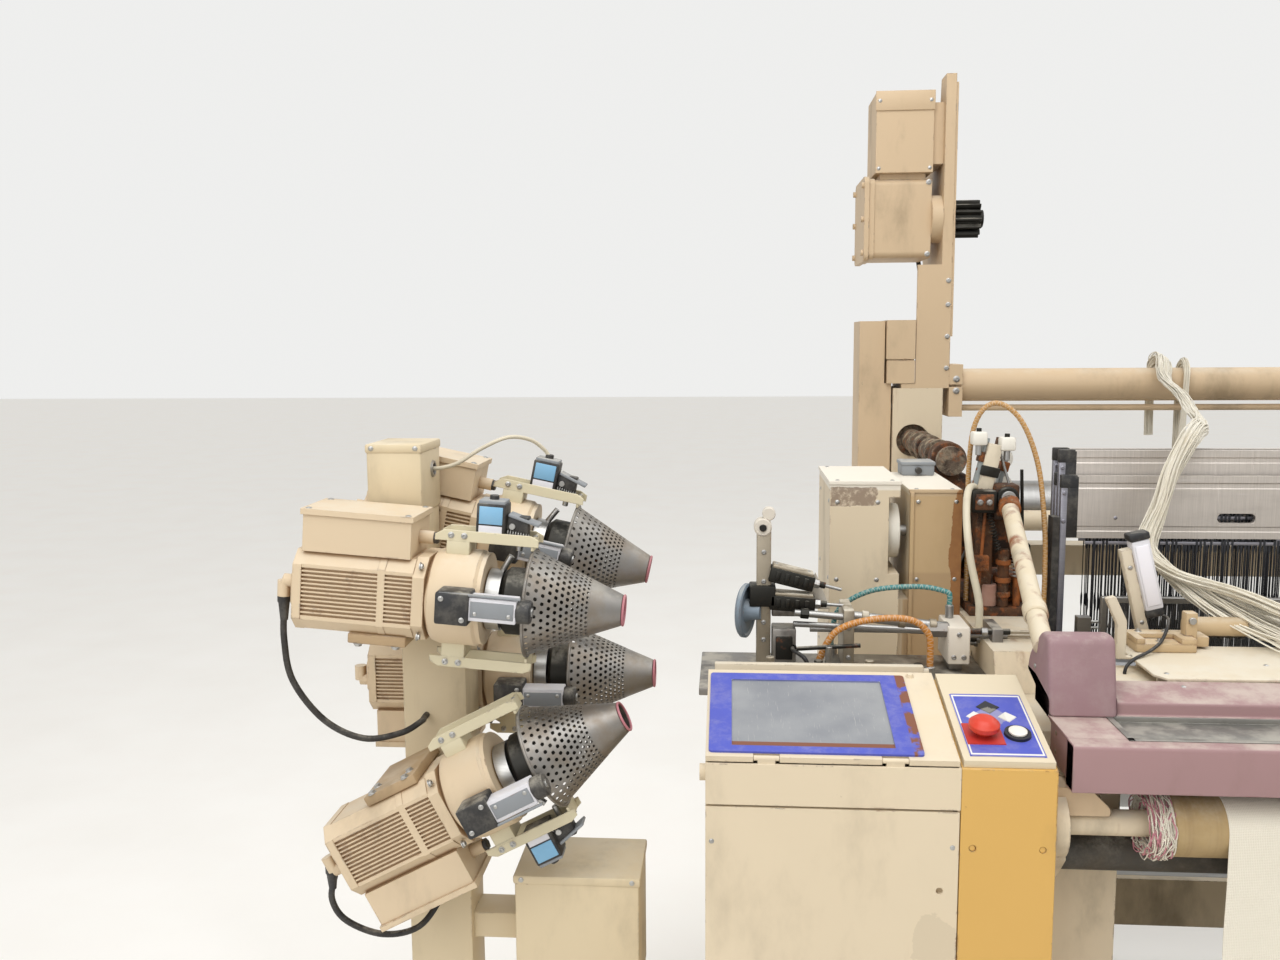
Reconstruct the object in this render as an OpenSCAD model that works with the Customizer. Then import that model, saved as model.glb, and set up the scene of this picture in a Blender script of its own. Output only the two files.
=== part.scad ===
// Air-jet power loom with its stand of four weft feeders, as it stands in the mill while it is stripped.
// Millimetres. X runs along the width of the loom, Y to the back, Z up.
// The origin lies on the floor under the centre leg, halfway along the reed.

/* [Frame] */
// Clear width between the two side frames
frame_gap = 2150; // [2130:5:2300]
// Thickness of a side frame casting
side_t = 125; // [115:1:140]
// Web that the pockets of a side frame leave
web_t = 25; // [14:1:40]
// Width of the ribs round those pockets
rib_w = 32; // [20:1:40]
// Height of a levelling foot
foot_h = 40; // [30:1:60]
// Height of the side frames beside the reed
frame_h = 1060; // [1045:5:1070]
// Distance from the reed space to the front edge of a side frame
frame_front = 530; // [525:1:535]
// Distance from there to the back edge
frame_back = 1010; // [1000:5:1030]
// Height of a rear column
column_h = 1429; // [1400:1:1450]
// Depth of a rear column
column_d = 160; // [140:5:180]
// Height of the stands for the upper beam
stand_h = 2205; // [2150:5:2300]
// Thickness of those stands
stand_t = 25; // [16:1:30]
// Diameter of the pipe across the back
pipe_d = 84; // [70:1:90]
// Wall of that pipe
pipe_wall = 5; // [3:1:8]

/* [Weaving] */
// Width that the healds and the reed cover
weave_w = 1960; // [1800:10:1980]
// Length of a heald frame
heald_frame_w = 2070; // [2040:5:2080]
// Height of a heald frame rail
rail_h = 111; // [90:1:120]
// Thickness of a heald frame
heald_frame_t = 10; // [8:0.5:12]
// Distance from one heald frame to the next
heald_pitch = 18; // [15:0.5:20]
// Free height between the two rails
heald_h = 331; // [300:1:340]
// Number of healds drawn on each frame
heald_count = 100; // [40:1:110]
// Travel of a heald frame
shed_travel = 43; // [30:1:48]
// Number of gaps drawn in the reed
reed_gaps = 110; // [40:1:120]
// Height of the reed above the sley
reed_h = 108; // [90:1:115]
// Diameter of the rocking shaft
rocking_d = 70; // [50:1:80]

/* [Rolls] */
// Diameter of the take-up roll
take_up_d = 82; // [70:1:90]
// Diameter of the press roll
press_d = 58; // [50:1:64]
// Diameter of the cloth wound on its beam
cloth_roll_d = 190; // [150:5:200]
// Diameter of the back rest roll
back_rest_d = 120; // [100:1:130]
// Diameter of the warp beam flanges
flange_d = 790; // [600:10:800]
// Thickness of the cloth
cloth_t = 1.6; // [1:0.1:3]
// Module of all gear teeth
gear_module = 6; // [6:1:6]
// Teeth of the warp beam gear
beam_teeth = 90; // [84:6:96]
// Teeth of the lower let-off pinion
pinion_teeth = 18; // [16:1:20]
// Teeth of the upper let-off pinion
upper_teeth = 14; // [12:1:16]

/* [Console] */
// Width of the console cabinet
cabinet_w = 325; // [300:1:360]
// Depth of the console
console_d = 214; // [200:1:220]
// Width of the switch column beside it
column_w = 120; // [115:1:140]
// Height of the front edge of the sloping lid
console_h = 1020; // [980:5:1030]
// Slope of the lid
lid_slope = 13.5; // [5:0.5:14]
// Thickness of the lid
lid_t = 8; // [7:1:12]
// Height of the fixed band between lid and door
band_h = 60; // [50:1:80]
// Thickness of the cabinet sheet
sheet_t = 3; // [2:0.5:4]
// Diameter of the stop button
stop_d = 40; // [36:1:44]
// Stroke of the stop button
stop_stroke = 6; // [3:0.5:7]
// Diameter of the start button
start_d = 24; // [20:1:26]
// Stroke of the start button
start_stroke = 4; // [2:0.5:5]

/* [Front cover] */
// Height of the front face of the cover
cover_h = 62; // [50:1:70]
// Height of the lower edge of the cover
cover_z = 982; // [975:1:990]
// Height of the cloth plate
plate_z = 1090; // [1085:1:1095]

/* [Feeders] */
// Length of a feeder from motor to nose
feeder_l = 451; // [430:1:470]
// Width of the square motor body
motor_w = 108; // [100:1:116]
// Cooling ribs on each side of the motor
fins = 12; // [6:1:14]
// Diameter of the bell housing
bell_d = 132; // [124:1:136]
// Diameter of the winding drum
drum_d = 92; // [80:1:100]
// Large diameter of the perforated cone
cone_d = 145; // [140:1:150]
// Small diameter of the cone
nose_d = 39; // [34:1:44]
// Length of the cone
cone_l = 129; // [120:1:135]
// Wall of the cone
cone_wall = 1.5; // [1:0.1:2]
// Width of the post of the stand
post_w = 95; // [80:1:100]
// Depth of that post
post_d = 80; // [60:1:90]

/* [Hidden] */

$fn = 48;
hull_fn = 24;
// Radial running clearance of a journal in its bore
run = 0.05;
// Gap between soft or turning faces and what they pass
gap = 0.3;
// Cut-through allowance of a drilled hole
eps = 1;

side_in = frame_gap / 2;
side_out = side_in + side_t;
column_y = frame_back - column_d;

// Shaft centres in the side frames, as [y, z]
rocking = [-110, 640];
crank = [-250, 420];
cloth_axis = [-566, 330];
beam_axis = [700, 480];
ease_axis = [700, 1112];
rest_axis = [812, 1136];
roll_axis = [-620, 920];
lift_front = [-360, 780];
lift_back = [930, 780];
journal_d = 50;
journal_l = 60;
small_journal_d = 30;
boss_wall = 28;

press_angle = -51;
press_reach = take_up_d / 2 + press_d / 2 + cloth_t + 2 * gap;
press_axis = [roll_axis[0] + press_reach * cos(press_angle), roll_axis[1] + press_reach * sin(press_angle)];

gear_reach = gear_module * (beam_teeth + pinion_teeth) / 2 + 0.4;
gear_angle = 200;
pinion_axis = [beam_axis[0] + gear_reach * cos(gear_angle), beam_axis[1] + gear_reach * sin(gear_angle)];
upper_axis = [905, 1857];

arm_t = 18;
arm_x = side_out - arm_t;
roll_x = arm_x - 2;

cream = "#d9c4a4";
beige = "#cdb692";
mauve = "#a87c80";
steel = "#b9bbbd";
dark = "#2f2f33";
rust = "#7a4a2c";

// A box between two limits on each axis
module span(x, y, z)
    translate([x[0], y[0], z[0]]) cube([x[1] - x[0], y[1] - y[0], z[1] - z[0]]);

// An outline in Y and Z, drawn out along X
module along_x(x0, x1)
    translate([x0, 0, 0]) rotate([90, 0, 90]) linear_extrude(x1 - x0) children();

// An outline in X and Z, drawn out along Y
module along_y(y0, y1)
    translate([0, y1, 0]) rotate([90, 0, 0]) linear_extrude(y1 - y0) children();

// A round bar along each axis; c holds its centre on the two other axes
module rod_x(x0, x1, c, d)
    translate([x0, c[0], c[1]]) rotate([0, 90, 0]) cylinder(d = d, h = x1 - x0);

module rod_y(y0, y1, c, d)
    translate([c[0], y1, c[1]]) rotate([90, 0, 0]) cylinder(d = d, h = y1 - y0);

module rod_z(z0, z1, c, d)
    translate([c[0], c[1], z0]) cylinder(d = d, h = z1 - z0);

// A round bar from one point to another
module rod_between(a, b, d) {
    v = b - a;
    translate(a) rotate([0, acos(v[2] / norm(v)), atan2(v[1], v[0])]) cylinder(d = d, h = norm(v));
}

module both_sides() {
    children();
    mirror([1, 0, 0]) children();
}

// A rectangle with true round corners, from its lower left corner
module round_rect(w, h, r) {
    translate([r, 0]) square([w - 2 * r, h]);
    translate([0, r]) square([w, h - 2 * r]);
    for (x = [r, w - r], y = [r, h - r]) translate([x, y]) circle(r);
}

// A hexagon nut or head along Z
module hex(d, h) cylinder(d = d, h = h, $fn = 6);

// Gear outline with involute flanks; lash is the play taken from each tooth
pressure = 20;
function inv(a) = tan(a) * 180 / PI - a;
function tooth_half(r, z, m, lash) =
    let (rp = m * z / 2, rb = rp * cos(pressure), a = r > rb ? acos(rb / r) : 0)
    90 / z - lash / rp * 90 / PI + inv(pressure) - inv(a);
function tooth_radii(z, m) =
    let (rp = m * z / 2, low = rp - 1.2 * m, high = rp + 0.95 * m, base = max(low + 0.1, rp * cos(pressure)))
    [low, base, (base + high) / 2, high];
function gear_points(z, m, turn, lash) =
    let (radii = tooth_radii(z, m), n = len(radii))
    [for (k = [0:z - 1], s = [-1, 1], j = [0:n - 1])
        let (r = radii[s < 0 ? j : n - 1 - j], a = turn + k * 360 / z + s * tooth_half(r, z, m, lash))
        [r * cos(a), r * sin(a)]];

// A comb with its teeth down, from x = 0; w is its width, back its back, h its full height
function comb_points(w, back, h, gaps, open) =
    let (pitch = w / gaps)
    concat([[0, h], [0, 0]],
        [for (k = [0:gaps - 1]) each [[(k + (1 - open) / 2) * pitch, 0], [(k + (1 - open) / 2) * pitch, h - back],
            [(k + (1 + open) / 2) * pitch, h - back], [(k + (1 + open) / 2) * pitch, 0]]],
        [[w, 0], [w, h]]);

// A tube swept along points, as one closed polyhedron of eight sides
sides = 8;
function unit(v) = v / norm(v);
function tangents(p) = [for (i = [0:len(p) - 1]) unit(p[min(i + 1, len(p) - 1)] - p[max(i - 1, 0)])];
function across(t) = abs(t[2]) < 0.9 ? unit(cross(t, [0, 0, 1])) : unit(cross(t, [0, 1, 0]));
function carry(t, i, prev) =
    i == len(t) ? [] : let (n = unit(prev - (prev * t[i]) * t[i])) concat([n], carry(t, i + 1, n));
module tube_along(p, d) {
    t = tangents(p);
    n = carry(t, 0, across(t[0]));
    m = len(p);
    points = [for (i = [0:m - 1], k = [0:sides - 1])
        p[i] + d / 2 * (cos(k * 360 / sides) * n[i] + sin(k * 360 / sides) * cross(t[i], n[i]))];
    skin = [for (i = [0:m - 2], k = [0:sides - 1]) let (q = (k + 1) % sides)
        each [[i * sides + k, (i + 1) * sides + k, (i + 1) * sides + q], [i * sides + k, (i + 1) * sides + q, i * sides + q]]];
    ends = [[for (k = [0:sides - 1]) k], [for (k = [sides - 1:-1:0]) (m - 1) * sides + k]];
    polyhedron(points, concat(skin, ends));
}

// A smooth line through chosen points, with extra points worked out between them
function spline_at(a, b, c, d, t) =
    0.5 * (2 * b + (c - a) * t + (2 * a - 5 * b + 4 * c - d) * t * t + (3 * b - a - 3 * c + d) * t * t * t);
function smooth(p, steps) =
    [for (i = [0:len(p) - 2], s = [0:steps - 1])
        spline_at(p[max(i - 1, 0)], p[i], p[i + 1], p[min(i + 2, len(p) - 1)], s / steps), p[len(p) - 1]];

// The side frames: box castings with pockets outside, bosses round every shaft and open feet
function side_outline() = [
    [-frame_front, foot_h], [-frame_front, 960], [-frame_front + 30, 1000], [-330, 1000],
    [-300, frame_h], [600, frame_h], [650, 1170], [column_y, 1170], [column_y, column_h],
    [frame_back, column_h], [frame_back, foot_h], [760, foot_h], [690, 130], [-250, 130], [-320, foot_h]
];
pockets = [
    [[-500, 260], [-330, 220], [-330, 520], [-500, 560]],
    [[-500, 600], [-330, 560], [-330, 700], [-500, 720]],
    [[-290, 170], [-140, 170], [-140, 330], [-290, 330]],
    [[-100, 170], [240, 170], [240, 560], [-100, 560]],
    [[-290, 720], [-140, 720], [-140, 1020], [-290, 940]],
    [[20, 600], [240, 600], [240, 1020], [20, 1020]],
    [[280, 640], [570, 720], [570, 1020], [280, 1020]],
    [[280, 170], [380, 170], [480, 290], [280, 290]],
    [[880, 170], [970, 170], [970, 700], [880, 640]],
    [[880, 860], [970, 860], [970, 1180], [880, 1180]]
];
bosses = [
    [rocking, journal_d], [crank, journal_d], [beam_axis, journal_d], [ease_axis, small_journal_d],
    [lift_front, 42], [lift_back, 42], [pinion_axis, small_journal_d]
];
leno_axis = [-1148, 1295];
leno_hole_d = 83;

module side_casting() {
    difference() {
        union() {
            difference() {
                along_x(side_in, side_out) polygon(side_outline());
                for (p = pockets) along_x(side_in + web_t, side_out + eps) polygon(p);
            }
            for (b = bosses) rod_x(side_in + web_t - eps, side_out, b[0], b[1] + 2 * boss_wall);
            // Cradle of the cloth beam, in front of the web
            along_x(side_in, side_in + web_t) union() {
                polygon([[-frame_front - 1, 240], [-frame_front - 1, 440], [cloth_axis[0], 385], [cloth_axis[0], 275]]);
                translate(cloth_axis) circle(55);
            }
            // Arm for the take-up and press rolls, level with the outer face
            along_x(arm_x, side_out) union() {
                polygon([[-frame_front + 60, 800], [-frame_front + 60, 958], roll_axis + [0, 46], roll_axis - [30, 40],
                    press_axis - [30, 34]]);
                translate(roll_axis) circle(46);
                translate(press_axis) circle(34);
            }
        }
        for (b = bosses) rod_x(side_in - eps, side_out + eps, b[0], b[1] + 2 * run);
        rod_x(side_in - eps, side_in + web_t + eps, cloth_axis, small_journal_d + 2 * run);
        rod_x(arm_x - eps, side_out + eps, roll_axis, small_journal_d + 2 * run);
        rod_x(arm_x - eps, side_out + eps, press_axis, 20 + 2 * run);
    }
}

module left_side_frame() color(cream) difference() {
    mirror([1, 0, 0]) side_casting();
    rod_y(column_y - eps, column_y + 90, leno_axis, leno_hole_d);
}

module right_side_frame() color(cream) side_casting();

// Cross members: breast girder, two lower girders, rear girder, and the centre leg with its bearing
girder_t = 8;
leg_w = 90;
centre_pad = 120;
// Each girder as [y limits, z limits]
breast = [[-470, -370], [960, 1060]];
low_front = [[-430, -350], [150, 230]];
middle = [[-40, 60], [470, 560]];
rear = [[930, 1000], [930, 1010]];
module girder(g)
    difference() {
        span([-side_in, side_in], g[0], g[1]);
        span([-side_in + 20, side_in - 20], [g[0][0] + girder_t, g[0][1] - girder_t],
            [g[1][0] + girder_t, g[1][1] - girder_t]);
    }
module cross_girders() color(cream) difference() {
    union() {
        for (g = [breast, low_front, middle, rear]) girder(g);
        span([-leg_w / 2, leg_w / 2], [-30, 50], [14, middle[1][0]]);
        span([-centre_pad / 2, centre_pad / 2], [-centre_pad / 2, centre_pad / 2], [0, 14]);
        along_x(-30, 30) union() {
            polygon([[middle[0][0], middle[1][1]], [middle[0][1], middle[1][1]], rocking + [50, 0], rocking + [-50, 0],
                [middle[0][0] - 60, middle[1][0] + 20], [middle[0][0], middle[1][0]]]);
            translate(rocking) circle(rocking_d / 2 + 18);
        }
    }
    rod_x(-30 - eps, 30 + eps, rocking, rocking_d + 2 * run);
}

// Levelling feet: a turned pad with its stem, and a nut under the casting
module levelling_foot(x, y, z) {
    rod_z(0, 14, [x, y], 92);
    rod_z(14, z - 12, [x, y], 24);
    translate([x, y, z - 12]) hex(46, 12);
}
module levelling_feet() color(dark) {
    both_sides() for (y = [-frame_front + 90, frame_back - 90]) levelling_foot((side_in + side_out) / 2, y, foot_h);
    for (x = [cabinet_x0 + 45, cabinet_x1 - 45]) levelling_foot(x, -console_front + console_d / 2, plinth_z);
}

// Pipe and bright rod across the back, each held in a clamp block on the stand
pipe_axis = [905, 1435];
bright_axis = [905, 1376];
bright_d = 16;
stand_x0 = side_in - 15;
stand_x1 = stand_x0 + stand_t;
clamp_l = 34;
module top_pipe() color(beige) {
    difference() {
        rod_x(-stand_x0 + clamp_l / 2, stand_x0 - clamp_l / 2, pipe_axis, pipe_d);
        rod_x(-stand_x0 + clamp_l, stand_x0 - clamp_l, pipe_axis, pipe_d - 2 * pipe_wall);
    }
    rod_x(-stand_x0 + clamp_l / 2, stand_x0 - clamp_l / 2, bright_axis, bright_d);
    both_sides() difference() {
        span([stand_x0 - clamp_l, stand_x0], [pipe_axis[0] - 56, pipe_axis[0] + 56], [bright_axis[1] - 20, pipe_axis[1] + 54]);
        rod_x(stand_x0 - clamp_l - eps, stand_x0 - clamp_l / 2, pipe_axis, pipe_d);
        rod_x(stand_x0 - clamp_l - eps, stand_x0 - clamp_l / 2, bright_axis, bright_d);
        // Split of the clamp
        span([stand_x0 - clamp_l - eps, stand_x0 + eps], [pipe_axis[0] - 60, pipe_axis[0] - 40],
            [pipe_axis[1] - 3, pipe_axis[1] + 3]);
    }
}

// Folded front cover: front wall, lips, floor and the rear ledge, carried on brackets at both ends
console_front = 677;
cover_end = side_out - 14;
ledge_front = 592;
ledge_back = 494;
ledge_z = 1075;
wall = 3;
module front_cover() color(mauve) {
    f = -console_front;
    along_x(-cover_end, cover_end) polygon([
        [f, cover_z], [f, cover_z + cover_h], [f + 16, cover_z + cover_h], [f + 16, cover_z + cover_h - wall],
        [f + wall, cover_z + cover_h - wall], [f + wall, cover_z + wall], [-ledge_front, cover_z + wall],
        [-ledge_front, ledge_z - 13], [-ledge_back, ledge_z], [-ledge_back, ledge_z - 30], [-ledge_back - wall, ledge_z - 30],
        [-ledge_back - wall, ledge_z - wall], [-ledge_front + wall, ledge_z - 13 - wall], [-ledge_front + wall, cover_z]]);
    // End brackets down to the side frames
    both_sides() along_x(side_in + 8, side_in + 26)
        polygon([[-ledge_front + wall, cover_z + 4], [-ledge_front + wall, ledge_z - 24], [-500, ledge_z - 16],
            [-500, 1000], [-520, 1000], [-520, cover_z + 4]]);
}

// Upright end pads of the cover, leaning back
pad_w = 95;
pad_h = 113;
pad_t = 46;
pad_lean = 12;
pad_x = 1170;
module cover_end_pads() color(mauve) both_sides()
    difference() {
        translate([pad_x - pad_w, -ledge_front - 12, ledge_z - 51]) rotate([-pad_lean, 0, 0])
            translate([0, pad_t, 0]) rotate([90, 0, 0]) linear_extrude(pad_t) round_rect(pad_w, pad_h, 14);
        // Step that sits over the ledge
        along_x(pad_x - pad_w - eps, pad_x + eps) polygon([[-ledge_front - gap, cover_z], [-ledge_front - gap, ledge_z - 13 + gap],
            [-ledge_back, ledge_z + gap], [-ledge_back, cover_z]]);
    }

// Shallow tray in the cover
tray_z = 1030;
module cover_tray() color(steel) {
    y0 = -console_front + wall + gap;
    y1 = -ledge_front - gap;
    difference() {
        span([-side_in, side_in], [y0, y1], [tray_z - 8, tray_z]);
        span([-side_in + 2, side_in - 2], [y0 + 2, y1 - 2], [tray_z - 6, tray_z + eps]);
    }
    for (x = [-900:450:900]) span([x - 15, x + 15], [y0 + 8, y1 - 8], [cover_z + wall, tray_z - 8]);
}

// Cloth plate on the breast girder: a folded sheet with two legs and a cut corner at each end
plate_x = 1010;
plate_front = ledge_back;
plate_back = 319;
plate_t = 4;
plate_cut = 60;
module cloth_plate() color(cream) {
    translate([0, 0, plate_z - plate_t]) linear_extrude(plate_t) polygon([
        [-plate_x + plate_cut, -plate_front], [plate_x - plate_cut, -plate_front], [plate_x, -plate_front + plate_cut * 1.6],
        [plate_x, -plate_back], [-plate_x, -plate_back], [-plate_x, -plate_front + plate_cut * 1.6]]);
    span([-plate_x + plate_cut, plate_x - plate_cut], [-plate_front, -plate_front + wall], [ledge_z + 2, plate_z - plate_t]);
    for (y = [breast[0][0] + 6, breast[0][1] - 12])
        span([-plate_x + 10, plate_x - 10], [y, y + 5], [breast[1][1], plate_z - plate_t]);
}

// Temples: a block on the plate, an arm, and a ring roller in its housing
temple_y = -290;
temple_z = plate_z + 22;
module temple() {
    x = weave_w / 2 - 165;
    difference() {
        span([x + 20, x + 100], [-400, -330], [plate_z, plate_z + 34]);
        span([x + 36, x + 84], [-401, -352], [plate_z + 14, plate_z + 35]);
    }
    span([x + 50, x + 70], [-330, temple_y - 8], [plate_z + 12, plate_z + 30]);
    difference() {
        rod_x(x, x + 114, [temple_y, temple_z], 34);
        rod_x(x - eps, x + 106, [temple_y, temple_z - 6], 25);
        span([x - eps, x + 115], [temple_y - 20, temple_y + 20], [temple_z - 20, temple_z - 9]);
    }
    for (k = [0:5]) rod_x(x + 4 + k * 17, x + 19 + k * 17, [temple_y, temple_z - 6], 22 - (k % 2) * 3);
    rod_x(x + 4, x + 112, [temple_y, temple_z - 6], 12);
}
module temples() color(rust) both_sides() temple();

// Console cabinet with its door and lid
cabinet_x1 = -side_out - 3 - column_w;
cabinet_x0 = cabinet_x1 - cabinet_w;
plinth_z = 60;
door_z0 = plinth_z + 12;
door_z1 = console_h - lid_t - band_h;
door_t = 3;
door_turn = 19;
pin_d = 6;
door_pin = [cabinet_x0 + 10, -console_front + 10];
lid_rise = console_d * tan(lid_slope);
lid_l = console_d / cos(lid_slope);
lid_drop = lid_t / cos(lid_slope) + 2;
f_y = -console_front;
b_y = -console_front + console_d;
// Outline of a cabinet wall from the side, up to the sloping lid
function wall_outline(front, z0) = [
    [front, z0], [front, console_h - lid_drop + (front - f_y) * tan(lid_slope)],
    [b_y, console_h - lid_drop + console_d * tan(lid_slope)], [b_y, z0]];
module console_cabinet() color(cream) {
    difference() {
        along_x(cabinet_x0, cabinet_x1) polygon(wall_outline(f_y, plinth_z));
        // Main hollow, open at the front below the band and at the top
        along_x(cabinet_x0 + sheet_t, cabinet_x1 - sheet_t) polygon([
            [f_y + sheet_t, plinth_z + sheet_t], [f_y + sheet_t, console_h + 100], [b_y - sheet_t, console_h + 100],
            [b_y - sheet_t, plinth_z + sheet_t]]);
        span([cabinet_x0 - eps, cabinet_x1 - sheet_t], [f_y - eps, f_y + 25], [door_z0 - 3, door_z1 + 3]);
        span([cabinet_x1 - sheet_t - eps, cabinet_x1 + eps], [f_y - eps, f_y + door_t + 0.5], [door_z0 - 3, door_z1 + 3]);
    }
    // Bottom and top rails that carry the door pins
    for (z = [plinth_z + sheet_t, door_z1 + 3])
        span([cabinet_x0 + sheet_t, cabinet_x1 - sheet_t], [f_y + sheet_t, f_y + 26], [z, z + 6]);
    for (z = [[plinth_z + sheet_t + 6, door_z0 + 9], [door_z1 - 9, door_z1 + 3]]) rod_z(z[0], z[1], door_pin, pin_d);
    // Mounting plate with its units
    span([cabinet_x0 + 20, cabinet_x1 - 20], [b_y - sheet_t - 12, b_y - sheet_t - 8], [140, 900]);
    for (x = [cabinet_x0 + 60, cabinet_x1 - 60], z = [180, 860])
        rod_y(b_y - sheet_t - 8, b_y - sheet_t, [x, z], 10);
    for (k = [0:2]) span([cabinet_x0 + 40 + k * 84, cabinet_x0 + 108 + k * 84], [b_y - 95, b_y - sheet_t - 12], [620, 830]);
    span([cabinet_x0 + 40, cabinet_x1 - 40], [b_y - 110, b_y - sheet_t - 12], [180, 420]);
    // Hinge knuckles of the lid, with their pins
    on_lid(cabinet_x0) for (x = hinge_x) translate([x, hinge_local[0], hinge_local[1]]) rotate([0, 90, 0]) {
        cylinder(d = 7, h = knuckle_w);
        translate([0, 0, -7]) cylinder(d = hinge_pin_d, h = knuckle_w + 14);
    }
    for (x = hinge_x) span([cabinet_x0 + x + 5, cabinet_x0 + x + knuckle_w - 5], [f_y + 1.6, f_y + 6],
        [console_h - lid_drop - 6, console_h - 3]);
    // Side knob
    rod_x(cabinet_x0 - 8, cabinet_x0, [f_y + 22, 990], 22);
}

module console_door() color(cream) difference() {
    union() {
        span([cabinet_x0, cabinet_x1 - 1], [f_y, f_y + door_t], [door_z0, door_z1]);
        span([cabinet_x0, cabinet_x0 + sheet_t], [f_y, f_y + door_turn], [door_z0, door_z1]);
        span([cabinet_x1 - 10, cabinet_x1 - 7], [f_y, f_y + door_turn], [door_z0 + 4, door_z1 - 4]);
        for (z = [door_z0, door_z1 - 8]) span([cabinet_x0, cabinet_x1 - 7], [f_y, f_y + door_turn], [z, z + 8]);
        // Lock
        rod_y(f_y + door_t, f_y + 16, [cabinet_x1 - 24, 846], 18);
    }
    for (z = [door_z0 - eps, door_z1 - 9]) rod_z(z, z + 10, door_pin, pin_d + 2 * run);
    rod_y(f_y - eps, f_y + 8, [cabinet_x1 - 24, 846], 9);
}

// Things on the sloping top are placed in its own frame: x to the right, y up the slope, z out of it
module on_lid(x) translate([x, f_y, console_h]) rotate([lid_slope, 0, 0]) children();
hinge_local = [4, -4];
hinge_x = [62, 226];
knuckle_w = 33;
hinge_pin_d = 3;
module console_lid() color(cream) {
    on_lid(cabinet_x0) difference() {
        translate([0, 0, -lid_t]) cube([cabinet_w - 2, lid_l, lid_t]);
        translate([2, 10, -lid_t - eps]) cube([cabinet_w - 6, lid_l - 12, lid_t - 2 + eps]);
        // Notches for the two hinge knuckles and the bores of their pins
        for (x = hinge_x) {
            translate([x - 0.5, -eps, -lid_t - eps]) cube([knuckle_w + 1, 9 + eps, lid_t + 2 * eps]);
            translate([x - 8, hinge_local[0], hinge_local[1]]) rotate([0, 90, 0])
                cylinder(d = hinge_pin_d + 2 * run, h = knuckle_w + 16);
        }
    }
    // Lamp
    on_lid(cabinet_x0 + 290) translate([0, 208, 0]) cylinder(d1 = 12, d2 = 8, h = 5);
}

display_w = 276;
display_h = 198;
module display_panel() color("#3f55b5") on_lid(cabinet_x0 + 4) translate([0, 8, run]) {
    difference() {
        linear_extrude(3) round_rect(display_w, display_h, 5);
        translate([30, 14, 1]) linear_extrude(3) round_rect(211, 166, 3);
    }
}

// Switch column with a pocket for the button stems, screwed to the side frame
column_x0 = cabinet_x1;
column_x1 = column_x0 + column_w;
screw_z = 905;
module switch_column() color("#c99a4b") {
    difference() {
        along_x(column_x0 + 0.5, column_x1) polygon(wall_outline(f_y, plinth_z));
        on_lid(column_x0) translate([12, 12, -70 - lid_t]) cube([column_w - 24, lid_l - 60, 70]);
        for (x = [16, column_w - 16]) rod_y(f_y - eps, f_y + 4, [column_x0 + x, screw_z], 9);
    }
    for (x = [16, column_w - 16]) rod_y(f_y + 1, f_y + 4, [column_x0 + x, screw_z], 7.8);
    // Spacers to the side frame
    for (z = [300, 800]) rod_x(column_x1, column_x1 + 3, [f_y + 180, z], 40);
}

stop_at = [36, 62];
start_at = [80, 62];
panel_t = lid_drop * cos(lid_slope) - gap;
module switch_panel() color("#4a5bb8") on_lid(column_x0 + 3) {
    difference() {
        union() {
            translate([0, 2, -panel_t]) cube([column_w - 6, lid_l - 4, panel_t]);
            translate([9, 12, 0]) linear_extrude(1) round_rect(column_w - 24, 150, 4);
            translate([start_at[0], start_at[1], 1]) cylinder(d = 34, h = 4);
            translate([stop_at[0] - 24, stop_at[1] - 24, 1]) cube([48, 48, 1]);
            for (k = [[55, 128, 22], [34, 104, 17], [76, 104, 17]])
                translate([k[0], k[1], 1]) rotate(45) translate([-k[2] / 2, -k[2] / 2, 0]) cube([k[2], k[2], 0.8]);
        }
        translate([stop_at[0], stop_at[1], -panel_t - eps]) cylinder(d = 16 + 2 * run, h = 20);
        translate([start_at[0], start_at[1], -panel_t - eps]) cylinder(d = start_d - 10 + 2 * run, h = 20);
        translate([start_at[0], start_at[1], 5 - start_stroke - 1]) cylinder(d = start_d + 1, h = 10);
    }
}

// Mushroom stop button: turned head on a stem
module estop_button() color("#d8402c") on_lid(column_x0 + 3) translate([stop_at[0], stop_at[1], 0])
    rotate_extrude() polygon([[0, -24], [8, -24], [8, 3 + stop_stroke], [stop_d / 2 - 3, 3 + stop_stroke],
        [stop_d / 2, 6 + stop_stroke], [stop_d / 2, 12 + stop_stroke], [stop_d / 2 - 5, 17 + stop_stroke],
        [stop_d / 4, 20 + stop_stroke], [0, 21 + stop_stroke]]);

module start_button() color("#ece8e0") on_lid(column_x0 + 3) translate([start_at[0], start_at[1], 0])
    rotate_extrude() polygon([[0, -22], [start_d / 2 - 5, -22], [start_d / 2 - 5, 2], [start_d / 2 - 5, 5.2],
        [start_d / 2, 5.2], [start_d / 2, 7.5], [start_d / 2 - 2, 8.5], [0, 9]]);

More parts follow.
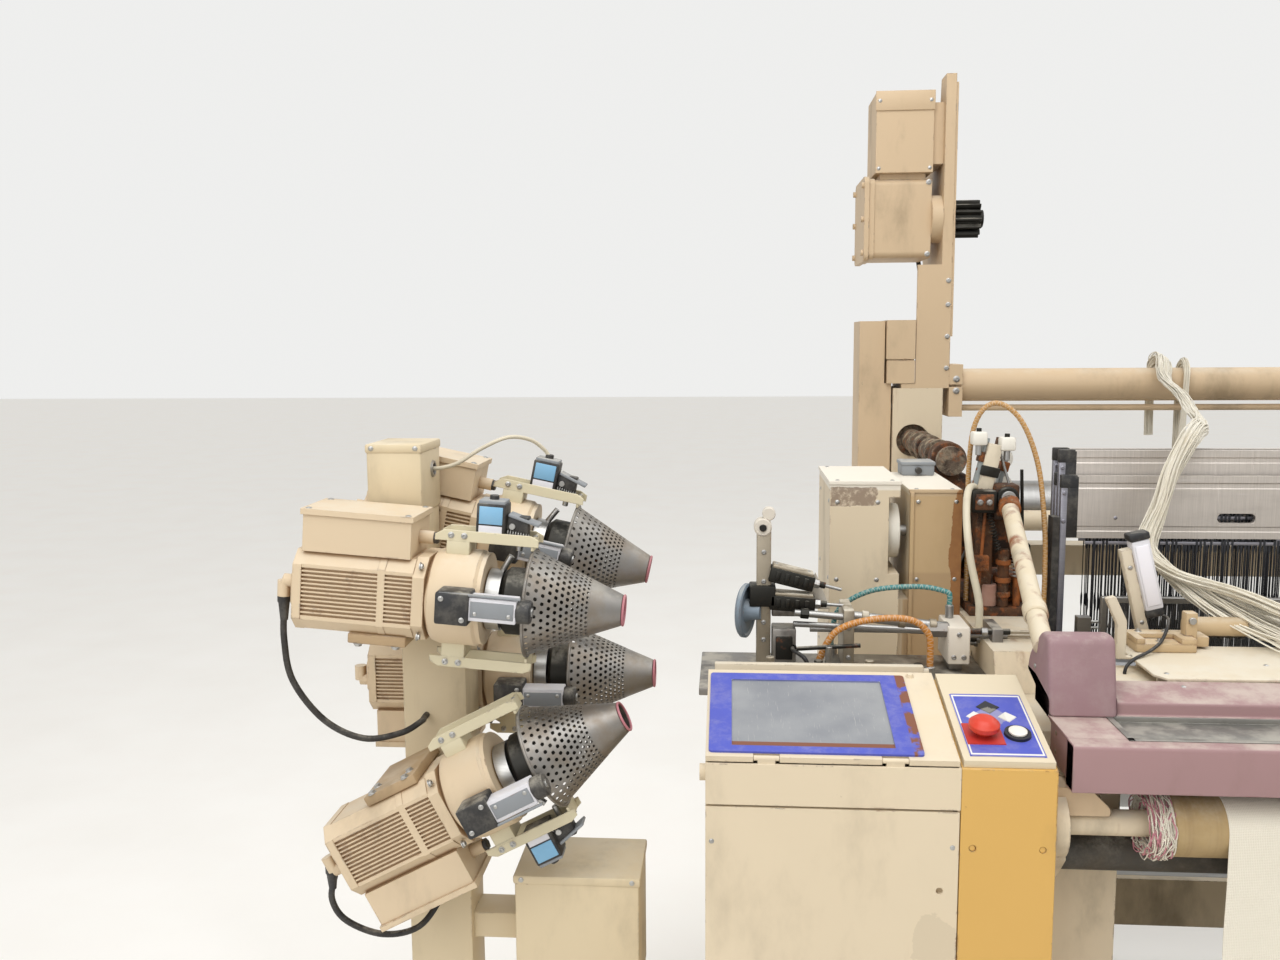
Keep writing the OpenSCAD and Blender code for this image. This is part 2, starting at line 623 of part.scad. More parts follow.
// Cream boxes of the shedding drive outside the left frame, with the slot of the handwheel
box1_x = [-1437, -1312];
box1_y = [-50, 196];
box1_z = [760, 1300];
box2_x = [-1292, -side_out];
box2_y = [-38, 240];
box2_z = [740, 1283];
wheel_axis = [14, 1201];
wheel_d = 116;
wheel_w = 20;
wheel_shaft_d = 20;
module shed_drive_box() color(cream) {
    difference() {
        union() {
            span(box1_x, box1_y, [box1_z[0], box1_z[1] - 6]);
            span([box1_x[0] - 2, box1_x[1] + 2], [box1_y[0] - 2, box1_y[1] + 2], [box1_z[1] - 6, box1_z[1]]);
            span([box1_x[1], box2_x[0]], [box1_y[0] + 20, box1_y[1]], [box1_z[0], 1080]);
        }
        span([box1_x[1] - 20, box1_x[1] + 10], [box1_y[0] - 10, wheel_axis[0] + 68], [wheel_axis[1] - 70, wheel_axis[1] + 70]);
        rod_x(box1_x[1] - 70, box1_x[1] - 19, wheel_axis, wheel_shaft_d + 2 * run);
        for (z = [820, 1060, 1240]) rod_x(box1_x[0] - eps, box1_x[0] + 3, [box1_y[1] - 16, z], 8);
    }
    difference() {
        union() {
            span(box2_x, box2_y, [box2_z[0], box2_z[1] - 5]);
            span([box2_x[0] - 2, box2_x[1]], [box2_y[0] - 2, box2_y[1] + 2], [box2_z[1] - 5, box2_z[1]]);
            // Edge of the cover plate
            span([box2_x[0] - 0.5, box2_x[0] + 6], [box2_y[0] - 4, box2_y[0]], [box2_z[0], box2_z[1] - 5]);
        }
        rod_x(box2_x[0] - 3, box2_x[0] + 40, wheel_axis, wheel_shaft_d + 2 * run);
    }
}

module handwheel() color("#e6e2d8") {
    x0 = box1_x[1] - 14;
    difference() {
        union() {
            difference() {
                rod_x(x0, x0 + wheel_w, wheel_axis, wheel_d);
                rod_x(x0 - eps, x0 + 6, wheel_axis, wheel_d - 22);
                rod_x(x0 + wheel_w - 6, x0 + wheel_w + eps, wheel_axis, wheel_d - 22);
            }
            rod_x(x0 - 3, box2_x[0] - 0.5, wheel_axis, 40);
            rod_x(box1_x[1] - 68, box2_x[0] + 38, wheel_axis, wheel_shaft_d);
        }
        for (a = [0:60:300]) rod_x(x0 - eps, x0 + wheel_w + eps, wheel_axis + 33 * [cos(a), sin(a)], 13);
    }
}

// Selvedge unit on the left side frame: base, uprights, gear case, slanting bars and the pale support tube
unit_x = [-1190, -1085];
module selvedge_unit() color(rust) {
    span([unit_x[0], unit_x[1]], [-70, 420], [frame_h, frame_h + 16]);
    difference() {
        span([-1180, -1150], [-60, 20], [frame_h + 16, 1250]);
        rod_x(-1181, -1149, [-20, 1180], 26);
    }
    span([-1150, -1100], [-40, 40], [1150, 1235]);
    // Slanting leno bars with their carriers
    for (k = [0:2]) translate([-1140 + k * 18, -20 + k * 26, frame_h + 16]) rotate([-5, -6, 0]) cube([7, 20, 330]);
    span([-1148, -1084], [-30, 52], [frame_h + 16, frame_h + 66]);
    // Yarn spools beside the unit
    for (z = [1280, 1330]) rod_y(60, 120, [-1112, z], 44);
    rod_y(40, 160, [-1112, 1305], 14);
    span([-1122, -1102], [100, 150], [frame_h + 16, 1300]);
    // Bearing pedestal of the drive shaft
    difference() {
        union() {
            span([leno_axis[0] - 38, leno_axis[0] + 38], [368, 412], [frame_h + 16, leno_axis[1]]);
            rod_y(368, 412, leno_axis, 76);
        }
        rod_y(367, 413, leno_axis, 48 + 2 * run);
    }
    // Levers and rods
    translate([-1169, 206, frame_h + 4]) rotate([42, 11.4, 0]) cube([8, 16, 240]);
    rod_between([-1100, 260, frame_h + 10], [-1108, 130, 1290], 12);
    rod_y(180, 368, [-1148, 1225], 18);
    // Support tube down to the cover
    rod_between([-1147, -64, 1248], [-1163, -446, 1128], 29);
    rod_between([-1161.7, -415.4, 1137.6], [-1162.8, -440.3, 1129.8], 38);
}

module leno_drive() color("#5c5148") {
    rod_y(340, 356, leno_axis, 62);
    rod_y(356, 425, leno_axis, 48);
    rod_y(425, column_y + 20, leno_axis, 56);
    rod_y(column_y + 20, column_y + 80, leno_axis, leno_hole_d - 2 * run);
    for (y = [470, 600, 700]) rod_y(y, y + 26, leno_axis, 68);
}

// Main motor outside the left frame, its pulley, the belt and the main shaft
motor_axis = [60, 300];
pulley_x = [-1292, -1250];
shaft_pulley_d = 220;
motor_pulley_d = 120;
belt_w = 34;
belt_t = 7;
module main_motor() color(beige) {
    x0 = -1600;
    x1 = -1320;
    difference() {
        union() {
            rod_x(x0 + 40, x1, motor_axis, 200);
            for (a = [0:20:340]) translate([0, motor_axis[0], motor_axis[1]]) rotate([a, 0, 0])
                span([x0 + 60, x1 - 30], [-2, 2], [98, 112]);
            rod_x(x0, x0 + 40, motor_axis, 214);
            rod_x(x1 - 18, x1, motor_axis, 230);
            span([x0 + 70, x1 - 50], [motor_axis[0] - 115, motor_axis[0] + 115], [motor_axis[1] - 140, motor_axis[1] - 118]);
            for (s = [-1, 1]) span([x0 + 80, x1 - 60], [motor_axis[0] + s * 85 - 12, motor_axis[0] + s * 85 + 12],
                [motor_axis[1] - 118, motor_axis[1] - 40]);
            span([x0 + 90, x0 + 190], [motor_axis[0] - 50, motor_axis[0] + 50], [motor_axis[1] + 98, motor_axis[1] + 150]);
        }
        rod_x(x1 - 60, x1 + eps, motor_axis, 38 + 2 * run);
    }
    // Console of the motor on the side frame
    span([x0 + 70, -side_out], [-70, 190], [140, motor_axis[1] - 140]);
    span([-1240, -side_out], [-70, 190], [motor_axis[1] - 140, 190]);
}
module pulley(axis, d, x) {
    rod_x(x[0] + 4, x[1] - 4, axis, d);
    for (e = [[x[0], x[0] + 3.7], [x[1] - 3.7, x[1]]]) rod_x(e[0], e[1], axis, d + 12);
    rod_x(x[0], x[1], axis, d - 30);
}
module motor_pulley() color(steel) {
    pulley(motor_axis, motor_pulley_d, pulley_x);
    rod_x(-1378, pulley_x[0], motor_axis, 38);
}
module belt_outline(grow) hull() {
    translate(crank) circle(shaft_pulley_d / 2 + grow, $fn = hull_fn * 2);
    translate(motor_axis) circle(motor_pulley_d / 2 + grow, $fn = hull_fn * 2);
}
module drive_belt() color(dark)
    along_x((pulley_x[0] + pulley_x[1] - belt_w) / 2, (pulley_x[0] + pulley_x[1] + belt_w) / 2) difference() {
        belt_outline(belt_t + gap + 0.6);
        belt_outline(gap + 0.6);
    }
module main_shaft() color(steel) {
    rod_x(-side_in + eps, side_in - eps, crank, 60);
    rod_x(-side_out - 110, -side_in + eps, crank, journal_d);
    rod_x(side_in - eps, side_out - 5, crank, journal_d);
    pulley(crank, shaft_pulley_d, pulley_x);
    // Crank cheeks beside the frames
    both_sides() for (x = [side_in - 60, side_in - 30]) along_x(x, x + 14) union() {
        translate(crank) circle(50);
        polygon([crank + [-30, -38], crank + [30, -38], crank + [26, -70], crank + [-26, -70]]);
    }
}

// Sley: hollow beam with the reed groove, swords and the rocking shaft
sley_y = [-168, -92];
sley_z = [958, 1004];
groove_y = -128;
reed_t = 6;
sword_x = [-960, -480, 480, 960];
module sley() color(steel) difference() {
    union() {
        along_x(-weave_w / 2 - 50, weave_w / 2 + 50) difference() {
            polygon([[sley_y[0], sley_z[0] + 14], [sley_y[0], sley_z[1] - 8], [sley_y[0] + 12, sley_z[1]], [sley_y[1], sley_z[1]],
                [sley_y[1], sley_z[0]], [sley_y[0] + 16, sley_z[0]]]);
            translate([groove_y + 12, sley_z[0] + 10]) square([18, 26]);
        }
        for (x = sword_x) along_x(x - 9, x + 9) union() {
            polygon([rocking + [-30, 20], rocking + [34, 20], [sley_y[1], sley_z[0] + 2], [sley_y[0] + 18, sley_z[0] + 2]]);
            translate(rocking) circle(rocking_d / 2 + 16);
        }
        rod_x(-side_in + eps, side_in - eps, rocking, rocking_d);
        both_sides() rod_x(side_in - 2, side_in + journal_l, rocking, journal_d);
    }
    span([-weave_w / 2 - 51, weave_w / 2 + 51], [groove_y - reed_t / 2, groove_y + reed_t / 2], [sley_z[1] - 20, sley_z[1] + eps]);
}

// Reed: two bars with dents between them
reed_z = [sley_z[1] - 20, sley_z[1] + reed_h];
module reed() color(steel) {
    y = [groove_y - reed_t / 2, groove_y + reed_t / 2];
    span([-weave_w / 2, weave_w / 2], y, [reed_z[0], reed_z[0] + 26]);
    translate([-weave_w / 2, 0, reed_z[0] + 26]) along_y(y[0] + 1, y[1] - 1)
        polygon(comb_points(weave_w, 4, reed_z[1] - reed_z[0] - 34, reed_gaps, 0.6));
    span([-weave_w / 2, weave_w / 2], [y[0] - 2, y[1] + 2], [reed_z[1] - 11, reed_z[1]]);
}

// Main nozzles on the left end of the sley
module main_nozzles() color(steel) {
    x1 = -weave_w / 2 - 12;
    span([x1 - 36, x1 - 8], [-166, -134], [sley_z[1], sley_z[1] + 46]);
    for (k = [0:1]) {
        z = sley_z[1] + 58 + k * 11;
        rod_x(x1 - 34, x1, [-150 - k * 2, z], 5);
    }
    span([x1 - 36, x1 - 14], [-160, -142], [sley_z[1] + 46, sley_z[1] + 78]);
}

// Tandem nozzles and weft cutter gear on a shelf outside the left frame
shelf_z = 1010;
module tandem_nozzles() color("#8d8983") {
    span([-1665, -side_out], [-360, -150], [shelf_z - 12, shelf_z]);
    span([-1216, -side_out], [-360, -150], [900, shelf_z - 12]);
    // Round yarn brake disc on its upright
    span([-1572, -1548], [-214, -190], [shelf_z, 1246]);
    translate([-1586, -202, 1088]) rotate([0, 90, -19]) rotate_extrude()
        polygon([[0, 0], [46, 0], [46, 9], [13, 9], [13, 24], [0, 24]]);
    span([-1592, -1540], [-222, -182], [1112, 1146]);
    rod_between([-1560, -202, 1240], [-1552, -202, 1278], 15);
    // Valve bodies on the upright
    for (v = [[1128, 6], [1080, 0]]) translate([-1545, -206, v[0]]) rotate([0, v[1], 0]) {
        translate([0, -16, -15]) cube([72, 34, 30]);
        translate([72, 1, 0]) rotate([0, 90, 0]) cylinder(d = 9, h = 60);
    }
    span([-1546, -1500], [-226, -176], [shelf_z, 1062]);
    // Long tubes to the holder
    rod_x(-1500, -1272, [-236, 1084], 14);
    rod_x(-1473, -1272, [-205, 1072], 12);
    rod_x(-1480, -1272, [-176, 1060], 10);
    span([-1400, -1380], [-250, -166], [shelf_z, 1090]);
    span([-1272, -1222], [-262, -160], [shelf_z, 1108]);
    rod_x(-1222, -1120, [-236, 1084], 12);
    rod_x(-1222, -1120, [-205, 1072], 12);
    rod_x(-1290, -1272, [-236, 1084], 30);
    // Front fittings on the shelf
    for (k = [0:4]) rod_z(shelf_z, shelf_z + 30 + 8 * (k % 2), [-1630 + k * 78, -320 + 12 * (k % 3)], 22);
    span([-1640, -1450], [-350, -338], [shelf_z, shelf_z + 22]);
    rod_x(-1640, -1300, [-300, 1024], 12);
}

// Routes of the hoses and cables, as chosen points
hose_teal = [[-1440, -150, 1010.3], [-1440, -150, 1022], [-1440, -150, 1040], [-1428, -152, 1090], [-1376, -160, 1124],
    [-1300, -176, 1136], [-1254, -186, 1130], [-1248, -188, 1122], [-1248, -188, 1115], [-1248, -188, 1108.3]];
hose_amber = [[-1470, -280, 1010.3], [-1470, -280, 1022], [-1470, -280, 1040], [-1444, -280, 1084], [-1390, -282, 1104],
    [-1330, -286, 1106], [-1300, -288, 1084], [-1296, -288, 1050], [-1296, -288, 1040], [-1296, -288, 1030.3]];
hose_loop = [[-1185, -16, 1076.3], [-1185, -16, 1120], [-1185, -16, 1170], [-1188, -24, 1330], [-1180, -40, 1410],
    [-1150, -52, 1440], [-1108, -58, 1410], [-1076, -60, 1330], [-1062, -64, 1220], [-1060, -68, 1140], [-1060, -68, 1095],
    [-1060, -68, 1056.3]];
hose_pale = [[-1190, -150, 1060.3], [-1190, -150, 1080], [-1192, -150, 1110], [-1206, -140, 1180], [-1208, -110, 1250],
    [-1196, -70, 1290], [-1172, -42, 1286], [-1166, -40, 1272], [-1166, -40, 1260], [-1166, -40, 1250.3]];
lead_black = [[-1512, -226.3, 1040], [-1512, -236, 1040], [-1510, -252, 1042], [-1496, -268, 1036], [-1490, -272, 1026],
    [-1490, -272, 1018], [-1490, -272, 1010.3]];
module air_hoses() color("#b98a4a") {
    tube_along(smooth(hose_teal, 2), 9);
    tube_along(smooth(hose_amber, 2), 11);
    tube_along(smooth(hose_loop, 2), 9);
    tube_along(smooth(hose_pale, 2), 13);
    tube_along(smooth(lead_black, 2), 7);
}

// Heald frames: two rails, two end stays, and a comb of healds between them
heald_y = -60;
rail_low = 1312;
heald_z0 = rail_low - 2 * rail_h - heald_h;
stay_w = 12;
module heald_frame(k) {
    y0 = heald_y + k * heald_pitch;
    y1 = y0 + heald_frame_t;
    z0 = heald_z0 + (k % 2) * shed_travel;
    top = z0 + heald_h + 2 * rail_h;
    x = heald_frame_w / 2;
    for (z = [z0, top - rail_h]) difference() {
        span([-x + stay_w, x - stay_w], [y0, y1], [z, z + rail_h]);
        // Rolled grooves along the rail and the two hand slots
        for (g = [14, rail_h - 20]) span([-x, x], [y0 - eps, y0 + 0.6], [z + g, z + g + 6]);
        for (s = [-1, 1]) along_y(y0 - eps, y1 + eps) translate([s * 735 - 32, z + 28]) round_rect(64, 17, 8);
    }
    for (s = [-1, 1]) {
        span([s < 0 ? -x : x - stay_w, s < 0 ? -x + stay_w : x], [y0, y1], [z0 - 8, top]);
    }
    translate([-weave_w / 2, 0, z0 + rail_h]) along_y(y0 + 3, y1 - 3)
        polygon(comb_points(weave_w, 6, heald_h, heald_count, 0.72));
}
module heald_frame_1() color("#cfcdd6") heald_frame(0);
module heald_frame_2() color("#cfcdd6") heald_frame(1);
module heald_frame_3() color("#cfcdd6") heald_frame(2);
module heald_frame_4() color("#cfcdd6") heald_frame(3);

// Guides of the heald frames: a slotted block low down and a plain post above it, on each side frame
guide_z = [700, 1000];
module heald_guides() color(dark) both_sides() {
    x = heald_frame_w / 2;
    y0 = heald_y - 14;
    y1 = heald_y + 3 * heald_pitch + heald_frame_t + 14;
    difference() {
        span([x - 10, side_in], [y0, y1], guide_z);
        for (k = [0:3]) span([x - 11, x + gap], [heald_y + k * heald_pitch - gap, heald_y + k * heald_pitch + heald_frame_t + gap],
            [guide_z[0] - eps, guide_z[1] + eps]);
    }
    span([x + 4, x + 16], [y0, y0 + 30], [guide_z[1], 1240]);
    span([x + 4, side_in], [y0, y0 + 12], [1030, 1056]);
}

// Warp beam: empty barrel, ribbed flanges, gear ring and journals
flange_x = 1000;
gear_x = [-1052, -1022];
module warp_beam() color(steel) {
    barrel_d = 170;
    difference() {
        union() {
            rod_x(-flange_x - eps, flange_x + eps, beam_axis, barrel_d);
            both_sides() {
                rod_x(flange_x, flange_x + 12, beam_axis, flange_d);
                rod_x(flange_x + 12, flange_x + 20, beam_axis, 240);
                rod_x(flange_x + 20, side_in - 2, beam_axis, 90);
                rod_x(side_in - 4, side_in + journal_l, beam_axis, journal_d);
            }
            translate([gear_x[0], beam_axis[0], beam_axis[1]]) rotate([90, 0, 90])
                linear_extrude(gear_x[1] - gear_x[0]) polygon(gear_points(beam_teeth, gear_module, gear_angle, 0.5));
        }
        // Lightening holes of the flanges
        for (x = [-flange_x - 6, flange_x + 6], a = [30:60:330])
            rod_x(x - 14, x + 14, beam_axis + 300 * [cos(a), sin(a)], 90);
        for (a = [0:60:300]) rod_x(gear_x[0] - eps, gear_x[1] + eps, beam_axis + 180 * [cos(a), sin(a)], 80);
    }
}

module letoff_pinion() color(steel) {
    translate([gear_x[0] - 3, pinion_axis[0], pinion_axis[1]]) rotate([90, 0, 90]) linear_extrude(gear_x[1] - gear_x[0] + 6)
        polygon(gear_points(pinion_teeth, gear_module, gear_angle + 180 + 180 / pinion_teeth, 0.5));
    rod_x(-side_out - 40, gear_x[0] - 3, pinion_axis, small_journal_d);
}

// Let-off gear motors: one low outside the left frame, one on the upper stand
module gear_motor(x0, x1, axis, w, shaft) {
    difference() {
        union() {
            // Gear case with its cover flange
            along_x(x0 + 26, x1) translate([axis[0] - w / 2, axis[1] - w / 2]) round_rect(w, w, 16);
            along_x(x0, x0 + 12) translate([axis[0] - w / 2 - 8, axis[1] - w / 2 - 8]) round_rect(w + 16, w + 16, 18);
            along_x(x0 + 12, x0 + 26) translate([axis[0] - w / 2 - 3, axis[1] - w / 2 - 3]) round_rect(w + 6, w + 6, 16);
            for (s = [-1, 1], t = [-1, 0, 1])
                rod_x(x0 - 7, x0, axis + [s * (w / 2 - 4), t * (w / 2 - 14)], 15);
        }
        rod_x(x1 - 90, x1 + eps, shaft, small_journal_d + 2 * run);
    }
}
module letoff_motors() color(cream) {
    gear_motor(-1395, -side_out, pinion_axis, 190, pinion_axis);
    rod_x(-1475, -1395, pinion_axis, 130);
    for (x = [-1470:12:-1410]) rod_x(x, x + 4, pinion_axis, 142);
    // Upper motor, its flange to the stand and the terminal box
    gear_motor(-1280, -1112, upper_axis + [60, 0], 196, upper_axis);
    difference() {
        rod_x(-1112, -stand_x1, upper_axis, 120);
        rod_x(-1113, -stand_x1 + eps, upper_axis, small_journal_d + 2 * run);
    }
    span([-1254, -1112], [858, 1030], [1969, 2166]);
    span([-1112, -stand_x1], [870, 1000], [1990, 2140]);
    span([-1240, -1126], [880, 1010], [upper_axis[1] + 98, 1969]);
}
module upper_pinion() color(dark) {
    x = [-stand_x0 + 8, -stand_x0 + 72];
    translate([x[0], upper_axis[0], upper_axis[1]]) rotate([90, 0, 90]) linear_extrude(x[1] - x[0])
        polygon(gear_points(upper_teeth, gear_module, 8, 0.5));
    rod_x(-1195, x[0], upper_axis, small_journal_d);
    rod_x(x[1], x[1] + 10, upper_axis, 44);
}

// Stands of the upper beam: tall plates with an open seat at the back, and a stiffening web
module upper_stand() {
    y0 = column_y;
    difference() {
        union() {
            along_x(stand_x0, stand_x1) polygon([
                [y0, column_h], [y0, stand_h], [y0 + 70, stand_h], [y0 + 90, 2080], [1130, 1990], [1180, 1990], [1180, 1940],
                [1290, 1940], [1290, 1990], [1330, 1990], [1330, 1890], [1180, 1820], [1060, 1640], [frame_back, column_h]]);
            span([stand_x1, stand_x1 + 60], [y0, y0 + 8], [column_h, 1740]);
            span([stand_x1, side_out - 20], [y0, frame_back], [column_h, column_h + 12]);
            // Joint of the front edge strip
            span([stand_x0 - 6, stand_x0], [y0 + 4, y0 + 34], [1560, stand_h - 20]);
        }
        translate([stand_x0 - eps, 0, 0]) rod_x(0, stand_t + 2 * eps, [1235, 1945], 118);
        span([stand_x0 - eps, stand_x1 + eps], [1176, 1294], [1945, 2000]);
        rod_x(stand_x0 - 8, stand_x1 + eps, upper_axis, small_journal_d + 2 * run);
        for (z = [1560, 1700]) rod_x(stand_x0 - 7, stand_x1 + eps, [y0 + 80, z], 50);
    }
}
module upper_stands() color(beige) both_sides() upper_stand();

// Easing arms with their shaft, and the back rest roll in them
arm_in = side_in - 42;
module back_rest_arms() color(cream) difference() {
    union() {
        rod_x(-side_in + eps, side_in - eps, ease_axis, 50);
        both_sides() {
            rod_x(side_in - 2, side_in + journal_l, ease_axis, small_journal_d);
            along_x(arm_in, arm_in + 30) union() {
                translate(ease_axis) circle(44);
                polygon([ease_axis + [-10, 43], ease_axis + [10, -43], rest_axis + [9, -36], rest_axis + [-9, 36]]);
                translate(rest_axis) circle(37);
                polygon([ease_axis + [-40, -14], ease_axis + [0, -42], ease_axis + [-70, -120], ease_axis + [-96, -112]]);
            }
        }
    }
    both_sides() rod_x(arm_in - eps, arm_in + 31, rest_axis, small_journal_d + 2 * run);
}
module back_rest_roll() color(steel) {
    rod_x(-arm_in + 2, arm_in - 2, rest_axis, back_rest_d);
    both_sides() rod_x(arm_in - 3, arm_in + 28, rest_axis, small_journal_d);
}

// Boxes on the left rear column and the grey panel beside it
module rear_boxes() {
    color(beige) {
        span([-1217, -stand_x1 - 62], [column_y - 2, frame_back - 4], [column_h + 12 + gap, 1500]);
        span([-1219, -stand_x1 - 62], [column_y - 4, frame_back - 2], [1503, 1602]);
        span([-1214, -stand_x1 - 64], [column_y + 2, frame_back - 8], [1500, 1503]);
    }
    color("#9aa0a0") {
        span([-1286, -side_out - 4], [column_y + 10, frame_back - 10], [1010, column_h + 12 + gap]);
        span([-1286, -1222], [column_y + 10, frame_back - 10], [column_h + 12 + gap, 1600]);
        for (z = [1100, 1380]) rod_x(-side_out - 4, -side_out, [column_y + 90, z], 30);
    }
    color(beige) mirror([1, 0, 0]) {
        span([-side_out, -stand_x1 - 62], [column_y, frame_back - 4], [column_h + 12 + gap, 1500]);
        span([-side_out, -stand_x1 - 62], [column_y, frame_back - 4], [1503, 1602]);
        span([-side_out + 3, -stand_x1 - 64], [column_y + 2, frame_back - 8], [1500, 1503]);
    }
}

module take_up_roll() color("#a89f78") {
    rod_x(-roll_x, roll_x, roll_axis, take_up_d);
    both_sides() rod_x(roll_x - eps, side_out - 2, roll_axis, small_journal_d);
}
module press_roll() color(dark) {
    rod_x(-roll_x, roll_x, press_axis, press_d);
    both_sides() rod_x(roll_x - eps, side_out - 2, press_axis, 20);
}
module cloth_beam() color("#e8e2d2") {
    both_sides() rod_x(weave_w / 2 + 10, side_in - 2, cloth_axis, 76);
    both_sides() rod_x(side_in - 3, side_in + web_t - 2, cloth_axis, small_journal_d);
    rod_x(-weave_w / 2 - 10, weave_w / 2 + 10, cloth_axis, cloth_roll_d);
}

// Cloth round the take-up roll and down to the cloth beam, one sheet with a bent outline
web_in = take_up_d / 2 + gap;
web_out = web_in + cloth_t;
fall_y = roll_axis[0] - web_out;
function arc(c, r, a0, a1, n) = [for (i = [0:n]) let (a = a0 + (a1 - a0) * i / n) c + r * [cos(a), sin(a)]];
web_end = cloth_axis[1] + 20;
module cloth_web() color("#f0ebdf") along_x(-weave_w / 2 - 5, weave_w / 2 + 5) polygon(concat(
    arc(roll_axis, web_out, -30, 180, 18),
    [[fall_y, web_end], [fall_y + cloth_t, web_end]],
    arc(roll_axis, web_in, 180, -30, 18)));

// Hank of warp yarn tied over the pipe and hung over the heald frames to the plate
hank_route = [[-520, 967, 1300], [-520, 967, 1435], [-519, 950, 1480], [-516, 905, 1500], [-526, 860, 1484],
    [-560, 760, 1452], [-620, 500, 1424], [-700, 230, 1402], [-770, 20, 1396], [-822, -78, 1388], [-866, -112, 1330],
    [-892, -130, 1260], [-915, -150, 1200], [-890, -200, 1168], [-820, -270, 1152], [-760, -330, 1132], [-690, -370, 1112], [-600, -395, 1110]];
hank_loop = [[-450, 962, 1240], [-452, 961.5, 1435], [-456, 945, 1475], [-462, 905, 1491.5], [-470, 865, 1475],
    [-476, 848.5, 1435], [-480, 848, 1330], [-482, 848, 1290]];
module warp_hank() color("#efe8d6") {
    tube_along(smooth(hank_route, 2), 34);
    tube_along(smooth(hank_loop, 2), 26);
}

// Weft detector box on its leaning arm
module detector_box() color("#e4e2ea") {
    lean = -17;
    translate([-968, -300, plate_z]) rotate([0, lean, 0]) {
        translate([-9, -9, 8]) cube([18, 18, 12]);
        translate([-19, -14, 20]) cube([38, 26, 100]);
        translate([-20, -15, 120]) cube([40, 28, 12]);
    }
    translate([-996, -322, plate_z]) cube([52, 46, 4]);
    translate([-984, -318, plate_z + 4]) cube([26, 36, 8]);
}

// Weft feeders: tip of each cone, slope of its axis, and the side of its terminal box
near_y = -585;
far_y = -360;
feeders = [
    [[-1759, near_y, 1188], 4.5, 1],
    [[-1741, far_y, 1199], 12, 1],
    [[-1733, far_y, 1033], 0, -1],
    [[-1760, near_y, 1040], -27.5, -1]
];
module at_feeder(k) translate(feeders[k][0]) rotate([0, feeders[k][1], 0])
    mirror([0, 0, feeders[k][2] < 0 ? 1 : 0]) children();

// Places along the axis of a feeder, measured back from the tip of the cone
bell_x = [-265, -189];
body_x = [-feeder_l, -281];
drum_x = [-166, -52];
rib_h = 3.5;
// Square motor outline with cooling ribs on both sides
function ribbed(w, n) =
    let (h = w / 2, c = 16, p = (w - 2 * c - 8) / n, z0 = -h + c + 4)
    concat([[-h + c, -h], [h - c, -h], [h, -h + c]],
        [for (i = [0:n - 1]) each [[h, z0 + (i + 0.25) * p], [h - rib_h, z0 + (i + 0.35) * p],
            [h - rib_h, z0 + (i + 0.75) * p], [h, z0 + (i + 0.85) * p]]],
        [[h, h - c], [h - c, h], [-h + c, h], [-h, h - c]],
        [for (i = [n - 1:-1:0]) each [[-h, z0 + (i + 0.85) * p], [-h + rib_h, z0 + (i + 0.75) * p],
            [-h + rib_h, z0 + (i + 0.35) * p], [-h, z0 + (i + 0.25) * p]]],
        [[-h, -h + c]]);
function plain(w, c) = let (h = w / 2) [[-h + c, -h], [h - c, -h], [h, -h + c], [h, h - c], [h - c, h], [-h + c, h],
    [-h, h - c], [-h, -h + c]];
term_x = [-436, -288];
term_h = 58;
module feeder_housing() {
    w = motor_w;
    difference() {
        union() {
            along_x(body_x[0] + 18, body_x[0] + 122) polygon(ribbed(w, fins));
            along_x(body_x[0] + 122, body_x[0] + 132) polygon(plain(w, 15));
            along_x(body_x[0] + 132, body_x[1]) polygon(ribbed(w, fins));
            along_x(body_x[0] + 6, body_x[0] + 18) polygon(plain(w + 2, 18));
            along_x(body_x[0], body_x[0] + 6) polygon(plain(w - 22, 24));
            along_x(body_x[1], bell_x[0]) polygon(plain(w + 6, 24));
            translate([bell_x[0], 0, 0]) rotate([0, 90, 0]) rotate_extrude() polygon([[0, 0], [bell_d / 2 - 12, 0],
                [bell_d / 2 - 3, 6], [bell_d / 2, 16], [bell_d / 2, 66], [bell_d / 2 - 3, 70], [bell_d / 2 - 3, 76], [0, 76]]);
            // Terminal box with its lid
            span(term_x, [-46, 46], [w / 2, w / 2 + term_h - 8]);
            span([term_x[0] - 3, term_x[1] + 3], [-49, 49], [w / 2 + term_h - 8, w / 2 + term_h]);
            rod_x(term_x[1] - 1, term_x[1] + 20, [0, w / 2 + 24], 18);
            // Cable elbow at the rear
            rod_x(body_x[0] - 14, body_x[0], [-30, 8], 18);
            rod_z(-14, 8, [body_x[0] - 14, -30], 18);
        }
        rod_x(bell_x[1] - 30, bell_x[1] + eps, [0, 0], 20 + 2 * run);
    }
}
module feeder_housings() color(beige) for (k = [0:3]) at_feeder(k) feeder_housing();

// Winding drum: ribbed shell on a fixed shaft that comes out of the winder
module feeder_drum() {
    translate([drum_x[0], 0, 0]) rotate([0, 90, 0]) rotate_extrude() polygon([[7, 0], [drum_d / 2 - 6, 0], [drum_d / 2, 6],
        [drum_d / 2, 40], [drum_d / 2 - 3, 44], [drum_d / 2 - 3, 60], [drum_d / 2 - 12, 72], [22, 80], [16, 86], [7, 88]]);
    rod_x(bell_x[1] - 28, drum_x[0] + 90, [0, 0], 14);
}
module feeder_drums() color(dark) for (k = [0:3]) at_feeder(k) feeder_drum();

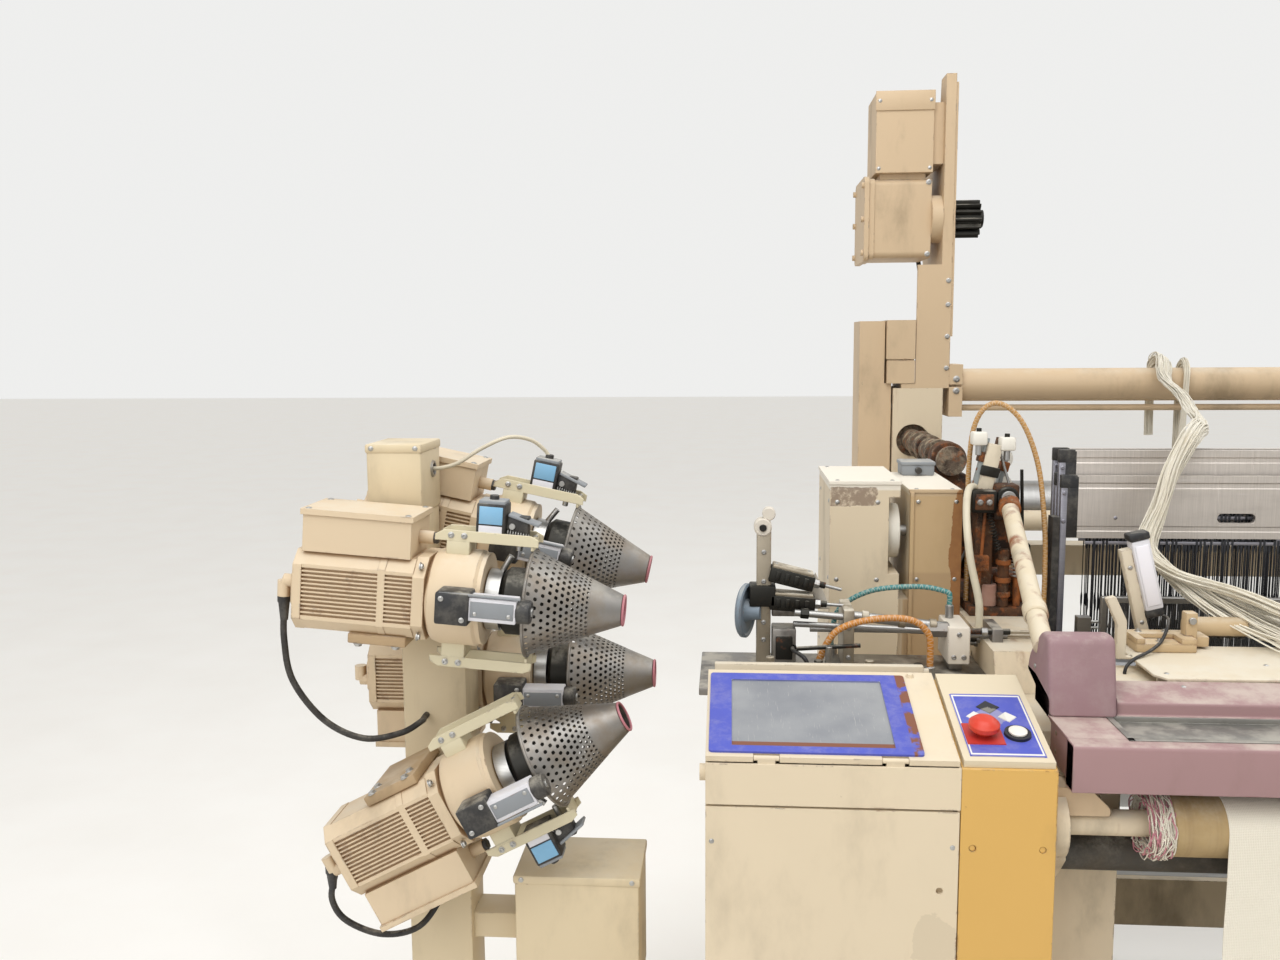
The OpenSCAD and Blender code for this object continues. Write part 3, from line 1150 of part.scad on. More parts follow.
// Perforated sheet cone, held by two flat arms
arm_z = 78;
module feeder_cone() {
    rotate([0, 90, 0]) rotate_extrude() polygon([[nose_d / 2 - cone_wall, 0], [nose_d / 2, 0],
        [cone_d / 2, -cone_l], [cone_d / 2 + 3, -cone_l], [cone_d / 2 + 3, -cone_l - 2], [cone_d / 2 - cone_wall, -cone_l - 2]]);
    for (s = [-1, 1]) {
        span([-250, -cone_l + 6], [-12, 12], s > 0 ? [arm_z, arm_z + 6] : [-arm_z - 6, -arm_z]);
        difference() {
            span([-246, -214], [-12, 12], s > 0 ? [bell_d / 2 - 6, arm_z] : [-arm_z, -bell_d / 2 + 6]);
            rod_x(-247, -213, [0, 0], bell_d + 2 * run);
        }
        span([-cone_l - 2, -cone_l + 1], [-10, 10], s > 0 ? [cone_d / 2 + 2.6, arm_z] : [-arm_z, -cone_d / 2 - 2.6]);
    }
}
module feeder_cones() color(steel) for (k = [0:3]) at_feeder(k) feeder_cone();

// Stopper solenoid on the arm and sensor box beside the bell housing
module feeder_solenoid() {
    z = arm_z + 6;
    span([-206, -168], [-19, 19], [z, z + 36]);
    rod_z(z + 36, z + 42, [-187, 0], 14);
    difference() {
        union() {
            span([-240, -206], [-112, -bell_d / 2 - 1], [-48, -6]);
            span([-238, -222], [-bell_d / 2 - 1, -bell_d / 2 + 14], [-40, -14]);
        }
        rod_x(-241, -205, [0, 0], bell_d + 2 * run);
    }
    span([-206, -150], [-108, -74], [-44, -10]);
    rod_x(-150, -118, [-91, -27], 34);
}
module feeder_solenoids() color(dark) for (k = [0:3]) at_feeder(k) feeder_solenoid();

// Winder: disc and yarn tube turning round the fixed drum shaft
module feeder_winder() {
    difference() {
        union() {
            rod_x(bell_x[1] + 2, drum_x[0] - 2, [0, 0], 84);
            rod_x(bell_x[1] - 26, bell_x[1] + 3, [0, 0], 20);
            rod_between([bell_x[1] + 14, 0, 34], [drum_x[0] + 6, 0, 62], 9);
        }
        rod_x(bell_x[1] - 27, drum_x[0], [0, 0], 14 + 2 * run);
    }
}
module feeder_winder_1() color(steel) at_feeder(0) feeder_winder();
module feeder_winder_2() color(steel) at_feeder(1) feeder_winder();
module feeder_winder_3() color(steel) at_feeder(2) feeder_winder();
module feeder_winder_4() color(steel) at_feeder(3) feeder_winder();

// Feeder stand: base plate with anchor holes, post, saddle arms, control boxes and the duct to the loom
post_x = [-2095, -2095 + post_w];
post_y = [-470 - post_d / 2, -470 + post_d / 2];
post_top = 1230;
anchor = [320, 260];
anchor_d = 14;
saddle_x = [-370, -290];
module feeder_saddle(k) {
    y = feeders[k][0][1];
    w = motor_w / 2;
    at_feeder(k) {
        // The saddle lies in the feeder's own frame and reaches the face of the post
        d = y < -470 ? [-w + 10, post_y[0] - y + 2] : [post_y[1] - y - 2, w - 10];
        span(saddle_x, d, [-w - 14, -w]);
    }
}
module feeder_stand() color(cream) {
    cx = (post_x[0] + post_x[1]) / 2;
    difference() {
        span([cx - 190, cx + 190], [-470 - 160, -470 + 160], [0, 16]);
        for (x = [-1, 1], y = [-1, 1]) rod_z(-eps, 17, [cx + x * anchor[0] / 2, -470 + y * anchor[1] / 2], anchor_d);
    }
    difference() {
        span(post_x, post_y, [16, post_top]);
        span([post_x[0] + 5, post_x[1] - 5], [post_y[0] + 5, post_y[1] - 5], [20, post_top - 6]);
    }
    for (s = [-1, 1]) along_x(cx + s * 40 - 4, cx + s * 40 + 4)
        polygon([[post_y[0], 16], [post_y[0] - 70, 16], [post_y[0], 140]]);
    for (k = [0:3]) feeder_saddle(k);
    // Control box with its lid line and a side hole
    span([-2150, -2052], [-514, -420], [post_top, 1277]);
    difference() {
        span([-2170, -2070], [-520, -416], [1277, 1408]);
        rod_x(-2076, -2069, [-460, 1368], 17);
    }
    // Lower box on a bracket of the post
    span([-1925, -1745], [-560, -430], [600, 790]);
    span([post_x[1], -1925], [-500, -440], [660, 700]);
    // Cable duct along the floor to the foot of the loom
    span([cx + 190, -side_out - 40], [-300 - 30, -300 + 30], [0, 30]);
    span([cx + 150, cx + 190], [-330, -270], [16, 30]);
    span([-side_out - 40, -side_out], [-330, -270], [0, 70]);
}

// Motor cables from the near feeders to the post
cable_a = [[-2224, -615, 1196], [-2226, -616, 1150], [-2218, -612, 1090], [-2180, -600, 1030], [-2130, -586, 1000],
    [-2084, -562, 1000], [-2060, -540, 1010], [-2060, -525, 1010], [-2060, -510.3, 1010]];
cable_b = [[-2172, -606, 806], [-2178, -606, 770], [-2160, -600, 735], [-2110, -592, 712], [-2062, -574, 716],
    [-2034, -545, 750], [-2034, -525, 750], [-2034, -510.3, 750]];
module cables() color(dark) {
    tube_along(smooth(cable_a, 2), 9);
    tube_along(smooth(cable_b, 2), 9);
}

left_side_frame();
right_side_frame();
cross_girders();
levelling_feet();
top_pipe();
front_cover();
cover_end_pads();
cover_tray();
cloth_plate();
temples();
console_cabinet();
console_door();
console_lid();
display_panel();
switch_column();
switch_panel();
estop_button();
start_button();
shed_drive_box();
handwheel();
selvedge_unit();
leno_drive();
main_motor();
motor_pulley();
drive_belt();
main_shaft();
sley();
reed();
main_nozzles();
tandem_nozzles();
air_hoses();
cables();
heald_frame_1();
heald_frame_2();
heald_frame_3();
heald_frame_4();
heald_guides();
warp_beam();
letoff_motors();
letoff_pinion();
upper_stands();
upper_pinion();
back_rest_arms();
back_rest_roll();
rear_boxes();
take_up_roll();
press_roll();
cloth_beam();
cloth_web();
warp_hank();
detector_box();
feeder_stand();
feeder_housings();
feeder_drums();
feeder_cones();
feeder_solenoids();
feeder_winder_1();
feeder_winder_2();
feeder_winder_3();
feeder_winder_4();
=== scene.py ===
"""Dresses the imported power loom: finishes for every part, and the fine pieces that a solid model leaves out.

Every length is in metres in the frame of the part: X to the right along the loom, Y to the back, Z up.
"""

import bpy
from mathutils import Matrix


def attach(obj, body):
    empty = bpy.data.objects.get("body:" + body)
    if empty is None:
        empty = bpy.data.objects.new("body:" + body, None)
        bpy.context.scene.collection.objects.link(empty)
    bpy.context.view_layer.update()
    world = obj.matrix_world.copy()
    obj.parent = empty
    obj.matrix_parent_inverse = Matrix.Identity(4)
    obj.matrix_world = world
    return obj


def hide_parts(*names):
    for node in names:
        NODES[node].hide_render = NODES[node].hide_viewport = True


bl_info = {
    "name": "Power loom dressing",
    "version": (1, 0, 0),
    "blender": (4, 5, 0),
    "location": "3D View > Sidebar > Loom",
    "description": "Adds finishes, healds, perforated cones, hoses, yarn and cloth to the packed power loom",
    "category": "Object",
}

import bpy
import numpy as np
from mathutils import Matrix, Vector

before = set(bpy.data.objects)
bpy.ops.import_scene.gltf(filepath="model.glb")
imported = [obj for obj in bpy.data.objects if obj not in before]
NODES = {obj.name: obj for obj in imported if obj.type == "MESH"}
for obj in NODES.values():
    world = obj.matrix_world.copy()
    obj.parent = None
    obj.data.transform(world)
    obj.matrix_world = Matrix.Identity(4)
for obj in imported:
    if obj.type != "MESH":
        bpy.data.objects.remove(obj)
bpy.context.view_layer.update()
FINISH = {}  # finished materials by name


def rgb(text):
    """Linear colour from a #rrggbb string, by the sRGB curve."""
    c = np.array([int(text[k : k + 2], 16) for k in (1, 3, 5)]) / 255
    return (*np.where(c <= 0.04045, c / 12.92, ((c + 0.055) / 1.055) ** 2.4), 1.0)


# Sizes and colours that a user would change ------------------------------------------------


def hue(name, description, default):
    """A colour that a user can change."""
    return bpy.props.FloatVectorProperty(
        name=name, description=description, subtype="COLOR", size=4, default=rgb(default))


def number(name, description, default, low):
    """A count that a user can change."""
    return bpy.props.IntProperty(name=name, description=description, default=default, min=low)


class LoomColours(bpy.types.PropertyGroup):
    """Colours of the main finishes."""

    cream: hue("Cream", "Enamel of the frames and boxes", "#dcccb0")
    beige: hue("Beige", "Enamel of the motors and stands", "#d0b795")
    mauve: hue("Mauve", "Enamel of the front cover", "#9f7e7e")
    ochre: hue("Ochre", "Enamel of the switch column", "#d5aa5c")
    blue: hue("Blue", "Film of the display and the switches", "#4a55b8")
    yarn: hue("Yarn", "Raw cotton of the hank and the cloth", "#f1ebdb")


class LoomSizes(bpy.types.PropertyGroup):
    """Sizes of the pieces that this script makes."""

    healds: number("Healds", "Healds drawn on each frame", 330, 40)
    dents: number("Reed dents", "Dents drawn in the reed", 620, 40)
    strands: number("Yarns", "Yarns drawn in the hank", 190, 10)
    yarn: bpy.props.FloatProperty(
        name="Yarn thickness", description="Diameter of a drawn yarn", default=0.0026, unit="LENGTH")
    hole_rows: number("Hole rows", "Rows of holes along a feeder cone", 11, 2)
    hole_count: number("Holes round", "Holes in each row of a feeder cone", 36, 6)
    cloth: bpy.props.FloatProperty(
        name="Cloth thickness", description="Thickness of the woven cloth", default=0.0012, unit="LENGTH")


# Shader maths ------------------------------------------------------------------------------


def joining(operation, other_first=False):
    """A method that joins a signal and another value by one Math node."""

    def method(self, other):
        return self.math(operation, *((other, self) if other_first else (self, other)))

    return method


class Signal:
    """A node output that takes part in Python arithmetic; each operator adds one Math node."""

    def __init__(self, nodes, socket):
        self.nodes, self.socket = nodes, socket

    def math(self, operation, *inputs):
        return self.nodes.node("ShaderNodeMath", {"operation": operation}, inputs)

    __add__, __radd__ = joining("ADD"), joining("ADD", True)
    __sub__, __rsub__ = joining("SUBTRACT"), joining("SUBTRACT", True)
    __mul__, __rmul__ = joining("MULTIPLY"), joining("MULTIPLY", True)
    __or__ = joining("MAXIMUM")  # the larger of two masks
    __and__ = joining("MINIMUM")  # the smaller of two masks

    def __abs__(self):
        return self.math("ABSOLUTE", self)

    def sine(self):
        return self.math("SINE", self)

    def root(self):
        return self.math("SQRT", self)

    def step(self, low, high):
        """0 below low, 1 above high, smooth between; low above high turns it round."""
        flip = low > high
        a, b = (high, low) if flip else (low, high)
        out = self.nodes.node("ShaderNodeMapRange", {"interpolation_type": "SMOOTHSTEP"},
                              {"Value": self, "From Min": a, "From Max": b})
        return 1 - out if flip else out


class Nodes:
    """A node tree under construction."""

    def __init__(self, tree):
        self.tree = tree
        tree.nodes.clear()

    def node(self, kind, settings=None, inputs=(), out=0):
        """Adds a node: its settings first, then values or links by socket place or name."""
        n = self.tree.nodes.new(kind)
        for key, value in (settings or {}).items():
            setattr(n, key, value)
        pairs = inputs.items() if isinstance(inputs, dict) else enumerate(inputs)
        for key, value in pairs:
            if isinstance(value, Signal):
                self.tree.links.new(value.socket, n.inputs[key])
            elif value is not None:
                n.inputs[key].default_value = value
        return Signal(self, n.outputs[out])

    def end(self, kind, signal):
        """Adds the output node and links it."""
        self.tree.links.new(signal.socket, self.tree.nodes.new(kind).inputs[0])

    def split(self, vector):
        """The parts of a vector."""
        parts = self.node("ShaderNodeSeparateXYZ", {}, [vector]).socket.node.outputs
        return [Signal(self, part) for part in parts]

    def seen(self):
        """1 for what the camera sees, straight or by glass, and 0 for light that falls on things."""
        camera, glossy, glass = (self.node("ShaderNodeLightPath", out="Is %s Ray" % way)
                                 for way in ("Camera", "Glossy", "Transmission"))
        return camera | glossy | glass


class Finish(Nodes):
    """One material under construction: a Principled shader and the nodes in front of it."""

    def __init__(self, name):
        FINISH[name] = self.material = bpy.data.materials.new(name)
        self.material.use_nodes = True
        super().__init__(self.material.node_tree)
        shader = self.node("ShaderNodeBsdfPrincipled")
        self.sockets = shader.socket.node.inputs
        self.end("ShaderNodeOutputMaterial", shader)
        self.spot = self.node("ShaderNodeTexCoord", out="Object")
        self.x, self.y, self.z = self.split(self.spot)

    def at(self, scale=(1, 1, 1), turn=(0, 0, 0), shift=(0, 0, 0)):
        """Object coordinates, stretched, turned or shifted."""
        return self.node("ShaderNodeMapping", {}, {"Vector": self.spot, "Scale": scale, "Rotation": turn,
                                                   "Location": shift})

    def along(self, origin, way):
        """How far a place lies from an origin in one direction."""
        return self.node("ShaderNodeVectorMath", {"operation": "DOT_PRODUCT"},
                         {0: self.at(shift=[-c for c in origin]), 1: way}, out="Value")

    def uv(self):
        """The two measures of a surface: round or across it, and along it."""
        return self.split(self.node("ShaderNodeTexCoord", out="UV"))[:2]

    def noise(self, scale, detail=3.0, rough=0.5, at=None):
        return self.node("ShaderNodeTexNoise", {},
                         {"Vector": at or self.spot, "Scale": scale, "Detail": detail, "Roughness": rough})

    def mix(self, factor, a, b):
        """Colour a where factor is 0 and b where it is 1."""
        return self.node("ShaderNodeMix", {"data_type": "RGBA"}, {0: factor, 6: a, 7: b}, out=2)

    def edges(self, radius):
        """1 on sharp outer and inner edges, from how far a rounded normal leaves the true one."""
        true = self.node("ShaderNodeNewGeometry", out="Normal")
        soft = self.node("ShaderNodeBevel", {"samples": 4}, {"Radius": radius})
        dot = self.node("ShaderNodeVectorMath", {"operation": "DOT_PRODUCT"}, [true, soft], out="Value")
        return (1 - dot).step(0.02, 0.18)

    def facing_up(self):
        return self.split(self.node("ShaderNodeNewGeometry", out="Normal"))[2]

    def bump(self, height, distance, soft_edge=0.0):
        """Height times distance as a relief; soft_edge rounds the normals of sharp edges as well."""
        base = self.node("ShaderNodeBevel", {"samples": 4}, {"Radius": soft_edge}) if soft_edge else None
        return self.node("ShaderNodeBump", {}, {"Height": height, "Distance": distance, "Normal": base})

    def feed(self, **sockets):
        """Sets or links the sockets of the Principled shader, by name with _ for a space."""
        for name, value in sockets.items():
            socket = self.sockets[name.replace("_", " ")]
            if isinstance(value, Signal):
                self.tree.links.new(value.socket, socket)
            else:
                socket.default_value = value
        return self.material


GRIME = rgb("#54462f")
RUST = rgb("#6b3313")
RUST_PALE = rgb("#9a5a2a")
LINT = rgb("#d9d2c2")
BARE = rgb("#77706a")


def paint(name, colour, wear=0.3, rust=0.15, dust=0.3, grime=0.35, gloss=0.42, extra=None):
    """Old enamel: uneven colour, grime in patches, chips along edges, rust in them, lint on top faces."""
    f = Finish(name)
    body = f.mix(f.noise(2.2, 4).step(0.3, 0.75) * 0.55, colour, [c * 0.88 for c in colour[:3]] + [1])
    smear = f.noise(7, 6, 0.62, f.at((1, 1, 0.45)))
    dirty = smear.step(0.52, 0.78) * grime
    body = f.mix(dirty, body, GRIME)
    edge = f.edges(0.004)
    speck = f.noise(70, 3, 0.6)
    chips = (edge * f.noise(26, 4, 0.7).step(0.62 - 0.25 * wear, 0.7 - 0.2 * wear)) | (
        f.noise(23, 5, 0.65).step(0.76 - 0.05 * wear, 0.78 - 0.05 * wear) * min(1, wear * 1.5))
    bruise = f.mix(speck.step(0.4, 0.62), BARE, RUST)
    body = f.mix(chips * 0.85, body, bruise)
    run = f.noise(11, 5, 0.6, f.at((2.4, 2.4, 0.28))).step(0.66 - rust * 0.16, 0.8 - rust * 0.1)
    body = f.mix(run * min(1.0, rust * 1.4), body, f.mix(speck, RUST, RUST_PALE))
    fluff = f.facing_up().step(0.5, 0.95) * f.noise(14, 6, 0.7).step(0.35, 0.65) * dust
    body = f.mix(fluff, body, LINT)
    rough = gloss + 0.22 * smear + 0.3 * fluff
    height = f.noise(320, 2) * 0.25 - chips * 1.0 + fluff * 1.5
    if extra:
        body, rough, height = extra(f, body, rough, height)
    return f.feed(Base_Color=body, Roughness=rough, Normal=f.bump(height, 0.0002, 0.0012))


def metal(name, colour, rough=0.3, rust=0.1, grease=0.2, grain=(1, 1, 60), dust=0.15, extra=None):
    """Worked metal: fine grain across one axis, stains, grease and thin rust."""
    f = Finish(name)
    lines = f.noise(14, 4, 0.6, f.at(grain))
    stain = f.noise(16, 5, 0.6)
    greasy = stain.step(0.55, 0.75) * grease
    rusty = f.noise(21, 6, 0.68).step(0.66 - 0.22 * rust, 0.76 - 0.16 * rust) * min(1.0, rust * 2)
    fluff = f.facing_up().step(0.4, 0.95) * f.noise(18, 5, 0.7).step(0.42, 0.65) * dust
    body = f.mix(lines.step(0.3, 0.7) * 0.35, colour, [c * 0.72 for c in colour[:3]] + [1])
    body = f.mix(greasy, body, rgb("#2b241c"))
    body = f.mix(rusty, body, f.mix(f.noise(90, 3), RUST, RUST_PALE))
    body = f.mix(fluff, body, LINT)
    shine = rough + 0.18 * lines + 0.3 * rusty + 0.35 * fluff
    height = lines * 0.3 + rusty * f.noise(160, 3)
    metallic = (1 - rusty * 0.9) & (1 - fluff)
    if extra:
        body, shine, height = extra(f, body, shine, height)
    return f.feed(Base_Color=body, Roughness=shine, Metallic=metallic, Normal=f.bump(height, 0.00012, 0.0007))


def plastic(name, colour, rough=0.45, dust=0.35, mottle=0.15, soft=0.001, extra=None):
    """Moulded plastic or rubber: fine grain, finger grease and dust."""
    f = Finish(name)
    patch = f.noise(9, 5, 0.6)
    body = f.mix(patch.step(0.35, 0.75) * mottle, colour, GRIME)
    fluff = (f.facing_up().step(0.2, 0.95) * 0.8 + 0.2) * f.noise(30, 6, 0.75).step(0.42, 0.72) * dust
    body = f.mix(fluff, body, LINT)
    height = f.noise(520, 2) * 0.4 + fluff
    shine = rough + 0.2 * patch + 0.25 * fluff
    if extra:
        body, shine, height = extra(f, body, shine, height)
    return f.feed(Base_Color=body, Roughness=shine, Normal=f.bump(height, 0.00012, soft))


def rusty_iron(name, colour, lint=0.45, dark=0.4):
    """Iron that has gone brown under oil and lint: layered patches of scale, orange bloom and fluff."""
    f = Finish(name)
    scale = f.noise(24, 7, 0.7)
    bloom = f.noise(60, 5, 0.65)
    body = f.mix(scale.step(0.35, 0.6), rgb("#2a1c13"), colour)
    body = f.mix(bloom.step(0.5, 0.7) * 0.75, body, rgb("#9a5524"))
    body = f.mix(f.noise(9, 4).step(0.5, 0.75) * dark, body, rgb("#191310"))
    fluff = f.noise(42, 7, 0.8).step(0.62 - 0.2 * lint, 0.78 - 0.2 * lint) * (
        0.35 + 0.65 * f.facing_up().step(-0.2, 0.9))
    body = f.mix(fluff * min(1, lint * 1.5), body, rgb("#b5a68c"))
    return f.feed(Base_Color=body, Roughness=0.62 + 0.25 * scale, Metallic=(1 - bloom) * 0.35,
                  Normal=f.bump(scale + bloom * 0.7 + fluff * 1.2, 0.0011, 0.001))


def yarn_cloth(name, colour, weave=900.0):
    """Raw cotton: fine crossed threads, soft sheen and faint soil."""
    f = Finish(name)
    u, v = f.uv()
    warp, weft = abs((u * weave).sine()), abs((v * weave).sine())
    soil = f.noise(4, 5, 0.6)
    body = f.mix(soil.step(0.45, 0.8) * 0.3, colour, rgb("#c9b899"))
    body = f.mix(warp * weft * 0.25, body, rgb("#b7a98c"))
    return f.feed(Base_Color=body, Roughness=0.85, Normal=f.bump(warp + weft, 0.0003), Sheen_Weight=0.25,
                  Sheen_Roughness=0.5)


# Surfaces ----------------------------------------------------------------------------------


def quads(rows, columns, close_columns=False):
    """Faces of a grid of points kept row by row; closed columns join the last to the first."""
    i, j = np.meshgrid(np.arange(rows - 1), np.arange(columns - (not close_columns)), indexing="ij")
    i2, j2 = i + 1, (j + 1) % columns
    return np.stack([i * columns + j, i * columns + j2, i2 * columns + j2, i2 * columns + j], -1).reshape(-1, 4)


class Heap:
    """Points and faces of one piece, gathered from several surfaces before they go into a mesh."""

    def __init__(self, basis=None, origin=(0, 0, 0)):
        self.points, self.faces, self.uv, self.slots, self.count = [], [], [], [], 0
        self.at(basis, origin)

    def at(self, basis=None, origin=(0, 0, 0)):
        """Where the next surfaces go: their own axes as the rows of basis, and their own zero point."""
        self.basis = np.eye(3) if basis is None else np.asarray(basis, float)
        self.origin = np.asarray(origin, float)
        return self

    def add(self, points, faces, uv=None, slot=0):
        points = np.asarray(points, float).reshape(-1, 3) @ self.basis + self.origin
        turn = -1 if np.linalg.det(self.basis) < 0 else 1
        faces = [tuple(int(k) + self.count for k in face)[::turn] for face in faces]
        self.points.append(points)
        self.faces += faces
        self.slots += [slot] * len(faces)
        self.uv.append(np.zeros((len(points), 2)) if uv is None else np.asarray(uv, float).reshape(-1, 2))
        self.count += len(points)
        return self

    def piece(self, name, materials, body, slot=None, smooth=35.0, replaces=()):
        """Puts the heap into a mesh object that rides on a CAD body."""
        mesh = bpy.data.meshes.new(name)
        mesh.from_pydata(np.concatenate(self.points).tolist(), [], self.faces)
        materials = materials if isinstance(materials, (list, tuple)) else [materials]
        for m in materials:
            mesh.materials.append(FINISH[m] if isinstance(m, str) else m)
        mesh.polygons.foreach_set("material_index", self.slots)
        uv = np.concatenate(self.uv)
        if np.any(uv):
            loops = np.zeros(len(mesh.loops), np.int32)
            mesh.loops.foreach_get("vertex_index", loops)
            mesh.uv_layers.new(name="UVMap").data.foreach_set("uv", uv[loops].ravel())
        mesh.validate()
        if smooth:
            mesh.shade_smooth()
            mesh.set_sharp_from_angle(angle=np.radians(smooth))
        thing = bpy.data.objects.new(name, mesh)
        bpy.context.scene.collection.objects.link(thing)
        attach(thing, body)
        if replaces:
            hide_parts(*replaces)
        return thing


def unit(v):
    v = np.asarray(v, float)
    return v / np.maximum(np.linalg.norm(v, axis=-1, keepdims=True), 1e-12)


def axes_of(direction):
    """Two directions square to the given one, and itself, as rows."""
    w = unit(direction)
    side = np.array([0.0, 0, 1]) if abs(w[2]) < 0.9 else np.array([0.0, 1, 0])
    u = unit(np.cross(side, w))
    return np.stack([u, np.cross(w, u), w])


def skin(rows, sides):
    """Faces of rings of points one after another, with a flat cap at both ends."""
    last = (rows - 1) * sides
    return [tuple(f) for f in quads(rows, sides, close_columns=True)] + [
        tuple(range(sides - 1, -1, -1)), tuple(range(last, last + sides))]


def add_turned(heap, profile, start, end, sides=24, slot=0, close=False):
    """Turns a profile of (radius, distance) about the line from start to end; distance runs along the line.

    Its ends are closed by flat caps, or into a ring where the profile itself is closed.
    """
    profile = np.array([*profile, profile[0]] if close else profile, float)
    basis = axes_of(np.subtract(end, start))
    angle = np.linspace(0, 2 * np.pi, sides, endpoint=False)
    ring = np.cos(angle)[:, None] * basis[0] + np.sin(angle)[:, None] * basis[1]
    grid = np.asarray(start, float) + profile[:, None, 1:2] * basis[2] + profile[:, None, 0:1] * ring[None]
    faces = skin(len(profile), sides)
    return heap.add(grid, faces[:-2] if close else faces, slot=slot)


def rod(heap, start, end, radius, sides=16, edge=None, slot=0):
    """A round bar with a small chamfer at both ends."""
    length = float(np.linalg.norm(np.subtract(end, start)))
    edge = min(radius, length) * 0.12 if edge is None else edge
    profile = [(radius - edge, 0), (radius, edge), (radius, length - edge), (radius - edge, length)]
    return add_turned(heap, profile, start, end, sides, slot=slot)


# Heads of the fasteners: sides, and a profile of (radius in sizes, height in head heights)
HEADS = {"hex": (6, [(0.86, 0), (0.86, 0.82), (0.7, 1)]),
         "socket": (12, [(0.75, 0), (0.75, 1), (0.68, 1.06), (0.42, 1.06), (0.4, 0.5)]),
         "pan": (12, [(0.85, 0), (0.8, 0.35), (0.5, 0.6), (0.16, 0.62), (0.14, 0.3)])}


def screw(heap, at, out, size=0.006, kind="hex", slot=0):
    """A fastener on its washer; at is the seat and out the way it stands up."""
    at, out = np.asarray(at, float), unit(out)
    washer = [(size * 1.05, -0.0006), (size * 1.05, size * 0.12), (size * 0.9, size * 0.18)]
    add_turned(heap, washer, at, at + out, 16, slot=slot)
    sides, profile = HEADS[kind]
    return add_turned(heap, [(size * r, size * 0.65 * h) for r, h in profile], at, at + out, sides, slot=slot)


def outward(ring):
    """At each point of a counter-clockwise outline, the mean of its two side normals."""
    side = unit(np.roll(ring, -1, 0) - ring)
    normal = np.stack([side[:, 1], -side[:, 0]], -1)
    return unit(normal + np.roll(normal, 1, 0))


def drawn(heap, ends, low, high, axis, slot):
    """The skin of an outline drawn along an axis from low to high.

    ends holds the outline at growing depths from either end, as pairs of ring and depth.
    """
    levels = [(ring, low + depth) for ring, depth in ends] + [(ring, high - depth) for ring, depth in ends[::-1]]
    local = np.concatenate([np.column_stack([ring, np.full(len(ring), height)]) for ring, height in levels])
    points = np.empty_like(local)
    points[:, [(axis + 1) % 3, (axis + 2) % 3, axis]] = local
    return heap.add(points, skin(len(levels), len(ends[0][0])), slot=slot)


def slab(heap, low, high, radius=0.003, axis=2, slot=0, corner=3):
    """A box with round edges: a rounded outline across axis, drawn along it and pulled in at both ends.

    Each corner of the outline is a quarter circle, and each end goes in by the same quarter circle.
    """
    low, high = np.minimum(low, high).astype(float), np.maximum(low, high).astype(float)
    order = [(axis + 1) % 3, (axis + 2) % 3, axis]
    a, b = low[order], high[order]
    radius = min(radius, *(0.49 * (b - a)))
    step = np.linspace(0, np.pi / 2, corner)
    angle = (step[None] + np.arange(4)[:, None] * np.pi / 2).ravel()
    near, far = a[:2] + radius, b[:2] - radius
    centre = np.array([far, (near[0], far[1]), near, (far[0], near[1])]).repeat(corner, 0)
    way = np.stack([np.cos(angle), np.sin(angle)], -1)
    ends = [(centre + way * np.sin(bow) * radius, radius * (1 - np.cos(bow))) for bow in step]
    return drawn(heap, ends, a[2], b[2], axis, slot)


def plate(heap, outline, low, high, axis=2, edge=0.0005, slot=0):
    """A flat outline, given counter-clockwise, drawn from low to high along axis, with a small chamfer at both ends.

    Each outline point goes in along the mean of its two side normals for the chamfer.
    """
    ring = np.asarray(outline, float)
    return drawn(heap, [(ring - outward(ring) * edge, 0), (ring, edge)], low, high, axis, slot)


def copies(heap, points, faces, offsets, slot=0):
    """The same small shape at many places, as one array."""
    points, faces = np.asarray(points, float), [tuple(f) for f in faces]
    offsets = np.asarray(offsets, float)
    n = len(points)
    spread = (points[None] + offsets[:, None]).reshape(-1, 3)
    return heap.add(spread, [tuple(k + n * i for k in f) for i in range(len(offsets)) for f in faces], slot=slot)


def spline(points, steps):
    """A smooth line through points: each stretch is a cubic through its ends that leans on both neighbours."""
    p = np.asarray(points, float)
    q = np.concatenate([p[:1], p, p[-1:]])
    t = (np.arange(steps) / steps)[:, None, None]
    a, b, c, d = q[:-3], q[1:-2], q[2:-1], q[3:]
    out = 0.5 * (2 * b + (c - a) * t + (2 * a - 5 * b + 4 * c - d) * t**2 + (3 * b - a - 3 * c + d) * t**3)
    return np.concatenate([out.transpose(1, 0, 2).reshape(-1, 3), p[-1:]])


def run_of(path):
    """The distance run at each point of a path."""
    return np.concatenate([[0], np.cumsum(np.linalg.norm(np.diff(path, axis=0), axis=1))])


def frames_along(path):
    """Tangents and two square directions at each point of a path, leaning on the path's flattest direction."""
    path = np.asarray(path, float)
    tangent = unit(np.gradient(path, axis=0))
    flat = np.linalg.svd(path - path.mean(0), full_matrices=True)[2][2]
    side = unit(np.cross(tangent, flat))
    return tangent, side, np.cross(tangent, side)


def tube(heap, path, radius, sides=10, slot=0):
    """A circle carried along a path; radius may change from point to point. Its UV runs round and along, in metres."""
    path = np.asarray(path, float)
    _, side, up = frames_along(path)
    radius = np.broadcast_to(radius, len(path))
    angle = np.linspace(0, 2 * np.pi, sides, endpoint=False)
    ring = np.cos(angle)[None, :, None] * side[:, None] + np.sin(angle)[None, :, None] * up[:, None]
    points = path[:, None] + ring * radius[:, None, None]
    uv = np.stack(np.broadcast_arrays(angle[None] / (2 * np.pi), run_of(path)[:, None] + 1e-6), -1)
    return heap.add(points, skin(len(path), sides), uv, slot)


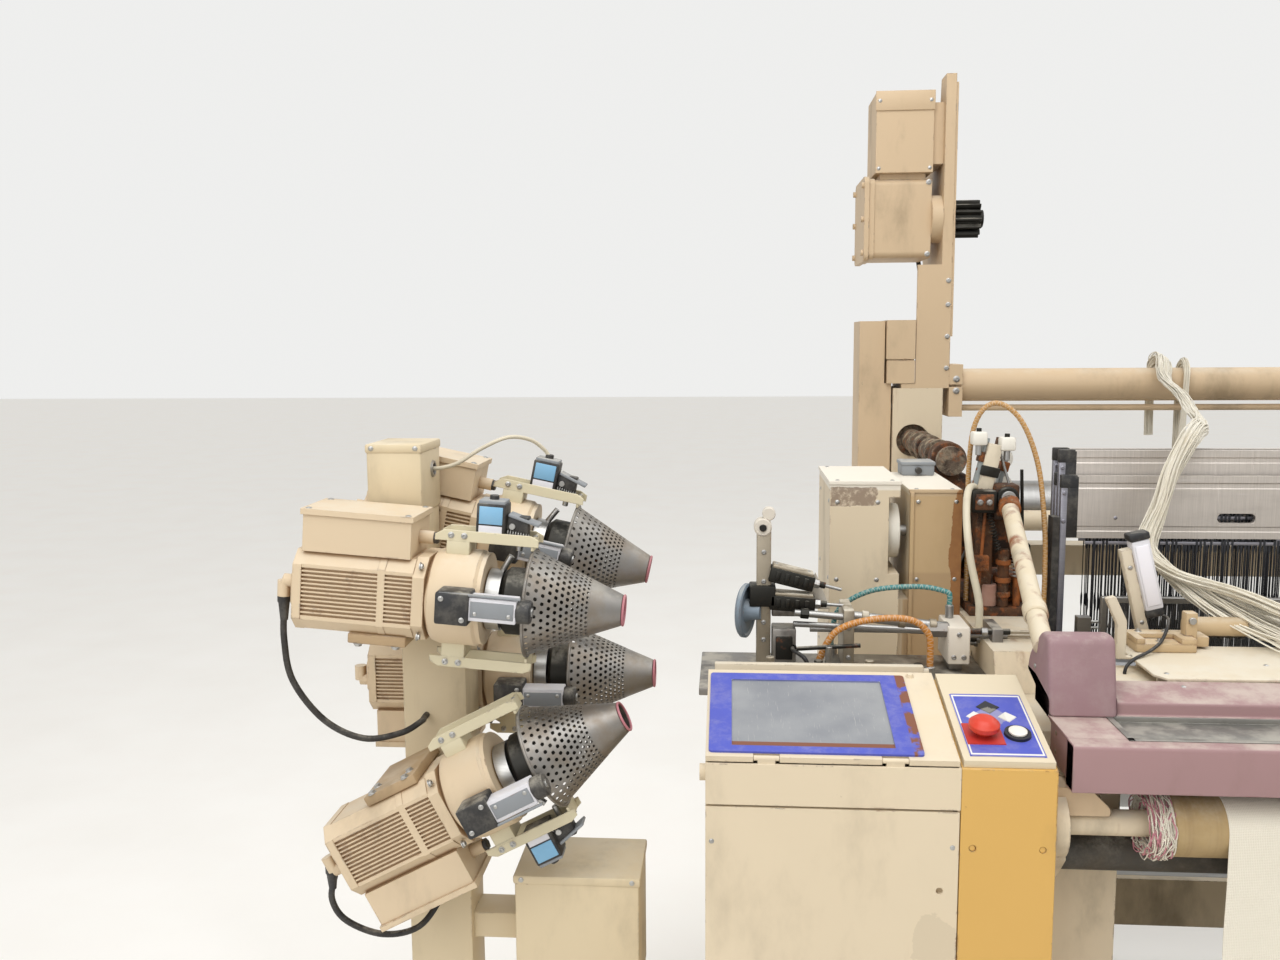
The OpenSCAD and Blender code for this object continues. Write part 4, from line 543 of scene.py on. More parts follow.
def ragged_spot(f, centre, half, ragged=0.5, scale=30.0, square=False):
    """1 within half sizes of a centre and 0 outside, with a torn edge from noise.

    Formula: the place is divided by the half sizes, and its distance from the centre plus noise is compared with 1.
    """
    local = f.at([1 / h for h in half], shift=[-c / h for c, h in zip(centre, half)])
    if square:
        x, y, z = f.split(local)
        reach = abs(x) | abs(y) | abs(z)
    else:
        reach = f.node("ShaderNodeVectorMath", {"operation": "LENGTH"}, [local], out="Value")
    return (reach + (f.noise(scale, 5, 0.65) - 0.5) * ragged).step(1.0, 0.94)


def peeled_box(f, body, rough, height):
    """Drive boxes: whiter lids, a torn patch down to primer on the first front and a rusty right edge on the second."""
    lid = f.z.step(1.282, 1.286) * f.x.step(-1.300, -1.303) | f.z.step(1.270, 1.274) * f.x.step(-1.303, -1.300)
    body = f.mix(lid * 0.8, body, rgb("#ebe6da"))
    tan = f.x.step(-1.303, -1.3) * f.y.step(-0.02, -0.034)
    body = f.mix(tan * 0.8, body, rgb("#b99a6c"))
    patch = ragged_spot(f, (-1.396, -0.055, 1.272), (0.042, 0.03, 0.0175), 0.45, 70, True)
    specks = f.noise(95, 4, 0.7)
    body = f.mix(patch * 0.9, body, f.mix(specks.step(0.45, 0.68), rgb("#8b7866"), rgb("#cdbda6")))
    low = f.x.step(-1.300, -1.297) * f.z.step(1.135, 1.128) * f.y.step(-0.02, -0.034)
    body = f.mix(low * 0.35, body, rgb("#9c7f62"))
    edge = ragged_spot(f, (-1.203, -0.04, 1.02), (0.020, 0.03, 0.26), 1.3, 20) | ragged_spot(
        f, (-1.205, -0.04, 1.21), (0.014, 0.03, 0.07), 1.4, 26)
    body = f.mix(edge * 0.9, body, f.mix(f.noise(60), rgb("#7a4a26"), rgb("#a8743e")))
    return body, rough + 0.2 * edge, height - patch * 1.5 + edge * f.noise(90)


def scuffed_cabinet(f, body, rough, height):
    """Console: brown handling soil by the door edge and knob, and scuffs along the foot."""
    hand = ragged_spot(f, (-1.352, -0.677, 0.775), (0.03, 0.02, 0.04), 1.1, 40)
    foot = f.z.step(0.26, 0.07) * f.noise(12, 5).step(0.4, 0.7)
    body = f.mix((hand * 0.12) | (foot * 0.6), body, GRIME)
    return body, rough + 0.1 * foot, height


# Front edge of the console's sloping top, and the way it rises
CONSOLE_SLOPE = (0, -0.677, 1.02), (0, np.cos(np.radians(13.5)), np.sin(np.radians(13.5)))


def display_film(f, body, rough, height):
    """Blue frame round a grey, finely scratched window with its brown lower strip."""
    along, up = f.x + 1.644, f.along(*CONSOLE_SLOPE)
    window = (along.step(0.0295, 0.0305) & along.step(0.2415, 0.2405)) & (
        up.step(0.0215, 0.0225) & up.step(0.1885, 0.1875))
    scratch = f.noise(60, 5, 0.7, f.at((9, 0.7, 0.7), turn=(0, 0, 0.5))).step(0.6, 0.68) * 0.5
    glass = f.mix(f.noise(9, 4).step(0.3, 0.7), rgb("#7d8086"), rgb("#989a9c"))
    glass = f.mix(scratch, glass, rgb("#b9b8b4"))
    strip = window & up.step(0.034, 0.033)
    peel = along.step(0.262, 0.264) & f.noise(40, 4).step(0.42, 0.5)
    body = f.mix(window, body, glass)
    body = f.mix(strip | peel, body, rgb("#7b4a34"))
    return body, rough - 0.12 * window, height - 0.6 * window


def switch_film(f, body, rough, height):
    """Switch panel: a cream rim, a thin white line inside it, and the blue field worn pale round the buttons."""
    across, up = f.x + 1.263, f.along(*CONSOLE_SLOPE)
    reach = (abs(across - 0.0005) * (1 / 0.0485)) | (abs(up - 0.087) * (1 / 0.0755))
    body = f.mix(reach.step(0.985, 1.0), body, rgb("#d8cbb0"))
    line = reach.step(0.9, 0.92) & reach.step(0.965, 0.945)
    body = f.mix(line, body, rgb("#e6e3da"))
    for at_x, at_up, half, shade in ((-0.002, 0.128, 0.0159, "#1c1e26"), (0.019, 0.104, 0.0124, "#e4e1da"),
                                     (-0.023, 0.104, 0.0124, "#e4e1da")):
        body = f.mix((abs(across - at_x) + abs(up - at_up)).step(half + 0.0004, half), body, rgb(shade))
    body = f.mix((abs(across + 0.021) | abs(up - 0.062)).step(0.0248, 0.0244), body, rgb("#b8322a"))
    away_x, away_up = across - 0.023, up - 0.062
    away = (away_x * away_x + away_up * away_up).root()
    body = f.mix(away.step(0.0176, 0.0172), body, rgb("#1f2026"))
    mark = ragged_spot(f, (-1.265, -0.575, 1.05), (0.02, 0.02, 0.02), 0.8, 70)
    body = f.mix(mark * 0.35, body, rgb("#c9c4b6"))
    return body, rough, height


def ribbed_motor(f, body, rough, height):
    """Feeder motors: painted shade, tan-brown, in the grooves between the cooling ribs and in the corners, from an
    occlusion mask.
    """
    # Painted shade: the occlusion mask turns the grooves and inner corners tan-brown in the base colour.
    groove_shade = f.node("ShaderNodeAmbientOcclusion", {"samples": 6}, {"Distance": 0.012}, out="AO").step(0.78, 0.35)
    body = f.mix(groove_shade * 0.8, body, rgb("#9c7850"))
    return body, rough + 0.15 * groove_shade, height


def greasy_roller(f, body, rough, height):
    """Take-up roll: fine emery grain with darker rings where the yarn ran."""
    rings = f.noise(60, 3, 0.6, f.at((1, 0.02, 0.02))).step(0.5, 0.72)
    body = f.mix(rings * 0.4, body, rgb("#7d6547"))
    return body, rough, height + f.noise(900, 2)


def dark_ends(f, body, rough, height):
    """Detector box: black moulded ends and a black foot on a white housing."""
    tilt = np.radians(-17)
    up = f.along((-0.968, -0.3, 1.09), (np.sin(tilt), 0, np.cos(tilt)))
    ends = up.step(0.119, 0.1205) | up.step(0.0215, 0.02)
    body = f.mix(ends, body, rgb("#17181a"))
    return body, rough, height


# The finishes by kind; the colour is a code or the name of one of the user's colours
PAINTS = """wear rust dust grime gloss
    cream_frame    cream   0.55 0.4 0.65 0.6
    cream_console  cream   0.25 0.06 0.25 0.25
    cream_drive    cream   0.4 0.12 0.35 0.4
    cream_plate    #d9cdb6 0.5 0.25 0.7 0.5
    cream_stand    #d8c7a6 0.35 0.1 0.35 0.35
    beige_steel    beige   0.35 0.12 0.4 0.4
    beige_motor    beige   0.3 0.05 0.5 0.45
    beige_feeder   #d8c3a4 0.3 0.05 0.5 0.4
    grey_steel     #8f9696 0.4 0.1 0.5 0.35
    mauve_cover    mauve   0.45 0.12 0.45 0.3 0.36
    ochre_column   ochre   0.35 0.12 0.2 0.25
    white_wheel    #e2ded2 0.3 0.08 0.3 0.5
    detector_white #e2e0ea 0.1 0.0 0.25 0.15 0.38
    tube_cream     #d6c8ac 0.9 0.95 0.4 0.8
    temple_tan     #c3aa84 0.7 0.6 0.5 0.5
    saddle_tan     #b59a76 0.5 0.2 0.4 0.5
    disc_grey      #7f8d9a 0.4 0.15 0.4 0.4
    grey_case      #8b8f93 0.3 0.05 0.4 0.35
    dusty_white    #dcd4c6 0.5 0.35 0.6 0.6"""
PLASTICS = """rough dust mottle soft
    mauve_pad      #96787c 0.5 0.4
    case_white     #dcdbe0 0.42 0.35 0.15
    case_face      #eceaf0 0.36 0.15 0.06
    case_blue      #7fb2d4 0.4 0.2 0.1
    waste_pink     #d08c98 0.85 0.2 0.2
    roller_pink    #a67f70 0.6 0.5 0.5
    display        blue    0.34 0.15 0.1 0.0006
    switches       blue    0.34 0.12 0.1 0.0006
    stop_red       #d2381f 0.3 0.12 0.12
    start_white    #e9e5da 0.35 0.1 0.15
    black_plastic  #1d1e21 0.42 0.5 0.2
    black_rubber   #252422 0.62 0.4 0.3
    roll_rubber    #3b3833 0.6 0.35 0.5
    emery          #b0976c 0.75 0.3 0.4"""
IRONS = """lint dark
    rust_orange    #9a5a2a 0.5 0.15
    rusty_unit     #5a3a22
    linty_shaft    #6e5f50 0.8 0.2
    rusty_temple   #67452a 0.35"""
EXTRAS = {"cream_console": scuffed_cabinet, "cream_drive": peeled_box, "beige_feeder": ribbed_motor,
          "detector_white": dark_ends, "display": display_film, "switches": switch_film, "emery": greasy_roller}

# The finish of each solid that keeps its shape
DRESS = {
    "cream_frame": "left_side_frame right_side_frame cross_girders back_rest_arms",
    "cream_console": "console_cabinet console_door console_lid", "cream_drive": "shed_drive_box",
    "cream_plate": "cloth_plate", "cream_stand": "feeder_stand", "beige_steel": "top_pipe upper_stands rear_boxes",
    "beige_motor": "main_motor letoff_motors", "beige_feeder": "feeder_housings", "mauve_cover": "front_cover",
    "mauve_pad": "cover_end_pads", "tray_steel": "cover_tray", "rusty_temple": "temples", "display": "display_panel",
    "ochre_column": "switch_column", "switches": "switch_panel", "stop_red": "estop_button",
    "start_white": "start_button", "white_wheel": "handwheel", "rusty_unit": "selvedge_unit",
    "linty_shaft": "leno_drive", "cast_iron": "motor_pulley", "black_rubber": "drive_belt",
    "turned_steel": "main_shaft back_rest_roll warp_beam", "aluminium": "sley",
    "bright_steel": "reed main_nozzles feeder_winder_1 feeder_winder_2 feeder_winder_3 feeder_winder_4",
    "nozzle_metal": "tandem_nozzles", "black_plastic": "heald_guides feeder_solenoids",
    "dark_iron": "levelling_feet letoff_pinion upper_pinion feeder_drums", "emery": "take_up_roll",
    "roll_rubber": "press_roll", "detector_white": "detector_box"}


class LOOM_OT_finishes(bpy.types.Operator):
    """Builds the finishes of the loom and puts them on the solids that keep their shape."""

    bl_idname = "loom.finishes"
    bl_label = "Finishes"

    def execute(self, context):
        own = context.scene.loom_colours
        for make, table in ((paint, PAINTS), (plastic, PLASTICS), (rusty_iron, IRONS)):
            for name, colour, *values in map(str.split, table.splitlines()[1:]):
                more = {"extra": EXTRAS[name]} if name in EXTRAS else {}
                colour = rgb(colour) if colour[0] == "#" else list(getattr(own, colour))
                make(name, colour, *map(float, values), **more)
        even = (1, 1, 1)
        for name, colour, *values in (
            ("dusty_metal", "#aaa08f", 0.48, 0.3, 0.4, even, 0.85),
            ("cast_iron", "#5b5a58", 0.5, 0.35, 0.5, even, 0.35),
            ("dark_iron", "#3a3936", 0.45, 0.3, 0.6, even, 0.4),
            ("bright_steel", "#b6b5b2", 0.28, 0.12, 0.25),
            ("turned_steel", "#a9a8a6", 0.3, 0.15, 0.35, (40, 1, 1)),
            ("aluminium", "#b9bbbe", 0.34, 0.0, 0.35, (1, 30, 1)),
            ("tray_steel", "#96948f", 0.42, 0.1, 0.15, even, 0.3),
            ("nozzle_metal", "#8f8b86", 0.42, 0.25, 0.55, even, 0.5),
        ):
            metal(name, rgb(colour), *values)
        rounding = smooth_by_angle()
        for finish, nodes in DRESS.items():
            for thing in map(NODES.get, nodes.split()):
                for place in thing.material_slots:
                    grey = finish == "beige_steel" and is_grey(place.material)
                    place.material = FINISH["grey_steel" if grey else finish]
                thing.modifiers.new("Rounding", "NODES").node_group = rounding
        return {"FINISHED"}


def is_grey(material):
    """Whether the solid's own colour has no hue, as the panel beside the rear column."""
    c = material.node_tree.nodes["Principled BSDF"].inputs["Base Color"].default_value
    return abs(c[0] - c[2]) < 0.08


def smooth_by_angle():
    """A modifier tree that joins doubled points and shades smooth wherever two faces meet at less than 30 degrees."""
    tree = bpy.data.node_groups.new("Rounding", "GeometryNodeTree")
    for way in ("INPUT", "OUTPUT"):
        tree.interface.new_socket("Geometry", in_out=way, socket_type="NodeSocketGeometry")
    g = Nodes(tree)
    joined = g.node("GeometryNodeMergeByDistance", {}, {0: g.node("NodeGroupInput"), "Distance": 0.00002})
    smooth = g.node("GeometryNodeSetShadeSmooth", {"domain": "FACE"}, {0: joined, "Shade Smooth": True})
    sharp = g.node("FunctionNodeCompare", {"operation": "GREATER_THAN"},
                   [g.node("GeometryNodeInputMeshEdgeAngle"), np.radians(30)])
    g.end("NodeGroupOutput", g.node("GeometryNodeSetShadeSmooth", {"domain": "EDGE"},
                                    {0: smooth, "Selection": sharp, "Shade Smooth": False}))
    return tree


# Stage, camera and cords -------------------------------------------------------------------

PALE_GREY = (0.86, 0.86, 0.85, 1)  # what the camera sees round the loom


class LOOM_OT_stage(bpy.types.Operator):
    """Puts up a pale floor, soft overhead light and the camera of the loom's front left view."""

    bl_idname = "loom.stage"
    bl_label = "Stage"

    def execute(self, context):
        scene = context.scene
        scene.view_settings.view_transform = "Standard"

        def put_up(name, data):
            thing = bpy.data.objects.new(name, data)
            scene.collection.objects.link(thing)
            return thing

        scene.camera = camera = put_up("camera", bpy.data.cameras.new("camera"))
        camera.data.lens, camera.data.sensor_width, camera.data.clip_start = 31.5, 36.0, 0.05
        pitch, yaw, roll = np.radians((7.0, 4.6, 0.4))
        ahead = Vector((-np.sin(yaw) * np.cos(pitch), np.cos(yaw) * np.cos(pitch), -np.sin(pitch)))
        right = Vector((np.cos(yaw), np.sin(yaw), 0.0))
        down = ahead.cross(right)
        turned_right = np.cos(roll) * right + np.sin(roll) * down
        turned_down = -np.sin(roll) * right + np.cos(roll) * down
        camera.matrix_world = Matrix.Translation((-1.618, -2.070, 1.550)) @ Matrix(
            [turned_right, -turned_down, -ahead]).transposed().to_4x4()

        x, y = np.meshgrid(np.linspace(-30, 30, 13), np.linspace(-30, 30, 13), indexing="ij")
        mesh = bpy.data.meshes.new("floor")
        points = np.stack([x, y, np.full_like(x, -0.0005)], -1).reshape(-1, 3)
        mesh.from_pydata(points.tolist(), [], quads(13, 13)[:, ::-1].tolist())
        f = Finish("pale_floor")
        shade = f.mix(f.noise(3, 5), rgb("#e9e7e3"), rgb("#dedbd5"))
        mesh.materials.append(f.feed(Emission_Color=f.mix(f.seen(), (0, 0, 0, 1), (0.22, 0.22, 0.215, 1)),
                                     Emission_Strength=1.0, Base_Color=shade, Roughness=0.75))
        put_up("floor", mesh)

        scene.world = world = bpy.data.worlds.new("studio")
        world.use_nodes = True
        w = Nodes(world.node_tree)
        light = w.node("ShaderNodeBackground", {}, {"Color": (1, 0.985, 0.96, 1), "Strength": 0.62})
        seen = w.node("ShaderNodeBackground", {}, {"Color": PALE_GREY, "Strength": 1.0})
        w.end("ShaderNodeOutputWorld", w.node("ShaderNodeMixShader", {}, [w.seen(), light, seen]))

        for name, place, aim, size, power in (
            ("overhead", (-1.4, -1.8, 4.4), (-1.0, 0.0, 0.9), 3.4, 105.0),
            ("front", (-3.6, -3.8, 2.6), (-1.4, -0.4, 0.9), 2.2, 42.0),
            ("far", (2.4, 1.8, 4.2), (0.2, 0.3, 0.9), 3.0, 60.0),
        ):
            lamp = put_up(name, bpy.data.lights.new(name, "AREA"))
            lamp.data.size, lamp.data.energy, lamp.location = size, power, place
            lamp.rotation_euler = (Vector(aim) - Vector(place)).to_track_quat("-Z", "Y").to_euler()
        return {"FINISHED"}


def free_hose(name, route, diameter, finish, slot, node, steps=8, sides=14, body="loom"):
    """A hose or cable along the smooth line through its route."""
    path, diameter = spline(np.asarray(route, float) / 1000, steps), diameter / 1000
    thing = tube(Heap(), path, diameter / 2, sides).piece(name, finish, body, slot, 60, [node] if node else ())
    return thing


class LOOM_OT_hoses(bpy.types.Operator):
    """Lays the air hoses, the sensor lead and the two motor cables on their routes."""

    bl_idname = "loom.hoses"
    bl_label = "Hoses and cables"

    def execute(self, context):
        def stripes(f, body, rough, height):
            """Braid of a reinforced hose: two crossing spirals in the hose's own round-and-along measure."""
            u, v = f.uv()
            once_round, along = u * 6.2832, v * 700.0
            braid = (once_round + along).sine().step(0.72, 0.95) | (along - once_round).sine().step(0.72, 0.95)
            return f.mix(braid * 0.35, body, LINT), rough, height + 0.5 * braid

        plastic("hose_teal", rgb("#2f7f80"), 0.32, 0.25, 0.25, extra=stripes)
        plastic("hose_amber", rgb("#c07b23"), 0.28, 0.2, 0.3, extra=stripes)
        plastic("hose_tan", rgb("#b98a4a"), 0.35, 0.3, 0.3, extra=stripes)
        plastic("hose_pale", rgb("#d8cfb8"), 0.4, 0.3, 0.35)
        plastic("cable_black", rgb("#1b1b1d"), 0.45, 0.35, 0.2)
        for name, route, size, finish in (
            ("hose_teal", HOSE_TEAL, 9, "hose_teal"), ("hose_amber", HOSE_AMBER, 11, "hose_amber"),
            ("hose_loop", HOSE_LOOP, 9, "hose_tan"), ("hose_pale", HOSE_PALE, 13, "hose_pale"),
            ("lead_black", LEAD_BLACK, 7, "cable_black"),
        ):
            free_hose(name, route, size, finish, "hose_plastic", "air_hoses")
        for name, route in (("cable_near_top", CABLE_A), ("cable_near_low", CABLE_B)):
            free_hose(name, route, 9, "cable_black", "dark_plastic", "cables")
        return {"FINISHED"}


# Routes of the hoses and cables in millimetres, the same points as in the part's source
HOSE_TEAL = [[-1440, -150, 1010.3], [-1440, -150, 1022], [-1440, -150, 1040], [-1428, -152, 1090], [-1376, -160, 1124],
             [-1300, -176, 1136], [-1254, -186, 1130], [-1248, -188, 1122], [-1248, -188, 1115], [-1248, -188, 1108.3]]
HOSE_AMBER = [[-1470, -280, 1010.3], [-1470, -280, 1022], [-1470, -280, 1040], [-1444, -280, 1084], [-1390, -282, 1104],
              [-1330, -286, 1106], [-1300, -288, 1084], [-1296, -288, 1050], [-1296, -288, 1040], [-1296, -288, 1030.3]]
HOSE_LOOP = [[-1185, -16, 1076.3], [-1185, -16, 1120], [-1185, -16, 1170], [-1188, -24, 1330], [-1180, -40, 1410],
             [-1150, -52, 1440], [-1108, -58, 1410], [-1076, -60, 1330], [-1062, -64, 1220], [-1060, -68, 1140],
             [-1060, -68, 1095], [-1060, -68, 1056.3]]
HOSE_PALE = [[-1190, -150, 1060.3], [-1190, -150, 1080], [-1192, -150, 1110], [-1206, -140, 1180], [-1208, -110, 1250],
             [-1196, -70, 1290], [-1172, -42, 1286], [-1166, -40, 1272], [-1166, -40, 1260], [-1166, -40, 1250.3]]
LEAD_BLACK = [[-1512, -226.3, 1040], [-1512, -236, 1040], [-1510, -252, 1042], [-1496, -268, 1036], [-1490, -272, 1026],
              [-1490, -272, 1018], [-1490, -272, 1010.3]]
CABLE_A = [[-2224, -615, 1196], [-2226, -616, 1150], [-2218, -612, 1090], [-2180, -600, 1030], [-2130, -586, 1000],
           [-2084, -562, 1000], [-2060, -540, 1010], [-2060, -525, 1010], [-2060, -510.3, 1010]]
CABLE_B = [[-2172, -606, 806], [-2178, -606, 770], [-2160, -600, 735], [-2110, -592, 712], [-2062, -574, 716],
           [-2034, -545, 750], [-2034, -525, 750], [-2034, -510.3, 750]]


# Feeder cones --------------------------------------------------------------------------------

# Tip of each feeder's cone in metres, the slope of its axis in degrees, and the side of its terminal box
FEEDERS = [((-1.759, -0.585, 1.188), 4.5, 1), ((-1.741, -0.360, 1.199), 12.0, 1),
           ((-1.733, -0.360, 1.033), 0.0, -1), ((-1.760, -0.585, 1.040), -27.5, -1)]
CONE = {"length": 0.129, "nose": 0.0195, "mouth": 0.0725, "wall": 0.0013}


def feeder_basis(k):
    """Axes of a feeder as rows: along its axis to the tip, across, and up towards its terminal box."""
    slope, side = np.radians(FEEDERS[k][1]), FEEDERS[k][2]
    return np.array([[np.cos(slope), 0, -np.sin(slope)], [0, 1, 0], [side * np.sin(slope), 0, side * np.cos(slope)]])


def perforated_wall(heap, count, rows, start, end, slot=0):
    """A cone wall with holes in a slanting lattice, between two places along its slant.

    The slant is unrolled: each row is as long as its cells are wide there, so the cells stay square, and each row is
    turned by half a cell against the last. A cell has eight points on its rim and eight round its hole, and the
    outer and inner walls are joined through the holes.
    """
    slope = (CONE["mouth"] - CONE["nose"]) / CONE["length"]
    lean = np.sqrt(1 + slope**2)
    wide, narrow = (CONE["nose"] - slope * x for x in (start, end))
    radius = wide * (narrow / wide) ** (np.arange(2 * rows + 1) / (2 * rows))  # of lines and half lines

    def on_cone(r, turn, inward):
        r = np.broadcast_to(r, np.shape(turn))
        normal_x, normal_r = slope / lean, 1 / lean
        angle = 2 * np.pi * turn / count
        rr = r - inward * normal_r
        return np.stack([(CONE["nose"] - r) / slope - inward * normal_x, rr * np.cos(angle), rr * np.sin(angle)], -1)

    row, cell = np.meshgrid(np.arange(rows), np.arange(count), indexing="ij")
    rim = [(0, 0), (0, 0.5), (0, 1), (0.5, 1), (1, 1), (1, 0.5), (1, 0), (0.5, 0)]
    rim_r = np.stack([radius[(2 * (row + a)).astype(int)] for a, b in rim], -1)
    rim_t = np.stack([cell + b + (row + a) / 2 for a, b in rim], -1)
    middle_r, middle_t = radius[2 * row + 1][..., None], (cell + 0.5 + (row + 0.5) / 2)[..., None]
    way_u = (rim_r - middle_r) * lean / slope
    way_v = (rim_t - middle_t) * 2 * np.pi / count * middle_r
    reach = np.hypot(way_u, way_v)
    hole = np.minimum(0.0027, 0.3 * 2 * np.pi * middle_r / count)
    hole_r = middle_r + way_u / reach * hole * slope / lean
    hole_t = middle_t + way_v / reach * hole / (2 * np.pi / count * middle_r)
    layers = [on_cone(r, t, inward) for inward in (0, CONE["wall"]) for r, t in ((rim_r, rim_t), (hole_r, hole_t))]
    points = np.stack(layers, 2).reshape(-1, 3)  # for each cell: outer rim, outer hole, inner rim, inner hole, 8 each
    k, k2 = np.arange(8), (np.arange(8) + 1) % 8
    one = np.concatenate([np.stack([k, k2, 8 + k2, 8 + k], -1), np.stack([16 + k2, 16 + k, 24 + k, 24 + k2], -1),
                          np.stack([8 + k, 8 + k2, 24 + k2, 24 + k], -1)])
    faces = (one[None] + 32 * np.arange(rows * count)[:, None, None]).reshape(-1, 4)
    return heap.add(points, faces, slot=slot)


class LOOM_OT_cones(bpy.types.Operator):
    """Rolls the four perforated cones with their noses, rims and flat holding arms."""

    bl_idname = "loom.cones"
    bl_label = "Feeder cones"

    def execute(self, context):
        def stained(f, body, rough, height):
            """Brown haze of finish and lint over dull stainless sheet."""
            haze = f.noise(26, 5, 0.65).step(0.38, 0.7)
            return f.mix(haze * 0.5, body, rgb("#8a7a66")), rough + 0.15 * haze, height

        metal("cone_sheet", rgb("#8f8c88"), 0.36, 0.06, 0.3, (1, 1, 1), 0.3, extra=stained)
        plastic("pink_rim", rgb("#b8737c"), 0.45, 0.2, 0.3)
        paint("cream_arm", rgb("#d9cfb0"), 0.35, 0.1, 0.3, grime=0.5)
        sizes = context.scene.loom_sizes
        heap = Heap()
        slope = (CONE["mouth"] - CONE["nose"]) / CONE["length"]
        count, rows = sizes.hole_count, sizes.hole_rows
        end_x = -0.046
        narrow = CONE["nose"] - slope * end_x
        for k in range(4):
            heap.at(feeder_basis(k), FEEDERS[k][0])
            perforated_wall(heap, count, rows, -CONE["length"], end_x)
            t = CONE["wall"]
            nose = [(narrow, end_x - 0.0006), (CONE["nose"] + 0.002, -0.0045), (CONE["nose"], -0.003),
                    (CONE["nose"] - t, -0.003), (CONE["nose"] + 0.002 - t, -0.0055),
                    (narrow - t - 0.0003, end_x - 0.0006)]
            add_turned(heap, nose[::-1], (0, 0, 0), (1, 0, 0), 64, close=True)
            rim = [(CONE["nose"] + 0.0009 + 0.0016 * np.cos(a), -0.0018 + 0.0018 * np.sin(a))
                   for a in np.linspace(0, -2 * np.pi, 9)[:-1]]
            add_turned(heap, rim[::-1], (0, 0, 0), (1, 0, 0), 48, slot=1, close=True)
            mouth = [(CONE["mouth"] + 0.0008 + 0.0022 * np.cos(a), -CONE["length"] + 0.0022 * np.sin(a))
                     for a in np.linspace(0, -2 * np.pi, 9)[:-1]]
            add_turned(heap, mouth[::-1], (0, 0, 0), (1, 0, 0), 72, close=True)
            for s in (-1, 1):
                for y in (-0.022, 0.019):
                    strip = [(0.080, -0.262), (0.080, -0.121), (0.090, -0.121), (0.095, -0.132), (0.095, -0.250),
                             (0.088, -0.262)]
                    strip = strip if s > 0 else [(-z, x) for z, x in strip[::-1]]
                    plate(heap, strip[::-1], y, y + 0.003, 1, 0.0006, slot=2)
                slab(heap, (-0.246, -0.022, s * 0.060), (-0.214, 0.022, s * 0.082), 0.0015, slot=2)
                slab(heap, (-0.131, -0.021, s * 0.0745), (-0.127, 0.021, s * 0.092), 0.0008, slot=2)
                for x in (-0.240, -0.222):
                    screw(heap, (x, -0.022, s * 0.088), (0, -1, 0), 0.0042, kind="socket", slot=3)
                screw(heap, (-0.129, 0, s * 0.092), (0, 0, s), 0.003, kind="pan", slot=3)
        heap.piece("cones", ["cone_sheet", "pink_rim", "cream_arm", "bright_steel"], "loom", "bright_steel", 30,
                   ["feeder_cones"])
        return {"FINISHED"}


# Healds, reed and yarn -----------------------------------------------------------------------

FRAME_Y0, FRAME_PITCH, FRAME_T, RAIL, HEALD_GAP = -0.060, 0.018, 0.010, 0.111, 0.331
FRAME_Z0 = 1.312 - 2 * RAIL - HEALD_GAP
FRAME_X = 1.035
LIFT = 0.043


def rail_outline(part):
    """Cross-section of a heald frame rail as (across, up), with two rolled ridges; part picks a cut of it."""
    low, high = part
    front = [(0.0, 0.0), (0.0, 0.012), (0.0012, 0.0135), (0.0012, 0.0205), (0.0, 0.022), (0.0, 0.028), (0.0, 0.045),
             (0.0, 0.088), (0.0014, 0.090), (0.0014, 0.097), (0.0, 0.099), (0.0, RAIL)]
    ring = [(y, z) for y, z in front if low - 1e-9 <= z <= high + 1e-9]
    return np.array(ring + [(FRAME_T - y, z) for y, z in ring[::-1]])[::-1]


